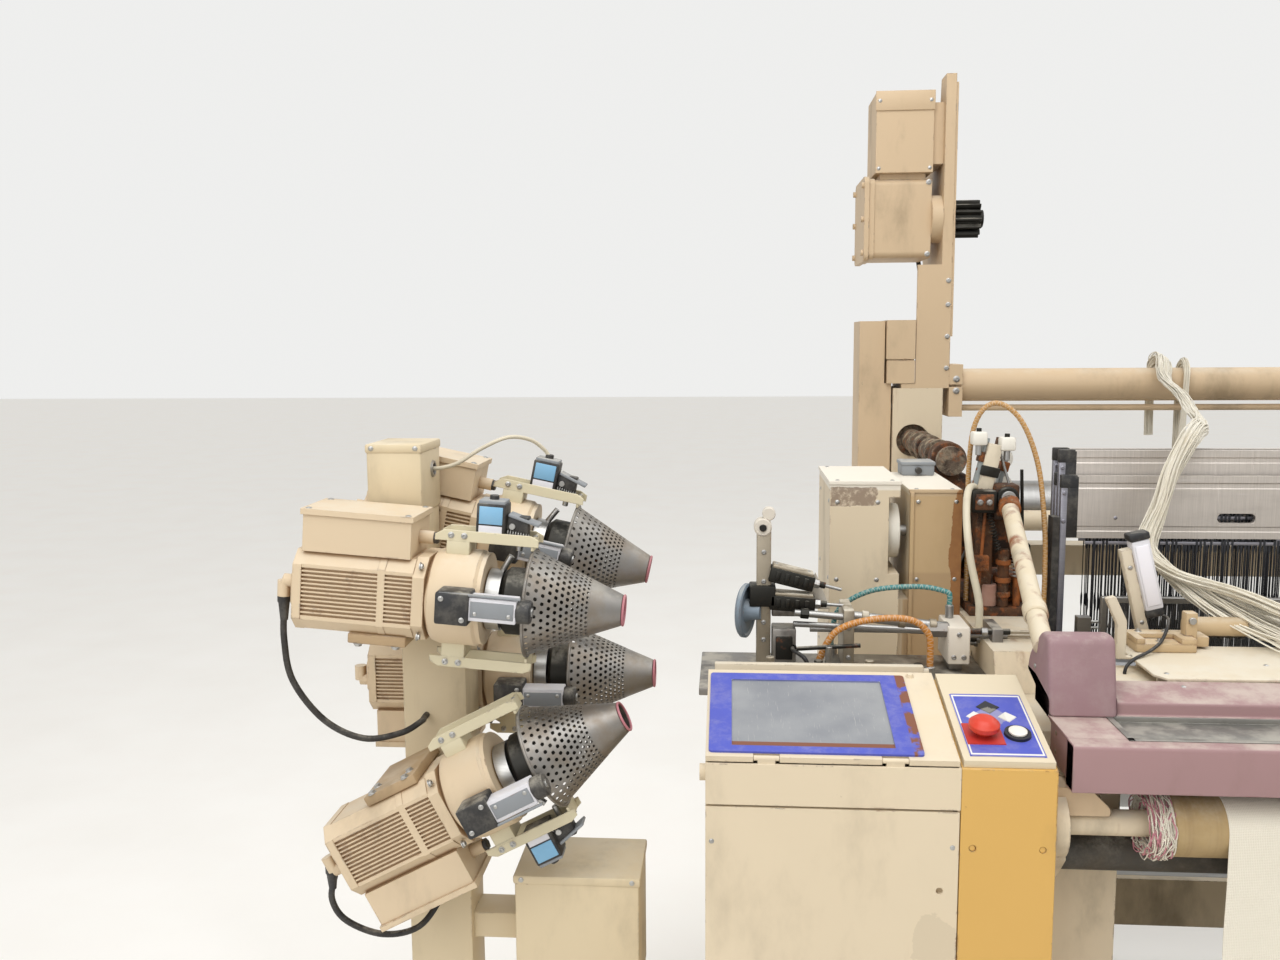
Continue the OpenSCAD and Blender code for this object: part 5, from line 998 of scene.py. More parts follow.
class LOOM_OT_heald_frames(bpy.types.Operator):
    """Builds the four heald frames: hollow rails with ridges and hand slots, stays, end caps, bars and healds."""

    bl_idname = "loom.heald_frames"
    bl_label = "Heald frames"

    def execute(self, context):
        def smudged(f, body, rough, height):
            """Grey finger smears and short scratches on anodised rails."""
            smear = f.noise(9, 5, 0.65, f.at((0.35, 1, 1.6))).step(0.45, 0.75)
            scratch = f.noise(30, 4, 0.6, f.at((0.3, 2, 6), (0, 0.35, 0))).step(0.68, 0.74)
            body = f.mix(smear * 0.3, body, rgb("#a09a94"))
            return f.mix(scratch * 0.5, body, rgb("#f0eff2")), rough + 0.12 * smear, height

        metal("rail", rgb("#d3ccc5"), 0.46, 0.0, 0.06, (40, 1, 1), 0.35, extra=smudged)
        metal("heald_steel", rgb("#4a4b50"), 0.35, 0.08, 0.4, (1, 1, 30), 0.1)
        metal("stay", rgb("#9b9aa2"), 0.4, 0.05, 0.3, (1, 1, 30), 0.3)
        count = context.scene.loom_sizes.healds
        slots = (-0.735, 0.735)
        for k in range(4):
            y0, z0 = FRAME_Y0 + k * FRAME_PITCH, FRAME_Z0 + (k % 2) * LIFT
            upper, top = z0 + RAIL + HEALD_GAP, z0 + 2 * RAIL + HEALD_GAP
            heap = Heap()
            for base in (z0, upper):
                edges = [-FRAME_X + 0.012, slots[0] - 0.032, slots[0] + 0.032, slots[1] - 0.032, slots[1] + 0.032,
                         FRAME_X - 0.012]
                for n, (a, b) in enumerate(zip(edges, edges[1:])):
                    for cut in ([(0, RAIL)] if n % 2 == 0 else [(0, 0.028), (0.045, RAIL)]):
                        plate(heap.at(origin=(0, y0, base)), rail_outline(cut), a, b, 0, 0.0004)
                quarter = np.radians(np.linspace(0, 90, 5))
                for x in slots:
                    for sx in (-1, 1):
                        for sz in (-1, 1):
                            r, cx, cz = 0.008, x + sx * 0.024, 0.0365 + sz * 0.0005
                            ring = [(cz + sz * (r + 0.0012), cx + sx * (r + 0.001))] + [
                                (cz + sz * r * np.sin(a), cx + sx * r * np.cos(a)) for a in quarter]
                            ring = ring if sx * sz > 0 else ring[::-1]
                            plate(heap, ring[::-1], 0.0004, FRAME_T - 0.0004, 1, 0.0)
                for x in np.arange(-0.94, 0.95, 0.235):
                    if abs(abs(x) - slots[1]) > 0.05:
                        screw(heap, (x, 0.0002, 0.0365), (0, -1, 0), 0.0032, kind="pan", slot=1)
            heap.at()
            for s in (-1, 1):
                for base in (z0, upper):
                    slab(heap, (s * (FRAME_X - 0.030), y0 - 0.0004, base + 0.001),
                         (s * (FRAME_X - 0.011), y0 + FRAME_T + 0.0004, base + RAIL - 0.001), 0.0012, slot=2)
                slab(heap, (s * (FRAME_X - 0.012), y0, z0 - 0.006), (s * FRAME_X, y0 + FRAME_T, top), 0.002, slot=1)
                for z in (z0 - 0.008, top - 0.022):
                    slab(heap, (s * (FRAME_X - 0.028), y0 - 0.0008, z),
                         (s * (FRAME_X + 0.0006), y0 + FRAME_T + 0.0008, z + 0.0235), 0.002, slot=2)
                for z in (z0 + 0.03, z0 + 0.08, upper + 0.03, upper + 0.08):
                    screw(heap, (s * (FRAME_X - 0.006), y0 + 0.0002, z), (0, -1, 0), 0.0036, kind="socket", slot=1)
            for z in (z0 + RAIL + 0.006, upper - 0.012):
                slab(heap, (-0.99, y0 + 0.0042, z), (0.99, y0 + 0.0058, z + 0.006), 0.0006, slot=1)
                for x in np.arange(-0.88, 0.89, 0.22):
                    a, b = sorted((z + 0.003, z0 + RAIL - 0.002 if z < z0 + 0.2 else upper + 0.002))
                    slab(heap, (x - 0.004, y0 + 0.0038, a), (x + 0.004, y0 + 0.0062, b), 0.0006, slot=1)
            length = HEALD_GAP - 0.006
            half = [(0.0019, 0.0), (0.0019, 0.018), (0.0008, 0.024), (0.0008, 0.148), (0.0018, 0.155), (0.0018, 0.168),
                    (0.0008, 0.175), (0.0008, length - 0.024), (0.0019, length - 0.018), (0.0019, length)]
            ring = np.array([(z, w) for w, z in half] + [(z, -w) for w, z in half[::-1]])
            blade = Heap()
            plate(blade, ring[::-1], -0.00025, 0.00025, 1, 0.0)
            rng = np.random.default_rng(k + 3)
            x = np.linspace(-0.975, 0.975, count) + rng.normal(0, 0.0008, count)
            gone = rng.random(count) < 0.03
            y = y0 + 0.005 + rng.choice([-0.0014, 0.0014], count)
            places = np.stack([x, y, np.full(count, z0 + RAIL + 0.003)], -1)
            copies(heap, np.concatenate(blade.points), blade.faces, places[~gone], slot=3)
            heap.piece("heald_frame_%d_dressed" % (k + 1), ["rail", "stay", "black_plastic", "heald_steel"],
                       "heald_%d" % (k + 1), "bright_aluminium", 30, ["heald_frame_%d" % (k + 1)])
        return {"FINISHED"}


class LOOM_OT_reed(bpy.types.Operator):
    """Fills the reed with fine profiled dents between two bars with bound edges."""

    bl_idname = "loom.reed"
    bl_label = "Reed"

    def execute(self, context):
        metal("dent_steel", rgb("#86888c"), 0.3, 0.05, 0.35, (1, 1, 30), 0.1)
        plastic("reed_binding", rgb("#6d6a63"), 0.6, 0.5, 0.3)
        count = context.scene.loom_sizes.dents
        y, low, high = -0.128, 0.984, 1.112
        heap = Heap()
        slab(heap, (-0.98, y - 0.003, low), (0.98, y + 0.003, low + 0.026), 0.0008, slot=1)
        slab(heap, (-0.98, y - 0.005, high - 0.011), (0.98, y + 0.005, high), 0.0018, slot=1)
        slab(heap, (-0.98, y - 0.0045, low + 0.020), (0.98, y + 0.0045, low + 0.026), 0.001, slot=2)
        for s in (-1, 1):
            slab(heap, (s * 0.972, y - 0.0048, low + 0.002), (s * 0.981, y + 0.0048, high - 0.001), 0.001, slot=1)
        a, b, f, r = low + 0.024, high - 0.009, y - 0.0028, y + 0.0022
        notch = [(a, f), (1.046, f), (1.048, y - 0.0002), (1.056, y - 0.0002), (1.058, f), (b, f), (b, r), (a, r)]
        blade = Heap()
        plate(blade, [(p[1], p[0]) for p in notch], -0.0003, 0.0003, 0, 0.0)
        rng = np.random.default_rng(9)
        x = np.linspace(-0.969, 0.969, count)
        bent = rng.normal(0, 0.00012, count)
        copies(heap, np.concatenate(blade.points), blade.faces, np.stack([x + bent, bent, 0 * x], -1))
        heap.piece("reed_dents", ["dent_steel", "bright_steel", "reed_binding"], "sley_body", "bright_steel", 0,
                   ["reed"])
        return {"FINISHED"}


HANK_ROUTE = [[-520, 967, 1300], [-520, 967, 1435], [-519, 950, 1480], [-516, 905, 1500], [-526, 860, 1484],
              [-560, 760, 1452], [-620, 500, 1424], [-700, 230, 1402], [-770, 20, 1396], [-822, -78, 1388],
              [-866, -112, 1330], [-892, -130, 1260], [-915, -150, 1200], [-890, -200, 1168], [-820, -270, 1152],
              [-760, -330, 1132], [-690, -370, 1112], [-600, -395, 1110]]
HANK_LOOP = [[-450, 962, 1240], [-452, 961.5, 1435], [-456, 945, 1475], [-462, 905, 1491.5], [-470, 865, 1475],
             [-476, 848.5, 1435], [-480, 848, 1330], [-482, 848, 1290]]


def bundle(heap, path, count, width, thickness, yarn, rng, spread=None, sides=5):
    """Yarns side by side along a path, each with its own slow drift in the bundle's flat cross-section.

    A yarn's place is its home in the section plus two slow sines of the distance run; spread widens the section
    from point to point.
    """
    run = run_of(path)
    _, side, up = frames_along(path)
    spread = np.ones(len(path)) if spread is None else spread
    for _ in range(count):
        home = rng.uniform(-1, 1, 2)
        home = home / max(1.0, np.linalg.norm(home)) * rng.uniform(0.5, 1)
        phase, rate = rng.uniform(0, 2 * np.pi, 4), rng.uniform(4, 14, 2)
        a = (home[0] + 0.22 * np.sin(run * rate[0] + phase[0]) + 0.05 * np.sin(run * 60 + phase[2])) * width * spread
        b = (home[1] + 0.22 * np.sin(run * rate[1] + phase[1]) + 0.05 * np.sin(run * 50 + phase[3])) * thickness
        tube(heap, path + side * a[:, None] + up * b[:, None], yarn / 2, sides)


class LOOM_OT_hank(bpy.types.Operator):
    """Hangs the hank of warp yarn over the pipe and the heald frames and fans its ends over the plate."""

    bl_idname = "loom.hank"
    bl_label = "Warp hank"

    def execute(self, context):
        f = Finish("raw_yarn")
        soil = f.noise(12, 5, 0.6)
        colour = f.mix(soil.step(0.4, 0.8) * 0.45, list(context.scene.loom_colours.yarn), rgb("#cfbf9c"))
        u, v = f.uv()
        ply = (v * 2600 + u * 6.2832).sine()
        f.feed(Base_Color=colour, Roughness=0.8, Normal=f.bump(ply, 0.0003), Sheen_Weight=0.3, Sheen_Roughness=0.4)
        sizes = context.scene.loom_sizes
        rng = np.random.default_rng(21)
        heap = Heap()
        route = spline(np.asarray(HANK_ROUTE) / 1000, 6)
        along = np.linspace(0, 1, len(route))
        bundle(heap, route, int(sizes.strands * 0.62), 0.0215, 0.0085, sizes.yarn, rng, 1 + 0.2 * np.sin(along * 9))
        loop = spline(np.asarray(HANK_LOOP) / 1000, 6)
        bundle(heap, loop, int(sizes.strands * 0.34), 0.011, 0.008, sizes.yarn, rng)
        for n in range(int(sizes.strands * 0.5)):
            # A loose end leaves the hank behind the detector box and falls in a wave over the plate to the right
            start = route[-22 - int(rng.integers(0, 10))] + rng.normal(0, 0.004, 3)
            reach, side = rng.uniform(0.16, 0.36), rng.uniform(-0.055, 0.075)
            t = np.linspace(0, 1, 40)
            x = start[0] + reach * t**1.15
            y = start[1] + (-0.36 + side - start[1]) * np.minimum(1, 1.25 * t)
            y += 0.012 * np.sin(t * rng.uniform(4, 11)) * t
            land = 1.0805 + rng.uniform(0, 0.022) * (1 - 0.5 * t)
            z = land + (start[2] - land) * (1 - np.minimum(1, t * 1.35)) ** 1.6
            z += 0.007 * t * np.sin(t * rng.uniform(6, 16)) ** 2
            tube(heap, np.stack([x, y, z], -1), sizes.yarn / 2, 5)
        heap.piece("hank_yarns", "raw_yarn", "loom", "white_cloth", 0, ["warp_hank"])
        return {"FINISHED"}


class LOOM_OT_cloth(bpy.types.Operator):
    """Lays the cloth round the take-up roll, lets it hang to the cloth beam and winds it there."""

    bl_idname = "loom.cloth"
    bl_label = "Cloth"

    def execute(self, context):
        yarn_cloth("cloth", list(context.scene.loom_colours.yarn), 1500.0)
        thick = context.scene.loom_sizes.cloth
        roll, radius, half = np.array([-0.620, 0.920]), 0.0413 + thick / 2, 0.985
        turn = np.radians(np.linspace(-28, 180, 40))
        bend = roll + (radius * np.stack([np.cos(turn), np.sin(turn)], -1))
        fall = np.linspace(0.920, 0.352, 60)[1:]
        line = np.concatenate([bend, np.stack([np.full(59, roll[0] - radius), fall], -1)])
        run = run_of(line)
        free = np.clip((0.90 - line[:, 1]) / 0.3, 0, 1) * (np.arange(len(line)) > 40)
        x = np.linspace(-half, half, 220)
        grid = np.zeros((len(line), len(x), 3))
        grid[..., 0], grid[..., 1:] = x, line[:, None]
        fold = 0.0016 * np.sin(x * 31 + 2 * np.sin(x * 5)) + 0.0012 * np.sin(x * 73 + 1.3)
        grid[..., 1] += free[:, None] * (fold[None] - 0.0004)
        grid[..., 0] += (free * 0.002 * np.sin(run * 40))[:, None] * (np.abs(x) / half) ** 8
        normal = unit(np.cross(np.gradient(grid, axis=0), np.gradient(grid, axis=1)))
        top, under = grid + normal * thick / 2, grid - normal * thick / 2
        uv = np.stack(np.broadcast_arrays(x[None], run[:, None]), -1)
        n, m = len(line), len(x)
        a = quads(n, m)
        edge = np.concatenate([np.arange(m), np.arange(1, n) * m + m - 1, (n - 1) * m + np.arange(m - 2, -1, -1),
                               np.arange(n - 2, 0, -1) * m])
        rim = np.stack([edge, np.roll(edge, -1), np.roll(edge, -1) + n * m, edge + n * m], -1)
        faces = np.concatenate([a, a[:, ::-1] + n * m, rim[:, ::-1]])
        cloth = Heap().add(np.concatenate([top.reshape(-1, 3), under.reshape(-1, 3)]), faces,
                           np.concatenate([uv.reshape(-1, 2)] * 2)).piece("cloth", "cloth", "loom", "white_cloth", 60,
                                                                          ["cloth_web"])

        heap = Heap()
        centre = np.array([-0.566, 0.330])
        angle = np.linspace(0, 2 * np.pi, 72, endpoint=False)
        x = np.linspace(-0.9895, 0.9895, 130)
        swell = 0.0943 + 0.0004 * np.sin(x * 47) + 0.0003 * np.sin(x * 131)
        body = np.zeros((len(x), 72, 3))
        body[..., 0] = x[:, None]
        body[..., 1] = centre[0] + swell[:, None] * np.cos(angle)
        body[..., 2] = centre[1] + swell[:, None] * np.sin(angle)
        uv = np.stack(np.broadcast_arrays(x[:, None], angle[None] * 0.095), -1)
        heap.add(body.reshape(-1, 3), quads(len(x), 72, close_columns=True)[:, ::-1], uv.reshape(-1, 2))
        rng = np.random.default_rng(4)
        for s in (-1, 1):
            # Ends of the winding: rings of cloth edges that stand out by a fraction of a millimetre
            radii = np.linspace(0.0943, 0.038, 26)
            out = s * (0.9895 + 0.0012 * rng.uniform(-1, 1, 26) * (np.arange(26) > 0))
            face = np.zeros((26, 72, 3))
            face[..., 0] = out[:, None]
            face[..., 1] = centre[0] + radii[:, None] * np.cos(angle)
            face[..., 2] = centre[1] + radii[:, None] * np.sin(angle)
            f = quads(26, 72, close_columns=True)
            heap.add(face.reshape(-1, 3), f[:, ::-1] if s > 0 else f)
            rod(heap, (s * 0.985, *centre), (s * 1.0730, *centre), 0.038, 40, 0.001, slot=1)
            rod(heap, (s * 1.072, *centre), (s * 1.098, *centre), 0.015, 28, 0.0008, slot=1)
        heap.piece("wound_cloth", ["cloth", "turned_steel"], "cloth_roll", "white_cloth", 40, ["cloth_beam"])
        return {"FINISHED"}


# Pieces built from measures in millimetres -------------------------------------------------------


def block(heap, x, y, z, slot=0, radius=1.5, axis=2):
    """A box with round edges between three pairs of limits in millimetres."""
    low, high = np.array([sorted(pair) for pair in (x, y, z)]).T / 1000
    return slab(heap, low, high, radius / 1000, axis, slot)


def pin(heap, a, b, diameter, slot=0, sides=20):
    """A round bar between two points in millimetres."""
    return rod(heap, np.array(a) / 1000, np.array(b) / 1000, diameter / 2000, sides, slot=slot)


def tilted(heap, at, about_y=0.0, about_x=0.0):
    """The next surfaces start from a point in millimetres, turned about X and then about Y."""
    turn = Matrix.Rotation(np.radians(about_y), 3, "Y") @ Matrix.Rotation(np.radians(about_x), 3, "X")
    return heap.at(np.array(turn).T, np.array(at) / 1000)


def bent(points, radius=2.0, steps=4):
    """An outline with a bend at each corner: the quadratic curve with the corner as its control point.

    It leaves one side and joins the next at a distance of radius from the corner, or near the middle of a short side.
    """
    ring = np.asarray(points, float)
    reach = np.broadcast_to(radius, len(ring))[:, None]
    ends = []
    for step in (1, -1):
        way = np.roll(ring, step, 0) - ring
        ends.append(ring + np.minimum(reach, 0.45 * np.linalg.norm(way, axis=1, keepdims=True)) * unit(way))
    t = np.linspace(0, 1, steps)[None, :, None]
    curve = (1 - t) ** 2 * ends[0][:, None] + 2 * t * (1 - t) * ring[:, None] + t**2 * ends[1][:, None]
    return curve.reshape(-1, 2)


def moulded(heap, outline, low, high, axis=0, radius=1.0, slot=0, steps=4):
    """An outline in millimetres, counter-clockwise, drawn along an axis; its ends go in along a quarter circle."""
    ring, radius = np.asarray(outline, float) / 1000, radius / 1000
    inward = outward(ring) * radius
    ends = [(ring - inward * (1 - np.sin(bow)), radius * (1 - np.cos(bow))) for bow in np.linspace(0, np.pi / 2, steps)]
    return drawn(heap, ends, low / 1000, high / 1000, axis, slot)


def spring(heap, a, b, radius, wire, turns, slot=0):
    """A coil of wire from a to b in millimetres: a circle that moves along the line as it goes round."""
    a, b = np.array(a, float) / 1000, np.array(b, float) / 1000
    t = np.linspace(0, 1, turns * 12)
    basis = axes_of(b - a)
    turn = 2 * np.pi * turns * t
    circle = np.cos(turn)[:, None] * basis[0] + np.sin(turn)[:, None] * basis[1]
    return tube(heap, a + (b - a) * t[:, None] + radius / 1000 * circle, wire / 2000, 6, slot)


def bolts(heap, places, out, size=4.0, kind="hex", slot=0):
    """The same fastener at several places in millimetres."""
    for place in places:
        screw(heap, np.array(place, float) / 1000, out, size / 1000, kind=kind, slot=slot)
    return heap


class LOOM_OT_cover(bpy.types.Operator):
    """Folds the front cover with its deck and ledge, sets the shallow tray in it and a moulded hood on each end."""

    bl_idname = "loom.cover"
    bl_label = "Front cover"

    def execute(self, context):
        front, fold, back, end, wall = -677, -556, -494, 1186, 3
        base, deck, ledge = 982, 1044, 1075
        tray_x, near, far = 1105, -649, -562
        lip = [(front, base), (front + 28, base), (front + 28, base + wall), (front + wall, base + wall),
               (front + wall, deck - wall), (near, deck - wall), (near, deck), (front, deck)]
        shelf = [(far, deck - wall), (fold + wall, deck - wall), (fold + wall, ledge - 16), (back - wall, ledge - 3.5),
                 (back - wall, ledge - 30), (back, ledge - 30), (back, ledge), (fold, ledge - 13), (fold, deck),
                 (far, deck)]
        heap = Heap()
        moulded(heap, bent(lip, [1, 1, 0.8, 1, 3, 0.8, 0.8, 6]), -end, end, 0, 0.8)
        moulded(heap, bent(shelf, [0.8, 1, 2, 2, 0.8, 0.8, 4, 4, 3, 0.8]), -end, end, 0, 0.8)
        for s in (-1, 1):
            heap.at(np.diag([s, 1, 1]))
            block(heap, (tray_x, end - 1), (near, far), (deck - wall, deck), radius=0.4)
            moulded(heap, [(front + 2, base + 2), (fold + 1, base + 2), (fold + 1, deck - 2), (front + 2, deck - 2)],
                    end - 9, end - 6)
            moulded(heap, [(-554, 986), (-520, 986), (-520, 1000), (-500, 1000), (-500, 1067), (-554, 1057)], 1083,
                    1101,
                    slot=1)
            moulded(heap, [(fold - 2, 1030), (back - 4, 1046), (back - 4, ledge - 5), (fold - 2, ledge - 17)],
                    end - 9, end - 6)
            bolts(heap, [(end - 6.2, y, z) for y in (-655, -580) for z in (1000, 1026)], (1, 0, 0), 3.4, "pan", 2)
        heap.at()
        bolts(heap, [(x, -510, ledge - 3.6) for x in np.arange(-990, 991, 330)], (0, -0.2, 1), 3.2, "pan", 2)
        heap.piece("cover_folded", ["mauve_cover", "cream_frame", "bright_steel"], "loom", "mauve_paint", 40,
                   ["front_cover"])

        heap, x0, y0, y1, floor = Heap(), tray_x - 0.4, near + 0.4, far - 0.4, deck - 8
        block(heap, (-x0, x0), (y0, y1), (floor, floor + 1.5), radius=0.5)
        for y in ((y0, y0 + 1.6), (y1 - 1.6, y1)):
            block(heap, (-x0, x0), y, (floor, deck + 1), radius=0.5)
        block(heap, (-x0 - 7, x0 + 7), (y0 - 8, y0 + 1), (deck, deck + 1.3), radius=0.5)
        for s in (-1, 1):
            block(heap, (s * (x0 - 1.6), s * x0), (y0, y1), (floor, deck + 1), radius=0.5)
            block(heap, (s * (x0 - 1), s * (x0 + 7)), (y0 - 8, y1), (deck, deck + 1.3), radius=0.5)
        for x in (-368, 368):
            block(heap, (x - 1, x + 1), (y0 + 1, y1 - 1), (floor + 1, floor + 2.2), radius=0.3)
        heap.piece("cover_tray_sheet", "tray_steel", "loom", "bright_steel", 40, ["cover_tray"])

        heap = Heap()
        side = [(-568, deck + 0.3), (-556.4, deck + 0.3), (-556.4, ledge - 12.6), (-494, ledge + 0.4),
                (-447, ledge + 0.4),
                (-455, 1104), (-512, 1150), (-548, 1150)]
        for s in (-1, 1):
            heap.at(np.diag([s, 1, 1]))
            moulded(heap, bent(side, [3, 1, 3, 3, 4, 14, 12, 12]), 1096, 1186, 0, 7, steps=6)
            bolts(heap, [(1186.4, -490, 1092)], (1, 0, 0), 3.6, "pan", 1)
        heap.piece("cover_hoods", ["mauve_pad", "bright_steel"], "loom", "mauve_plastic", 50, ["cover_end_pads"])
        return {"FINISHED"}


class LOOM_OT_breast(bpy.types.Operator):
    """Lays the cloth plate with its bent guard strips, and puts the temples and the weft detector on it."""

    bl_idname = "loom.breast"
    bl_label = "Plate, temples and detector"

    def execute(self, context):
        top, front, back, half = 1078, -493.4, -319, 1018
        heap = Heap()
        outline = [(12 - half, front), (half - 12, front), (half, front + 19), (half, back), (-half, back),
                   (-half, front + 19)]
        moulded(heap, bent(outline, 2), top - 4, top, 2, 1)
        block(heap, (12 - half, half - 12), (front, front + 3), (1050, top - 4), radius=0.8)
        for y in (-464, -382):
            block(heap, (10 - half, half - 10), (y, y + 5), (1060, top - 4), radius=0.8)
        guard = [(-22, -4), (-22, 48), (-40, 88), (-26, 92), (-8, 54), (-8, 0), (6, 0), (6, -4)]
        for s in (-1, 1):
            heap.at(np.diag([s, 1, 1]))
            moulded(heap, bent([(top + z, half - x) for x, z in guard[::-1]], 3), -386, -374, 1, 1)
            bolts(heap, [(half - 20, -470, top), (half - 20, -340, top)], (0, 0, 1), 3.4, "pan", 1)
        heap.at()
        bolts(heap, [(x, -421, top) for x in np.arange(-840, 841, 240)], (0, 0, 1), 3.4, "pan", 1)
        heap.piece("plate_sheet", ["cream_plate", "bright_steel"], "loom", "cream_paint", 40, ["cloth_plate"])

        heap, axis, roll = Heap(), (-290, top + 22), (-290, top + 16)
        arc = np.radians(np.linspace(-35, 215, 26))
        shell = [(axis[0] + 17 * np.cos(a), axis[1] + 17 * np.sin(a)) for a in arc]
        shell += [(axis[0] + 12.6 * np.cos(a), axis[1] + 12.6 * np.sin(a)) for a in arc[::-1]]
        for s in (-1, 1):
            heap.at(np.diag([s, 1, 1]))
            block(heap, (913, 1003), (-362, -304), (top, top + 14), radius=2.5)
            block(heap, (913, 1003), (-330, -304), (top + 12, top + 22), radius=2.5)
            for x in ((913, 937), (989, 1003)):
                block(heap, x, (-362, -328), (top + 12, top + 22), radius=2.5)
            block(heap, (907, 925), (-345, -325), (top, top + 58), radius=2.5)
            block(heap, (887, 914), (-340, -322), (top + 4, top + 20), radius=2)
            block(heap, (887, 903), (-324, -298), (top + 8, top + 20), radius=2)
            moulded(heap, shell, 815, 905, 0, 0.6)
            pin(heap, (916, -349, top + 46), (916, -321, top + 46), 11, 1)
            bolts(heap, [(963, -346, top + 14), (945, -317, top + 22), (985, -317, top + 22)], (0, 0, 1), 5, "socket",
                  1)
            for k in range(11):
                pin(heap, (816 + 8 * k, *roll), (823.2 + 8 * k, *roll), 22 - 3 * (k % 2), 2, 28)
            pin(heap, (812, *roll), (903, *roll), 11, 1)
        heap.piece("temple_blocks", ["temple_tan", "bright_steel", "roll_rubber"], "loom", "rusty_iron", 40,
                   ["temples"])

        heap = tilted(Heap(), (-956, -277, top), -14)
        block(heap, (-14, 3.5), (-8, 8), (6, 150), 1, 2)
        block(heap, (3, 31), (-14, 12), (47, 160), 0, 2.5)
        block(heap, (1, 33), (-15, 13), (160, 172), 2, 3)
        block(heap, (2, 30), (-13, 11), (34, 48), 2, 3)
        block(heap, (7, 27), (-15.2, -13), (54, 152), 3, 0.6)
        bolts(heap, [(-5, -8, 30), (-5, -8, 120)], (0, -1, 0), 3.2, "pan", 4)
        heap.at()
        block(heap, (-982, -930), (-297, -257), (top, top + 4), 2, 1)
        block(heap, (-974, -948), (-291, -263), (top + 3, top + 12), 1, 2)
        bolts(heap, [(-978, -277, top + 4), (-936, -277, top + 4)], (0, 0, 1), 3.6, "hex", 4)
        heap.piece("detector", ["case_white", "cream_plate", "black_plastic", "case_face", "bright_steel"], "loom",
                   "white_plastic", 40, ["detector_box"])
        free_hose("detector_cable", [[-938, -291, 1118], [-938, -304, 1119], [-942, -322, 1118], [-952, -342, 1108],
                                     [-968, -362, 1094], [-990, -378, 1084], [-1014, -398, 1080.5], [-1030, -410, 1074],
                                     [-1036, -414, 1064], [-1036, -414, 1050]], 5, "cable_black", "dark_plastic", None)
        return {"FINISHED"}


class LOOM_OT_rolls(bpy.types.Operator):
    """Turns the take-up roll with its bare sleeves, and winds the ring of waste yarn that caught on its end."""

    bl_idname = "loom.rolls"
    bl_label = "Take-up roll"

    def execute(self, context):
        axis, heap = (-620, 920), Heap()
        pin(heap, (-1052, *axis), (1052, *axis), 82, 0, 64)
        for s in (-1, 1):
            pin(heap, (s * 1051, *axis), (s * 1061, *axis), 64, 1, 48)
            pin(heap, (s * 1060, *axis), (s * 1180, *axis), 34, 1, 36)
            pin(heap, (s * 1179, *axis), (s * 1198, *axis), 30, 2, 32)
        rng = np.random.default_rng(12)
        turn = np.linspace(0, 2.06 * np.pi, 40)
        for k in range(130):
            reach = rng.uniform(31, 44) + rng.uniform(1, 3.5) * np.sin(turn * rng.integers(2, 9) + rng.uniform(0, 6))
            x = -1065 + rng.normal(0, 6) + rng.uniform(1, 6) * np.sin(turn * rng.integers(1, 8) + rng.uniform(0, 6))
            reach, x = reach / 1000, x / 1000
            start = rng.uniform(0, 6.3)
            reach[0], reach[-1] = 0.033, 0.033
            path = np.stack([x + 0 * turn, axis[0] / 1000 + reach * np.cos(turn + start),
                             axis[1] / 1000 + reach * np.sin(turn + start)], -1)
            tube(heap, path, 0.0009, 4, 3 + (k % 4 < 1))
        heap.piece("take_up_dressed", ["emery", "cream_frame", "turned_steel", "raw_yarn", "waste_pink"], "take_up",
                   "cast_iron", 40, ["take_up_roll"])
        return {"FINISHED"}


class LOOM_OT_drive(bpy.types.Operator):
    """Builds the handwheel with its spokes and adds the screws, seams and the small case of the drive boxes."""

    bl_idname = "loom.drive"
    bl_label = "Drive boxes"

    def execute(self, context):
        axis, heap = np.array([14, 1201]) / 1000, Heap()
        rim = [(0.0405, -0.0115), (0.049, -0.0115), (0.0505, -0.009), (0.0505, 0.009), (0.049, 0.0115),
               (0.0405, 0.0115),
               (0.0395, 0.009), (0.0395, -0.009)]
        add_turned(heap, rim, (-1.3205, *axis), (-1.30, *axis), 64, close=True)
        pin(heap, (-1329, 14, 1201), (-1310, 14, 1201), 44, 0, 40)
        for k in range(6):
            turn = np.radians(60 * k)
            way = np.array([0, np.cos(turn), np.sin(turn)])
            heap.at(np.stack([[1, 0, 0], [0, -np.sin(turn), np.cos(turn)], way]), (-1.3195, *axis))
            block(heap, (-4, 4), (-6, 6), (18, 41), 0, 2.5)
        heap.at()
        pin(heap, (-1380, 14, 1201), (-1254.5, 14, 1201), 20, 1, 28)
        heap.piece("handwheel_spoked", ["white_wheel", "turned_steel"], "handwheel_body", "white_plastic", 40,
                   ["handwheel"])

        heap = Heap()
        for z in (800, 960, 1120, 1262):
            bolts(heap, [(-1424, -50, z), (-1346 if not 1120 <= z <= 1262 else -1352, -50, z)], (0, -1, 0), 4, "pan")
            bolts(heap, [(-1437, -30, z), (-1437, 150, z)], (-1, 0, 0), 4, "pan")
            bolts(heap, [(-1279, -42, z), (-1211, -38, z)], (0, -1, 0), 3.6, "pan")
        for x, y, z in ((-1437, -36, 1300), (-1325, -36, 1300), (-1437, 182, 1300), (-1280, -24, 1283),
                        (-1216, -24, 1283)):
            bolts(heap, [(x + (14 if x == -1437 else 0), y, z)], (0, 0, 1), 4, "pan")
        block(heap, (-1276, -1212), (180, 238), (1283, 1308), 1, 3)
        block(heap, (-1278, -1210), (178, 240), (1303, 1311), 1, 2.5)
        bolts(heap, [(x, y, 1311) for x in (-1270, -1218) for y in (186, 232)], (0, 0, 1), 3, "pan")
        pin(heap, (-1244, 170, 1294), (-1244, 182, 1294), 13, 2)
        heap.piece("drive_fittings", ["bright_steel", "grey_case", "black_plastic"], "loom", "grey_paint", 40)
        return {"FINISHED"}


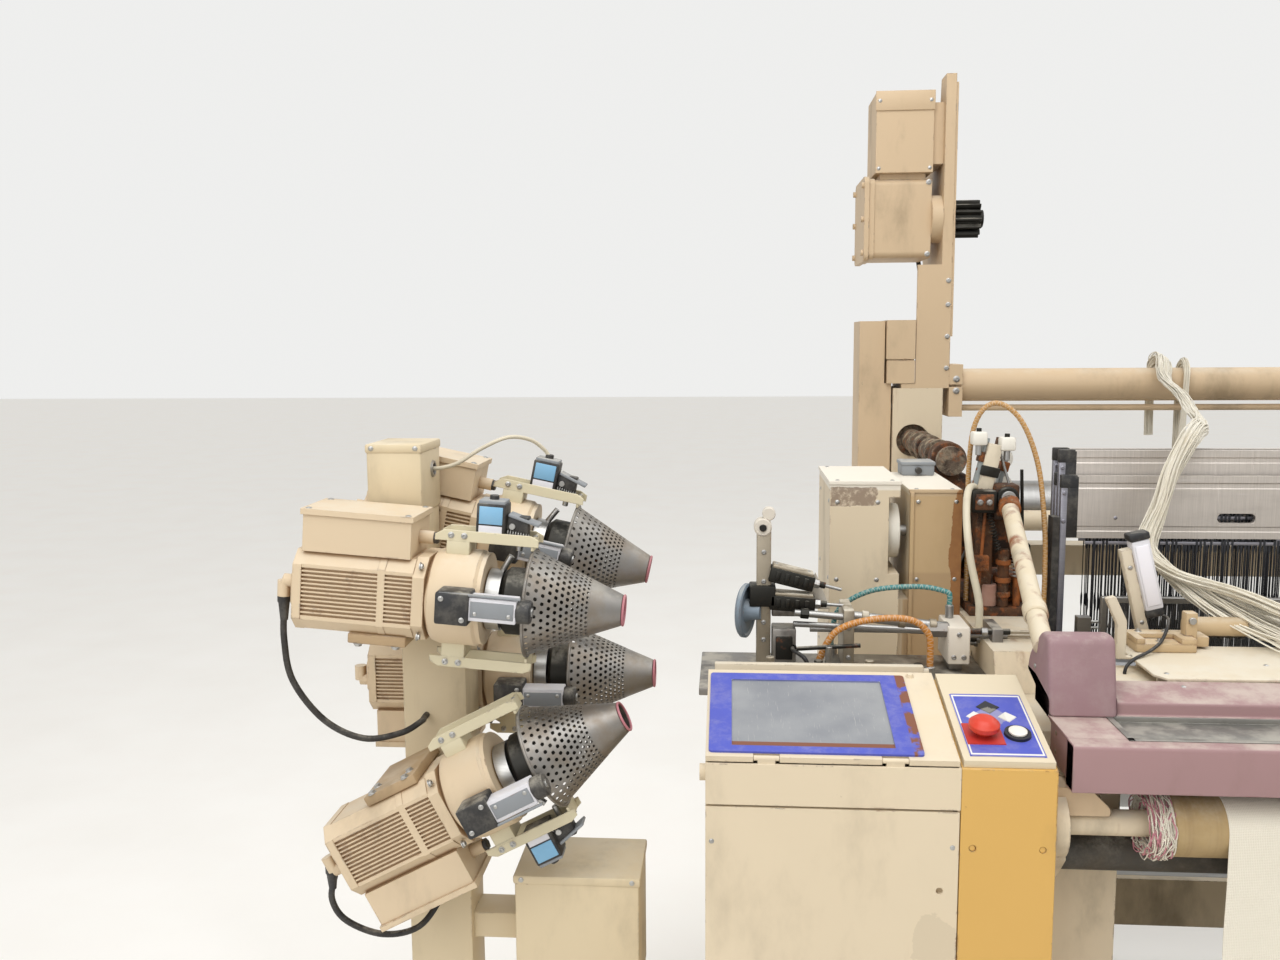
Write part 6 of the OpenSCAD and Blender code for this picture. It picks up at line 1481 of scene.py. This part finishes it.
class LOOM_OT_selvedge(bpy.types.Operator):
    """Builds the selvedge unit: head, slanting bars, caps, spools, springs, levers and the stained support tube."""

    bl_idname = "loom.selvedge"
    bl_label = "Selvedge unit"

    def execute(self, context):
        iron, orange, pale, white, grey, steel, pink, dark = range(8)
        heap = Heap(origin=(-1.2, 0, 1.06))
        block(heap, (10, 115), (-70, 420), (0, 16), iron, 2)
        moulded(heap, bent([(-60, 16), (20, 16), (20, 150), (-4, 190), (-60, 190)], 5), 20, 50, 0, 2.5, iron)
        add_turned(heap, [(0.022, 0), (0.022, 0.005), (0.014, 0.007), (0.014, 0)], (0.016, -0.02, 0.12),
                   (0.02, -0.02, 0.12), 24, slot=orange, close=True)
        pin(heap, (12, -20, 120), (52, -20, 120), 17, steel)
        block(heap, (50, 100), (-40, 40), (90, 175), iron, 4)
        block(heap, (52, 116), (-30, 52), (16, 66), orange, 4)
        block(heap, (60, 108), (-34, -28), (24, 58), iron, 2)
        block(heap, (6, 50), (-84, -40), (188, 228), dark, 4)
        block(heap, (12, 44), (-88, -82), (194, 222), iron, 2)
        block(heap, (48, 92), (-70, -26), (174, 236), iron, 4)
        pin(heap, (70, -78, 214), (70, -24, 214), 40, dark, 28)
        pin(heap, (70, -83, 214), (70, -76, 214), 26, steel, 24)
        bolts(heap, [(20, -88, 208), (36, -88, 208)], (0, -1, 0), 5, "hex", steel)
        bolts(heap, [(56, -70, 186), (84, -70, 186), (84, -34, 40), (68, -34, 40)], (0, -1, 0), 5, "hex", orange)
        for k, shade in ((0, grey), (1, iron), (2, grey)):
            foot = np.array((12 + 17 * k, -58 + 22 * k, 226 - 40 * k)) - (1200, 0, -1060)
            tilted(heap, foot, 14, -3)
            block(heap, (0, 7), (0, 18), (0, 96 + 40 * k), shade, 1)
            for z in np.arange(14, 90 + 40 * k, 24):
                bolts(heap, [(0, 9, z)], (-1, 0, 0), 3, "pan", orange)
            block(heap, (-4, 12), (-3, 21), (52 + 30 * k, 70 + 30 * k), orange, 2)
        tilted(heap, (-1180, -62, 1288), 12)
        block(heap, (0, 26), (0, 12), (0, 84), pale, 2)
        block(heap, (-3, 30), (-3, 2), (26, 44), dark, 2)
        heap.at(origin=(-1.2, 0, 1.06))
        for x, y, z in ((58, -66, 296), (8, -70, 306)):
            block(heap, (x, x + 26), (y, y + 28), (z, z + 24), white, 4)
            pin(heap, (x + 13, y + 14, z - 18), (x + 13, y + 14, z + 1), 11, steel)
            pin(heap, (x + 13, y + 14, z + 23), (x + 13, y + 14, z + 30), 9, dark)
        for z in (220, 270):
            spool = [(0.022, 0), (0.022, 0.004), (0.015, 0.006), (0.019, 0.014), (0.019, 0.046), (0.015, 0.054),
                     (0.022, 0.056), (0.022, 0.06)]
            add_turned(heap, spool, (0.088, 0.06, z / 1000), (0.088, 0.12, z / 1000), 28, slot=white)
        pin(heap, (88, 40, 245), (88, 160, 245), 14, steel)
        block(heap, (78, 98), (100, 150), (16, 240), iron, 3)
        pin(heap, (46, -52, 16), (46, -52, 56), 30, pink, 28)
        pin(heap, (46, -52, 55), (46, -52, 72), 14, steel)
        pin(heap, (96, -52, 16), (96, -52, 150), 14, orange)
        pin(heap, (70, -58, 16), (70, -58, 120), 20, iron)
        for z in (34, 60, 92):
            pin(heap, (70, -58, z), (70, -58, z + 9), 27, orange)
        spring(heap, (88, -66, 70), (88, -62, 170), 6, 2, 15, steel)
        spring(heap, (110, -20, 66), (106, -8, 176), 5, 1.8, 18, steel)
        spring(heap, (56, -76, 120), (40, -70, 186), 5, 1.8, 12, dark)
        pin(heap, (104, -46, 150), (62, -30, 300), 5, steel, 10)
        pin(heap, (112, -30, 60), (98, -52, 262), 6, dark, 10)
        pin(heap, (24, -76, 60), (34, -66, 188), 6, orange, 10)
        block(heap, (14, 40), (-84, -70), (84, 112), orange, 3)
        block(heap, (92, 116), (-62, -40), (108, 130), dark, 3)
        tilted(heap, (-1169, 206, 1064), 11.4, 42)
        block(heap, (0, 8), (0, 16), (0, 240), dark, 2)
        heap.at(origin=(-1.2, 0, 1.06))
        pin(heap, (100, 260, 10), (92, 130, 230), 12, iron)
        pin(heap, (52, 180, 165), (52, 369, 165), 18, steel)
        block(heap, (44, 60), (180, 196), (15, 169), iron, 3)
        block(heap, (14, 90), (368, 412), (15, 205), iron, 4)
        add_turned(heap, [(0.0243, 0), (0.036, 0), (0.038, 0.002), (0.038, 0.042), (0.036, 0.044), (0.0243, 0.044)],
                   (0.052, 0.368, 0.235), (0.052, 0.412, 0.235), 36, slot=iron, close=True)
        heap.piece("selvedge_works", ["rusty_unit", "rust_orange", "cream_plate", "start_white", "grey_steel",
                                      "turned_steel", "roller_pink", "dark_iron"], "loom", "rusty_iron", 40,
                   ["selvedge_unit"])

        heap = Heap(origin=(-1.2, 0, 1.06))
        pin(heap, (72, -74, 204), (22, -500, 62), 29, 0, 36)
        pin(heap, (72.4, -70, 205.3), (69, -99, 195.6), 37, 1, 36)
        pin(heap, (33.7, -400, 95.3), (30.8, -425, 87), 36, 0, 36)
        bolts(heap, [(27, -412, 96)], (-0.7, 0, 0.7), 4.5, "socket", 2)
        heap.piece("selvedge_tube", ["tube_cream", "rust_orange", "bright_steel"], "loom", "rusty_iron", 40)
        return {"FINISHED"}


class LOOM_OT_tandem(bpy.types.Operator):
    """Builds the tandem nozzles on their shelf: brake disc, upright, valves, shield, long tubes and their holder."""

    bl_idname = "loom.tandem"
    bl_label = "Tandem nozzles"

    def execute(self, context):
        grey, cream, disc, dark, steel, white, light = range(7)
        heap = Heap(origin=(-1.2, 0, 1.01))
        block(heap, (-465, -0.5), (-360, -150), (-12, 0), grey, 1.5)
        block(heap, (-440, -120), (-372, -359), (-12, 44), cream, 2)
        block(heap, (-16, -0.5), (-360, -150), (-110, -12), cream, 2)
        bolts(heap, [(x, -372, 30) for x in (-420, -340, -260, -180)], (0, -1, 0), 4, "hex", steel)
        block(heap, (-372, -348), (-214, -190), (0, 228), light, 2)
        for z in (40, 70, 140, 190):
            bolts(heap, [(-360, -214, z)], (0, -1, 0), 4, "socket", steel)
        face = np.array([np.cos(np.radians(-19)), np.sin(np.radians(-19)), 0])
        seat = np.array([-0.394, -0.202, 0.088])
        wheel = [(0.0, -0.001), (0.043, -0.001), (0.046, 0.002), (0.046, 0.008), (0.042, 0.010), (0.040, 0.006),
                 (0.020, 0.006),
                 (0.016, 0.014), (0.013, 0.032), (0.0, 0.032)]
        add_turned(heap, wheel, seat, seat + face, 48, slot=disc)
        for k in range(8):
            way = np.cross(face, [0, 0, 1]) * np.cos(k * np.pi / 4) + np.array([0, 0, 1]) * np.sin(k * np.pi / 4)
            screw(heap, seat + way * 0.030 - face * 0.0008, -face, 0.0032, kind="socket", slot=steel)
        block(heap, (-384, -340), (-222, -182), (98, 134), dark, 3)
        pin(heap, (-362, -216, 232), (-362, -188, 232), 30, white, 28)
        pin(heap, (-352, -212, 254), (-352, -192, 254), 22, white, 24)
        pin(heap, (-362, -220, 232), (-362, -214, 232), 12, dark)
        pin(heap, (-362, -202, 226), (-355, -202, 262), 9, steel)
        for z, slope in ((156, 14), (108, 4)):
            tilted(heap, (-1548, -206, 1010 + z), slope)
            block(heap, (-2, 74), (-16, 18), (-15, 11), dark, 3)
            block(heap, (0, 70), (-15, 17), (10, 16), light, 2)
            for x in (8, 24, 40, 56):
                block(heap, (x, x + 8), (-18, -15), (-10, 6), dark, 1.5)
            bolts(heap, [(6, 0, 16), (62, 0, 16)], (0, 0, 1), 3.2, "pan", steel)
            pin(heap, (73, 1, -1), (84, 1, -1), 16, steel, 6)
            pin(heap, (83, 1, -1), (94, 1, -1), 11, dark)
            pin(heap, (93, 1, -1), (122, 1, -1), 6, steel, 12)
        heap.at(origin=(-1.2, 0, 1.01))
        shield = bent([(88, -290), (88, -246), (152, -272), (118, -284)][::-1], 3)
        moulded(heap, shield, -188, -184, 1, 0.6, white)
        block(heap, (-346, -276), (-204, -184), (78, 92), grey, 2)
        block(heap, (-346, -306), (-226, -180), (0, 62), grey, 3)
        block(heap, (-340, -312), (-230, -224), (10, 50), dark, 2)
        pin(heap, (-310, -236, 93), (-220, -236, 86), 12, steel)
        pin(heap, (-300, -236, 92.2), (-286, -236, 91.1), 18, dark, 6)
        pin(heap, (-224, -236, 90), (-60, -236, 72), 16, steel, 24)
        for x in (-200, -140, -90):
            pin(heap, (x, -236, 90 - (x + 224) * 0.11), (x + 12, -236, 90 - (x + 236) * 0.11), 21, light, 24)
        pin(heap, (-310, -205, 66), (-212, -205, 62), 10, steel)
        pin(heap, (-212, -205, 62), (-60, -205, 56), 12, steel)
        pin(heap, (-280, -176, 50), (-60, -176, 50), 10, steel)
        block(heap, (-230, -212), (-246, -160), (0, 100), light, 2.5)
        bolts(heap, [(-221, -246, 20), (-221, -246, 70)], (0, -1, 0), 4, "hex", steel)
        block(heap, (-62, -26), (-256, -166), (14, 76), white, 3)
        block(heap, (-56, -34), (-240, -180), (0, 15), grey, 2)
        bolts(heap, [(-52, -256, 26), (-36, -256, 26), (-44, -256, 64)], (0, -1, 0), 4, "socket", steel)
        pin(heap, (-94, -236, 68), (-58, -236, 68), 27, grey, 6)
        for k in range(4):
            y, z = -240 + 18 * k, 66 - 11 * k
            pin(heap, (-27, y, z), (40, y, z), 10, dark if k % 2 == 0 else steel, 20)
            pin(heap, (38, y, z), (80, y, z), 6, light, 16)
            pin(heap, (-6, y, z), (4, y, z), 14, steel, 6)
        block(heap, (10, 28), (-248, -176), (24, 72), grey, 2)
        for k in range(5):
            x, y, h = -430 + 78 * k, -320 + 12 * (k % 3), 30 + 8 * (k % 2)
            pin(heap, (x, y, -1), (x, y, h * 0.5), 20, grey, 6)
            pin(heap, (x, y, h * 0.5 - 1), (x, y, h), 14, light if k % 2 else dark, 20)
            pin(heap, (x + 12, y + 8, 0), (x + 12, y + 8, 9), 11, steel, 6)
        pin(heap, (-440, -300, 14), (-100, -300, 14), 12, cream)
        pin(heap, (-310, -300, 49), (-208, -300, 56), 7, dark)
        pin(heap, (-258, -300, -1), (-258, -300, 54), 12, steel)
        # The seats that the hoses and the sensor lead run into
        for x, y, z, d in ((-240, -150, 0, 15), (-270, -280, 0, 17), (-290, -272, 0, 13)):
            pin(heap, (x, y, z - 1), (x, y, z + 16), d + 4, steel, 6)
        pin(heap, (-48, -188, 76), (-48, -188, 98), 14, steel, 20)
        pin(heap, (-96, -288, -1), (-96, -288, 20), 17, steel, 20)
        pin(heap, (-312, -226, 30), (-312, -218, 30), 14, dark, 20)
        heap.piece("tandem_works",
                   ["nozzle_metal", "cream_plate", "disc_grey", "dark_iron", "turned_steel", "dusty_white",
                                    "dusty_metal"], "loom", "cast_iron", 40, ["tandem_nozzles"])
        return {"FINISHED"}


class LOOM_OT_feeder_gear(bpy.types.Operator):
    """Adds what each feeder carries: solenoid with its blank cap, linkage, yarn sensor and fasteners."""

    bl_idname = "loom.feeder_gear"
    bl_label = "Feeder gear"

    def execute(self, context):
        dark, pale, blue, steel, grey = range(5)
        heap = Heap()
        for k, (tip, _, _) in enumerate(FEEDERS):
            heap.at(feeder_basis(k), tip)
            block(heap, (-208, -168), (-18.5, 18.5), (84, 134), dark, 2.5)
            block(heap, (-204, -172), (-20, -18), (106, 130), blue, 0.8)
            block(heap, (-204, -172), (-19.6, -18), (88, 104), pale, 0.8)
            block(heap, (-206, -170), (-17, 17), (133, 138), grey, 1.5)
            pin(heap, (-188, 0, 136), (-188, 0, 144), 13, dark)
            block(heap, (-168, -138), (-10, 10), (88, 118), dark, 2)
            pin(heap, (-160, -12, 104), (-160, 12, 104), 9, steel)
            spring(heap, (-166, -13, 96), (-134, -13, 92), 3.5, 1.4, 9, steel)
            slope = np.radians(16)
            own = np.array([[np.cos(slope), 0, -np.sin(slope)], [0, 1, 0], [np.sin(slope), 0, np.cos(slope)]])
            seat = np.array((-166, -13, 118)) / 1000 @ feeder_basis(k) + np.array(tip)
            heap.at(own @ feeder_basis(k), seat)
            block(heap, (0, 44), (0, 26), (0, 4), grey, 1)
            heap.at(feeder_basis(k), tip)
            pin(heap, (-150, 0, 70), (-150, 0, 90), 9, steel)
            block(heap, (-236, -192), (-112, -70), (-12, 30), dark, 3)
            block(heap, (-193, -131), (-108, -78), (-5, 26), pale, 1.5)
            block(heap, (-190, -134), (-109, -107), (0, 21), grey, 0.6)
            block(heap, (-232, -126), (-110, -104), (27, 30), grey, 0.8)
            pin(heap, (-132, -95, 10), (-113, -95, 10), 31, dark, 32)
            pin(heap, (-113.5, -95, 10), (-111, -95, 10), 12, steel)
            bolts(heap, [(-228, -112, 22), (-200, -112, -4)], (0, -1, 0), 3.4, "socket", steel)
            bolts(heap, [(-184, -109, 5), (-140, -109, 5)], (0, -1, 0), 2.6, "pan", steel)
        heap.piece("feeder_gear", ["black_plastic", "case_white", "case_blue", "bright_steel", "grey_case"], "loom",
                   "dark_plastic", 40, ["feeder_solenoids"])

        # Screws, seams and cable glands of the motors and their terminal boxes
        heap = Heap()
        for k, (tip, _, _) in enumerate(FEEDERS):
            heap.at(feeder_basis(k), tip)
            top = 108 / 2 + 58
            for x in (-430, -294):
                bolts(heap, [(x, y, top) for y in (-42, 42)], (0, 0, 1), 4.2, "pan")
            bolts(heap, [(-272, s * 52, z) for s in (-1, 1) for z in (-48, 48)], (1, 0, 0), 5.5, "socket")
            pin(heap, (-268.5, 0, 78), (-262, 0, 78), 17, 1, 6)
        # Tapered glands where the two cables leave the elbows
        heap.at()
        for a, b in (((-2223.7, -615, 1213), (-2225, -615.6, 1172)), ((-2175, -610.5, 822), (-2176, -606, 784))):
            add_turned(heap, [(0.0088, 0), (0.0088, 0.010), (0.0076, 0.012), (0.0052, 0.036), (0.0046, 0.036)],
                       np.array(a) / 1000, np.array(b) / 1000, 24, slot=1)
        heap.piece("feeder_fasteners", ["bright_steel", "black_plastic"], "loom", "bright_steel", 40)
        return {"FINISHED"}


class LOOM_OT_stand(bpy.types.Operator):
    """Builds the feeder stand: base plate, post, saddles, the control boxes with their lids, and the cable duct."""

    bl_idname = "loom.stand"
    bl_label = "Feeder stand"

    def execute(self, context):
        heap, cx = Heap(), -2047.5
        block(heap, (cx - 190, cx + 190), (-630, -310), (0, 16), radius=3)
        block(heap, (cx - 47.5, cx + 47.5), (-510, -430), (15, 1230), radius=4)
        for s in (-1, 1):
            moulded(heap, [(-580, 16), (-509, 16), (-509, 140)], cx + s * 40 - 4, cx + s * 40 + 4)
            for y in (-600, -340):
                bolts(heap, [(cx + s * 160, y, 16)], (0, 0, 1), 13, "hex", 1)
        for k, (tip, _, _) in enumerate(FEEDERS):
            near = tip[1] < -0.47
            heap.at(feeder_basis(k), tip)
            reach = (-44, 77) if near else (-72, 44)
            block(heap, (-370, -290), reach, (-68, -54), 2, 2)
            y = -30 if near else 30
            bolts(heap, [(x, y + d, -68) for x in (-356, -304) for d in (-10, 14)], (0, 0, -1), 6, "hex", 1)
        heap.at()
        block(heap, (-2124, -2056), (-514, -420), (1229, 1309), radius=3)
        block(heap, (-2134, -2054), (-520, -416), (1308, 1400), radius=4)
        block(heap, (-2135.5, -2052.5), (-521.5, -414.5), (1396, 1409), radius=3)
        add_turned(heap, [(0.0085, 0), (0.012, 0), (0.012, 0.003), (0.0085, 0.003)],
                   (-2.054, -0.46, 1.368), (-2.05, -0.46, 1.368),
                   28, slot=1, close=True)
        pin(heap, (-2055, -460, 1368), (-2053.4, -460, 1368), 17, 3)
        bolts(heap, [(x, -521.5, 1403) for x in (-2126, -2062)] + [(x, -514, 1240) for x in (-2114, -2066)],
              (0, -1, 0), 3.6,
              "pan", 1)
        block(heap, (-1925, -1745), (-560, -430), (600, 782), radius=4)
        block(heap, (-1927, -1743), (-562, -428), (778, 791), radius=3)
        bolts(heap, [(x, y, z) for y, z in ((-562, 785), (-560, 612)) for x in (-1915, -1755)], (0, -1, 0), 3.6, "pan",
              1)
        block(heap, (-2001, -1924), (-500, -440), (660, 700), radius=3)
        block(heap, (cx + 190, -1240), (-330, -270), (0, 30), radius=2)
        block(heap, (cx + 150, cx + 191), (-330, -270), (15, 30), radius=2)
        block(heap, (-1241, -1200.5), (-330, -270), (0, 70), radius=2)
        for x in np.arange(-1780, -1260, 130):
            block(heap, (x, x + 22), (-333, -267), (0, 33), 0, 1.5)
        heap.piece("stand_post", ["cream_stand", "bright_steel", "saddle_tan", "black_plastic"], "loom", "cream_paint",
                   40,
                   ["feeder_stand"])
        free_hose("feeder_lead", [[-2053, -460, 1368], [-2040, -460, 1369], [-2016, -456, 1376], [-1984, -440, 1396],
                                  [-1950, -414, 1410], [-1922, -384, 1404], [-1904, -366, 1388], [-1897, -361, 1376],
                                  [-1895.5, -360, 1368]], 6, "hose_pale", "white_plastic", None)
        return {"FINISHED"}


class LOOM_OT_fittings(bpy.types.Operator):
    """Adds bolts, lid lines, hinges and clips of the frames, columns, upper motor, console and main motor."""

    bl_idname = "loom.fittings"
    bl_label = "Small fittings"

    def execute(self, context):
        heap, dark, cream = Heap(), 1, 2
        # Upper motor: lid of the terminal box, its screws, the flange bolts and the clamped cable sleeve
        block(heap, (-1256, -1110), (854.5, 858.5), (2120, 2168), cream, 1.5)
        bolts(heap, [(x, y, z) for y, z in ((854.5, 2144), (858, 1980)) for x in (-1246, -1120)], (0, -1, 0), 4.5,
              "pan")
        bolts(heap, [(x, 867, z) for x in (-1272, -1120) for z in (1768, 1946)], (0, -1, 0), 6.5, "socket")
        for s in (-1, 1):
            bolts(heap, [(s * 1060 - (6 if s < 0 else -6), y, z) for y,
                         z in ((870, 1600), (870, 1760), (870, 1960), (870, 2120))],
                  (s, 0, 0), 7.5, "hex")
            bolts(heap, [(s * 1068, 849.5, z) for z in (1480, 1560, 1640, 1700)], (0, -1, 0), 6, "hex")
            bolts(heap, [(s * x, y, 1441) for x in (1110, 1160) for y in (880, 980)], (0, 0, 1), 8, "hex")
        # Clamps of the top pipe, console hinge screws and column screws
        for s in (-1, 1):
            bolts(heap, [(s * 1042, 849, z) for z in (1452, 1422)], (0, -1, 0), 8, "socket")
        bolts(heap, [(x, -677, 905) for x in (-1640, -1332)], (0, -1, 0), 3.2, "pan")
        # Bolts of the cross girders and foot plates at the side frames
        for s in (-1, 1):
            for y, z in ((-470, 1000), (-440, 1035), (880, 1380), (980, 1380), (880, 1200), (980, 1200)):
                bolts(heap, [(s * 1200, y, z)], (s, 0, 0), 9, "hex")
        gusset = [(937, -1197), (937, -1126), (946, -1126), (972, -1152), (974, -1197)]
        for s in (-1, 1):
            heap.at(np.diag([s, 1, 1]))
            moulded(heap, bent([(z, -x) for z, x in gusset][::-1], 3), -640, -600, 1, 1.5, cream)
        heap.at()
        heap.piece("frame_fasteners", ["bright_steel", "black_plastic", "beige_steel"], "loom", "bright_steel", 40)
        free_hose("upper_cable", [[-1180, 1031, 2010], [-1180, 1042, 2008], [-1178, 1058, 1990], [-1168, 1070, 1950],
                                  [-1150, 1072, 1900], [-1128, 1066, 1830], [-1112, 1050, 1760], [-1104, 1036, 1690],
                                  [-1100, 1030, 1640], [-1100, 1024, 1612], [-1100, 1012, 1598], [-1100, 1004, 1590]],
                  12,
                  "cable_black", "dark_plastic", None)
        return {"FINISHED"}


class LOOM_PT_panel(bpy.types.Panel):
    """Lists the steps of the dressing in the sidebar."""

    bl_idname = "LOOM_PT_panel"
    bl_label = "Power loom"
    bl_space_type = "VIEW_3D"
    bl_region_type = "UI"
    bl_category = "Loom"

    def draw(self, context):
        for settings in (context.scene.loom_colours, context.scene.loom_sizes):
            for name in settings.__annotations__:
                self.layout.prop(settings, name)
        for step in STEPS:
            self.layout.operator(step.bl_idname)


STEPS = [LOOM_OT_stage, LOOM_OT_hoses, LOOM_OT_finishes, LOOM_OT_cones, LOOM_OT_heald_frames, LOOM_OT_reed,
         LOOM_OT_hank, LOOM_OT_cloth, LOOM_OT_cover, LOOM_OT_breast, LOOM_OT_rolls, LOOM_OT_drive, LOOM_OT_selvedge,
         LOOM_OT_tandem, LOOM_OT_feeder_gear, LOOM_OT_stand, LOOM_OT_fittings]
CLASSES = [LoomColours, LoomSizes, *STEPS, LOOM_PT_panel]


def register():
    for c in CLASSES:
        bpy.utils.register_class(c)
    bpy.types.Scene.loom_colours = bpy.props.PointerProperty(type=LoomColours)
    bpy.types.Scene.loom_sizes = bpy.props.PointerProperty(type=LoomSizes)


def unregister():
    del bpy.types.Scene.loom_colours, bpy.types.Scene.loom_sizes
    for c in reversed(CLASSES):
        bpy.utils.unregister_class(c)


def main():
    register()
    for step in STEPS:
        group, action = step.bl_idname.split(".")
        getattr(getattr(bpy.ops, group), action)()


if __name__ == "__main__":
    main()
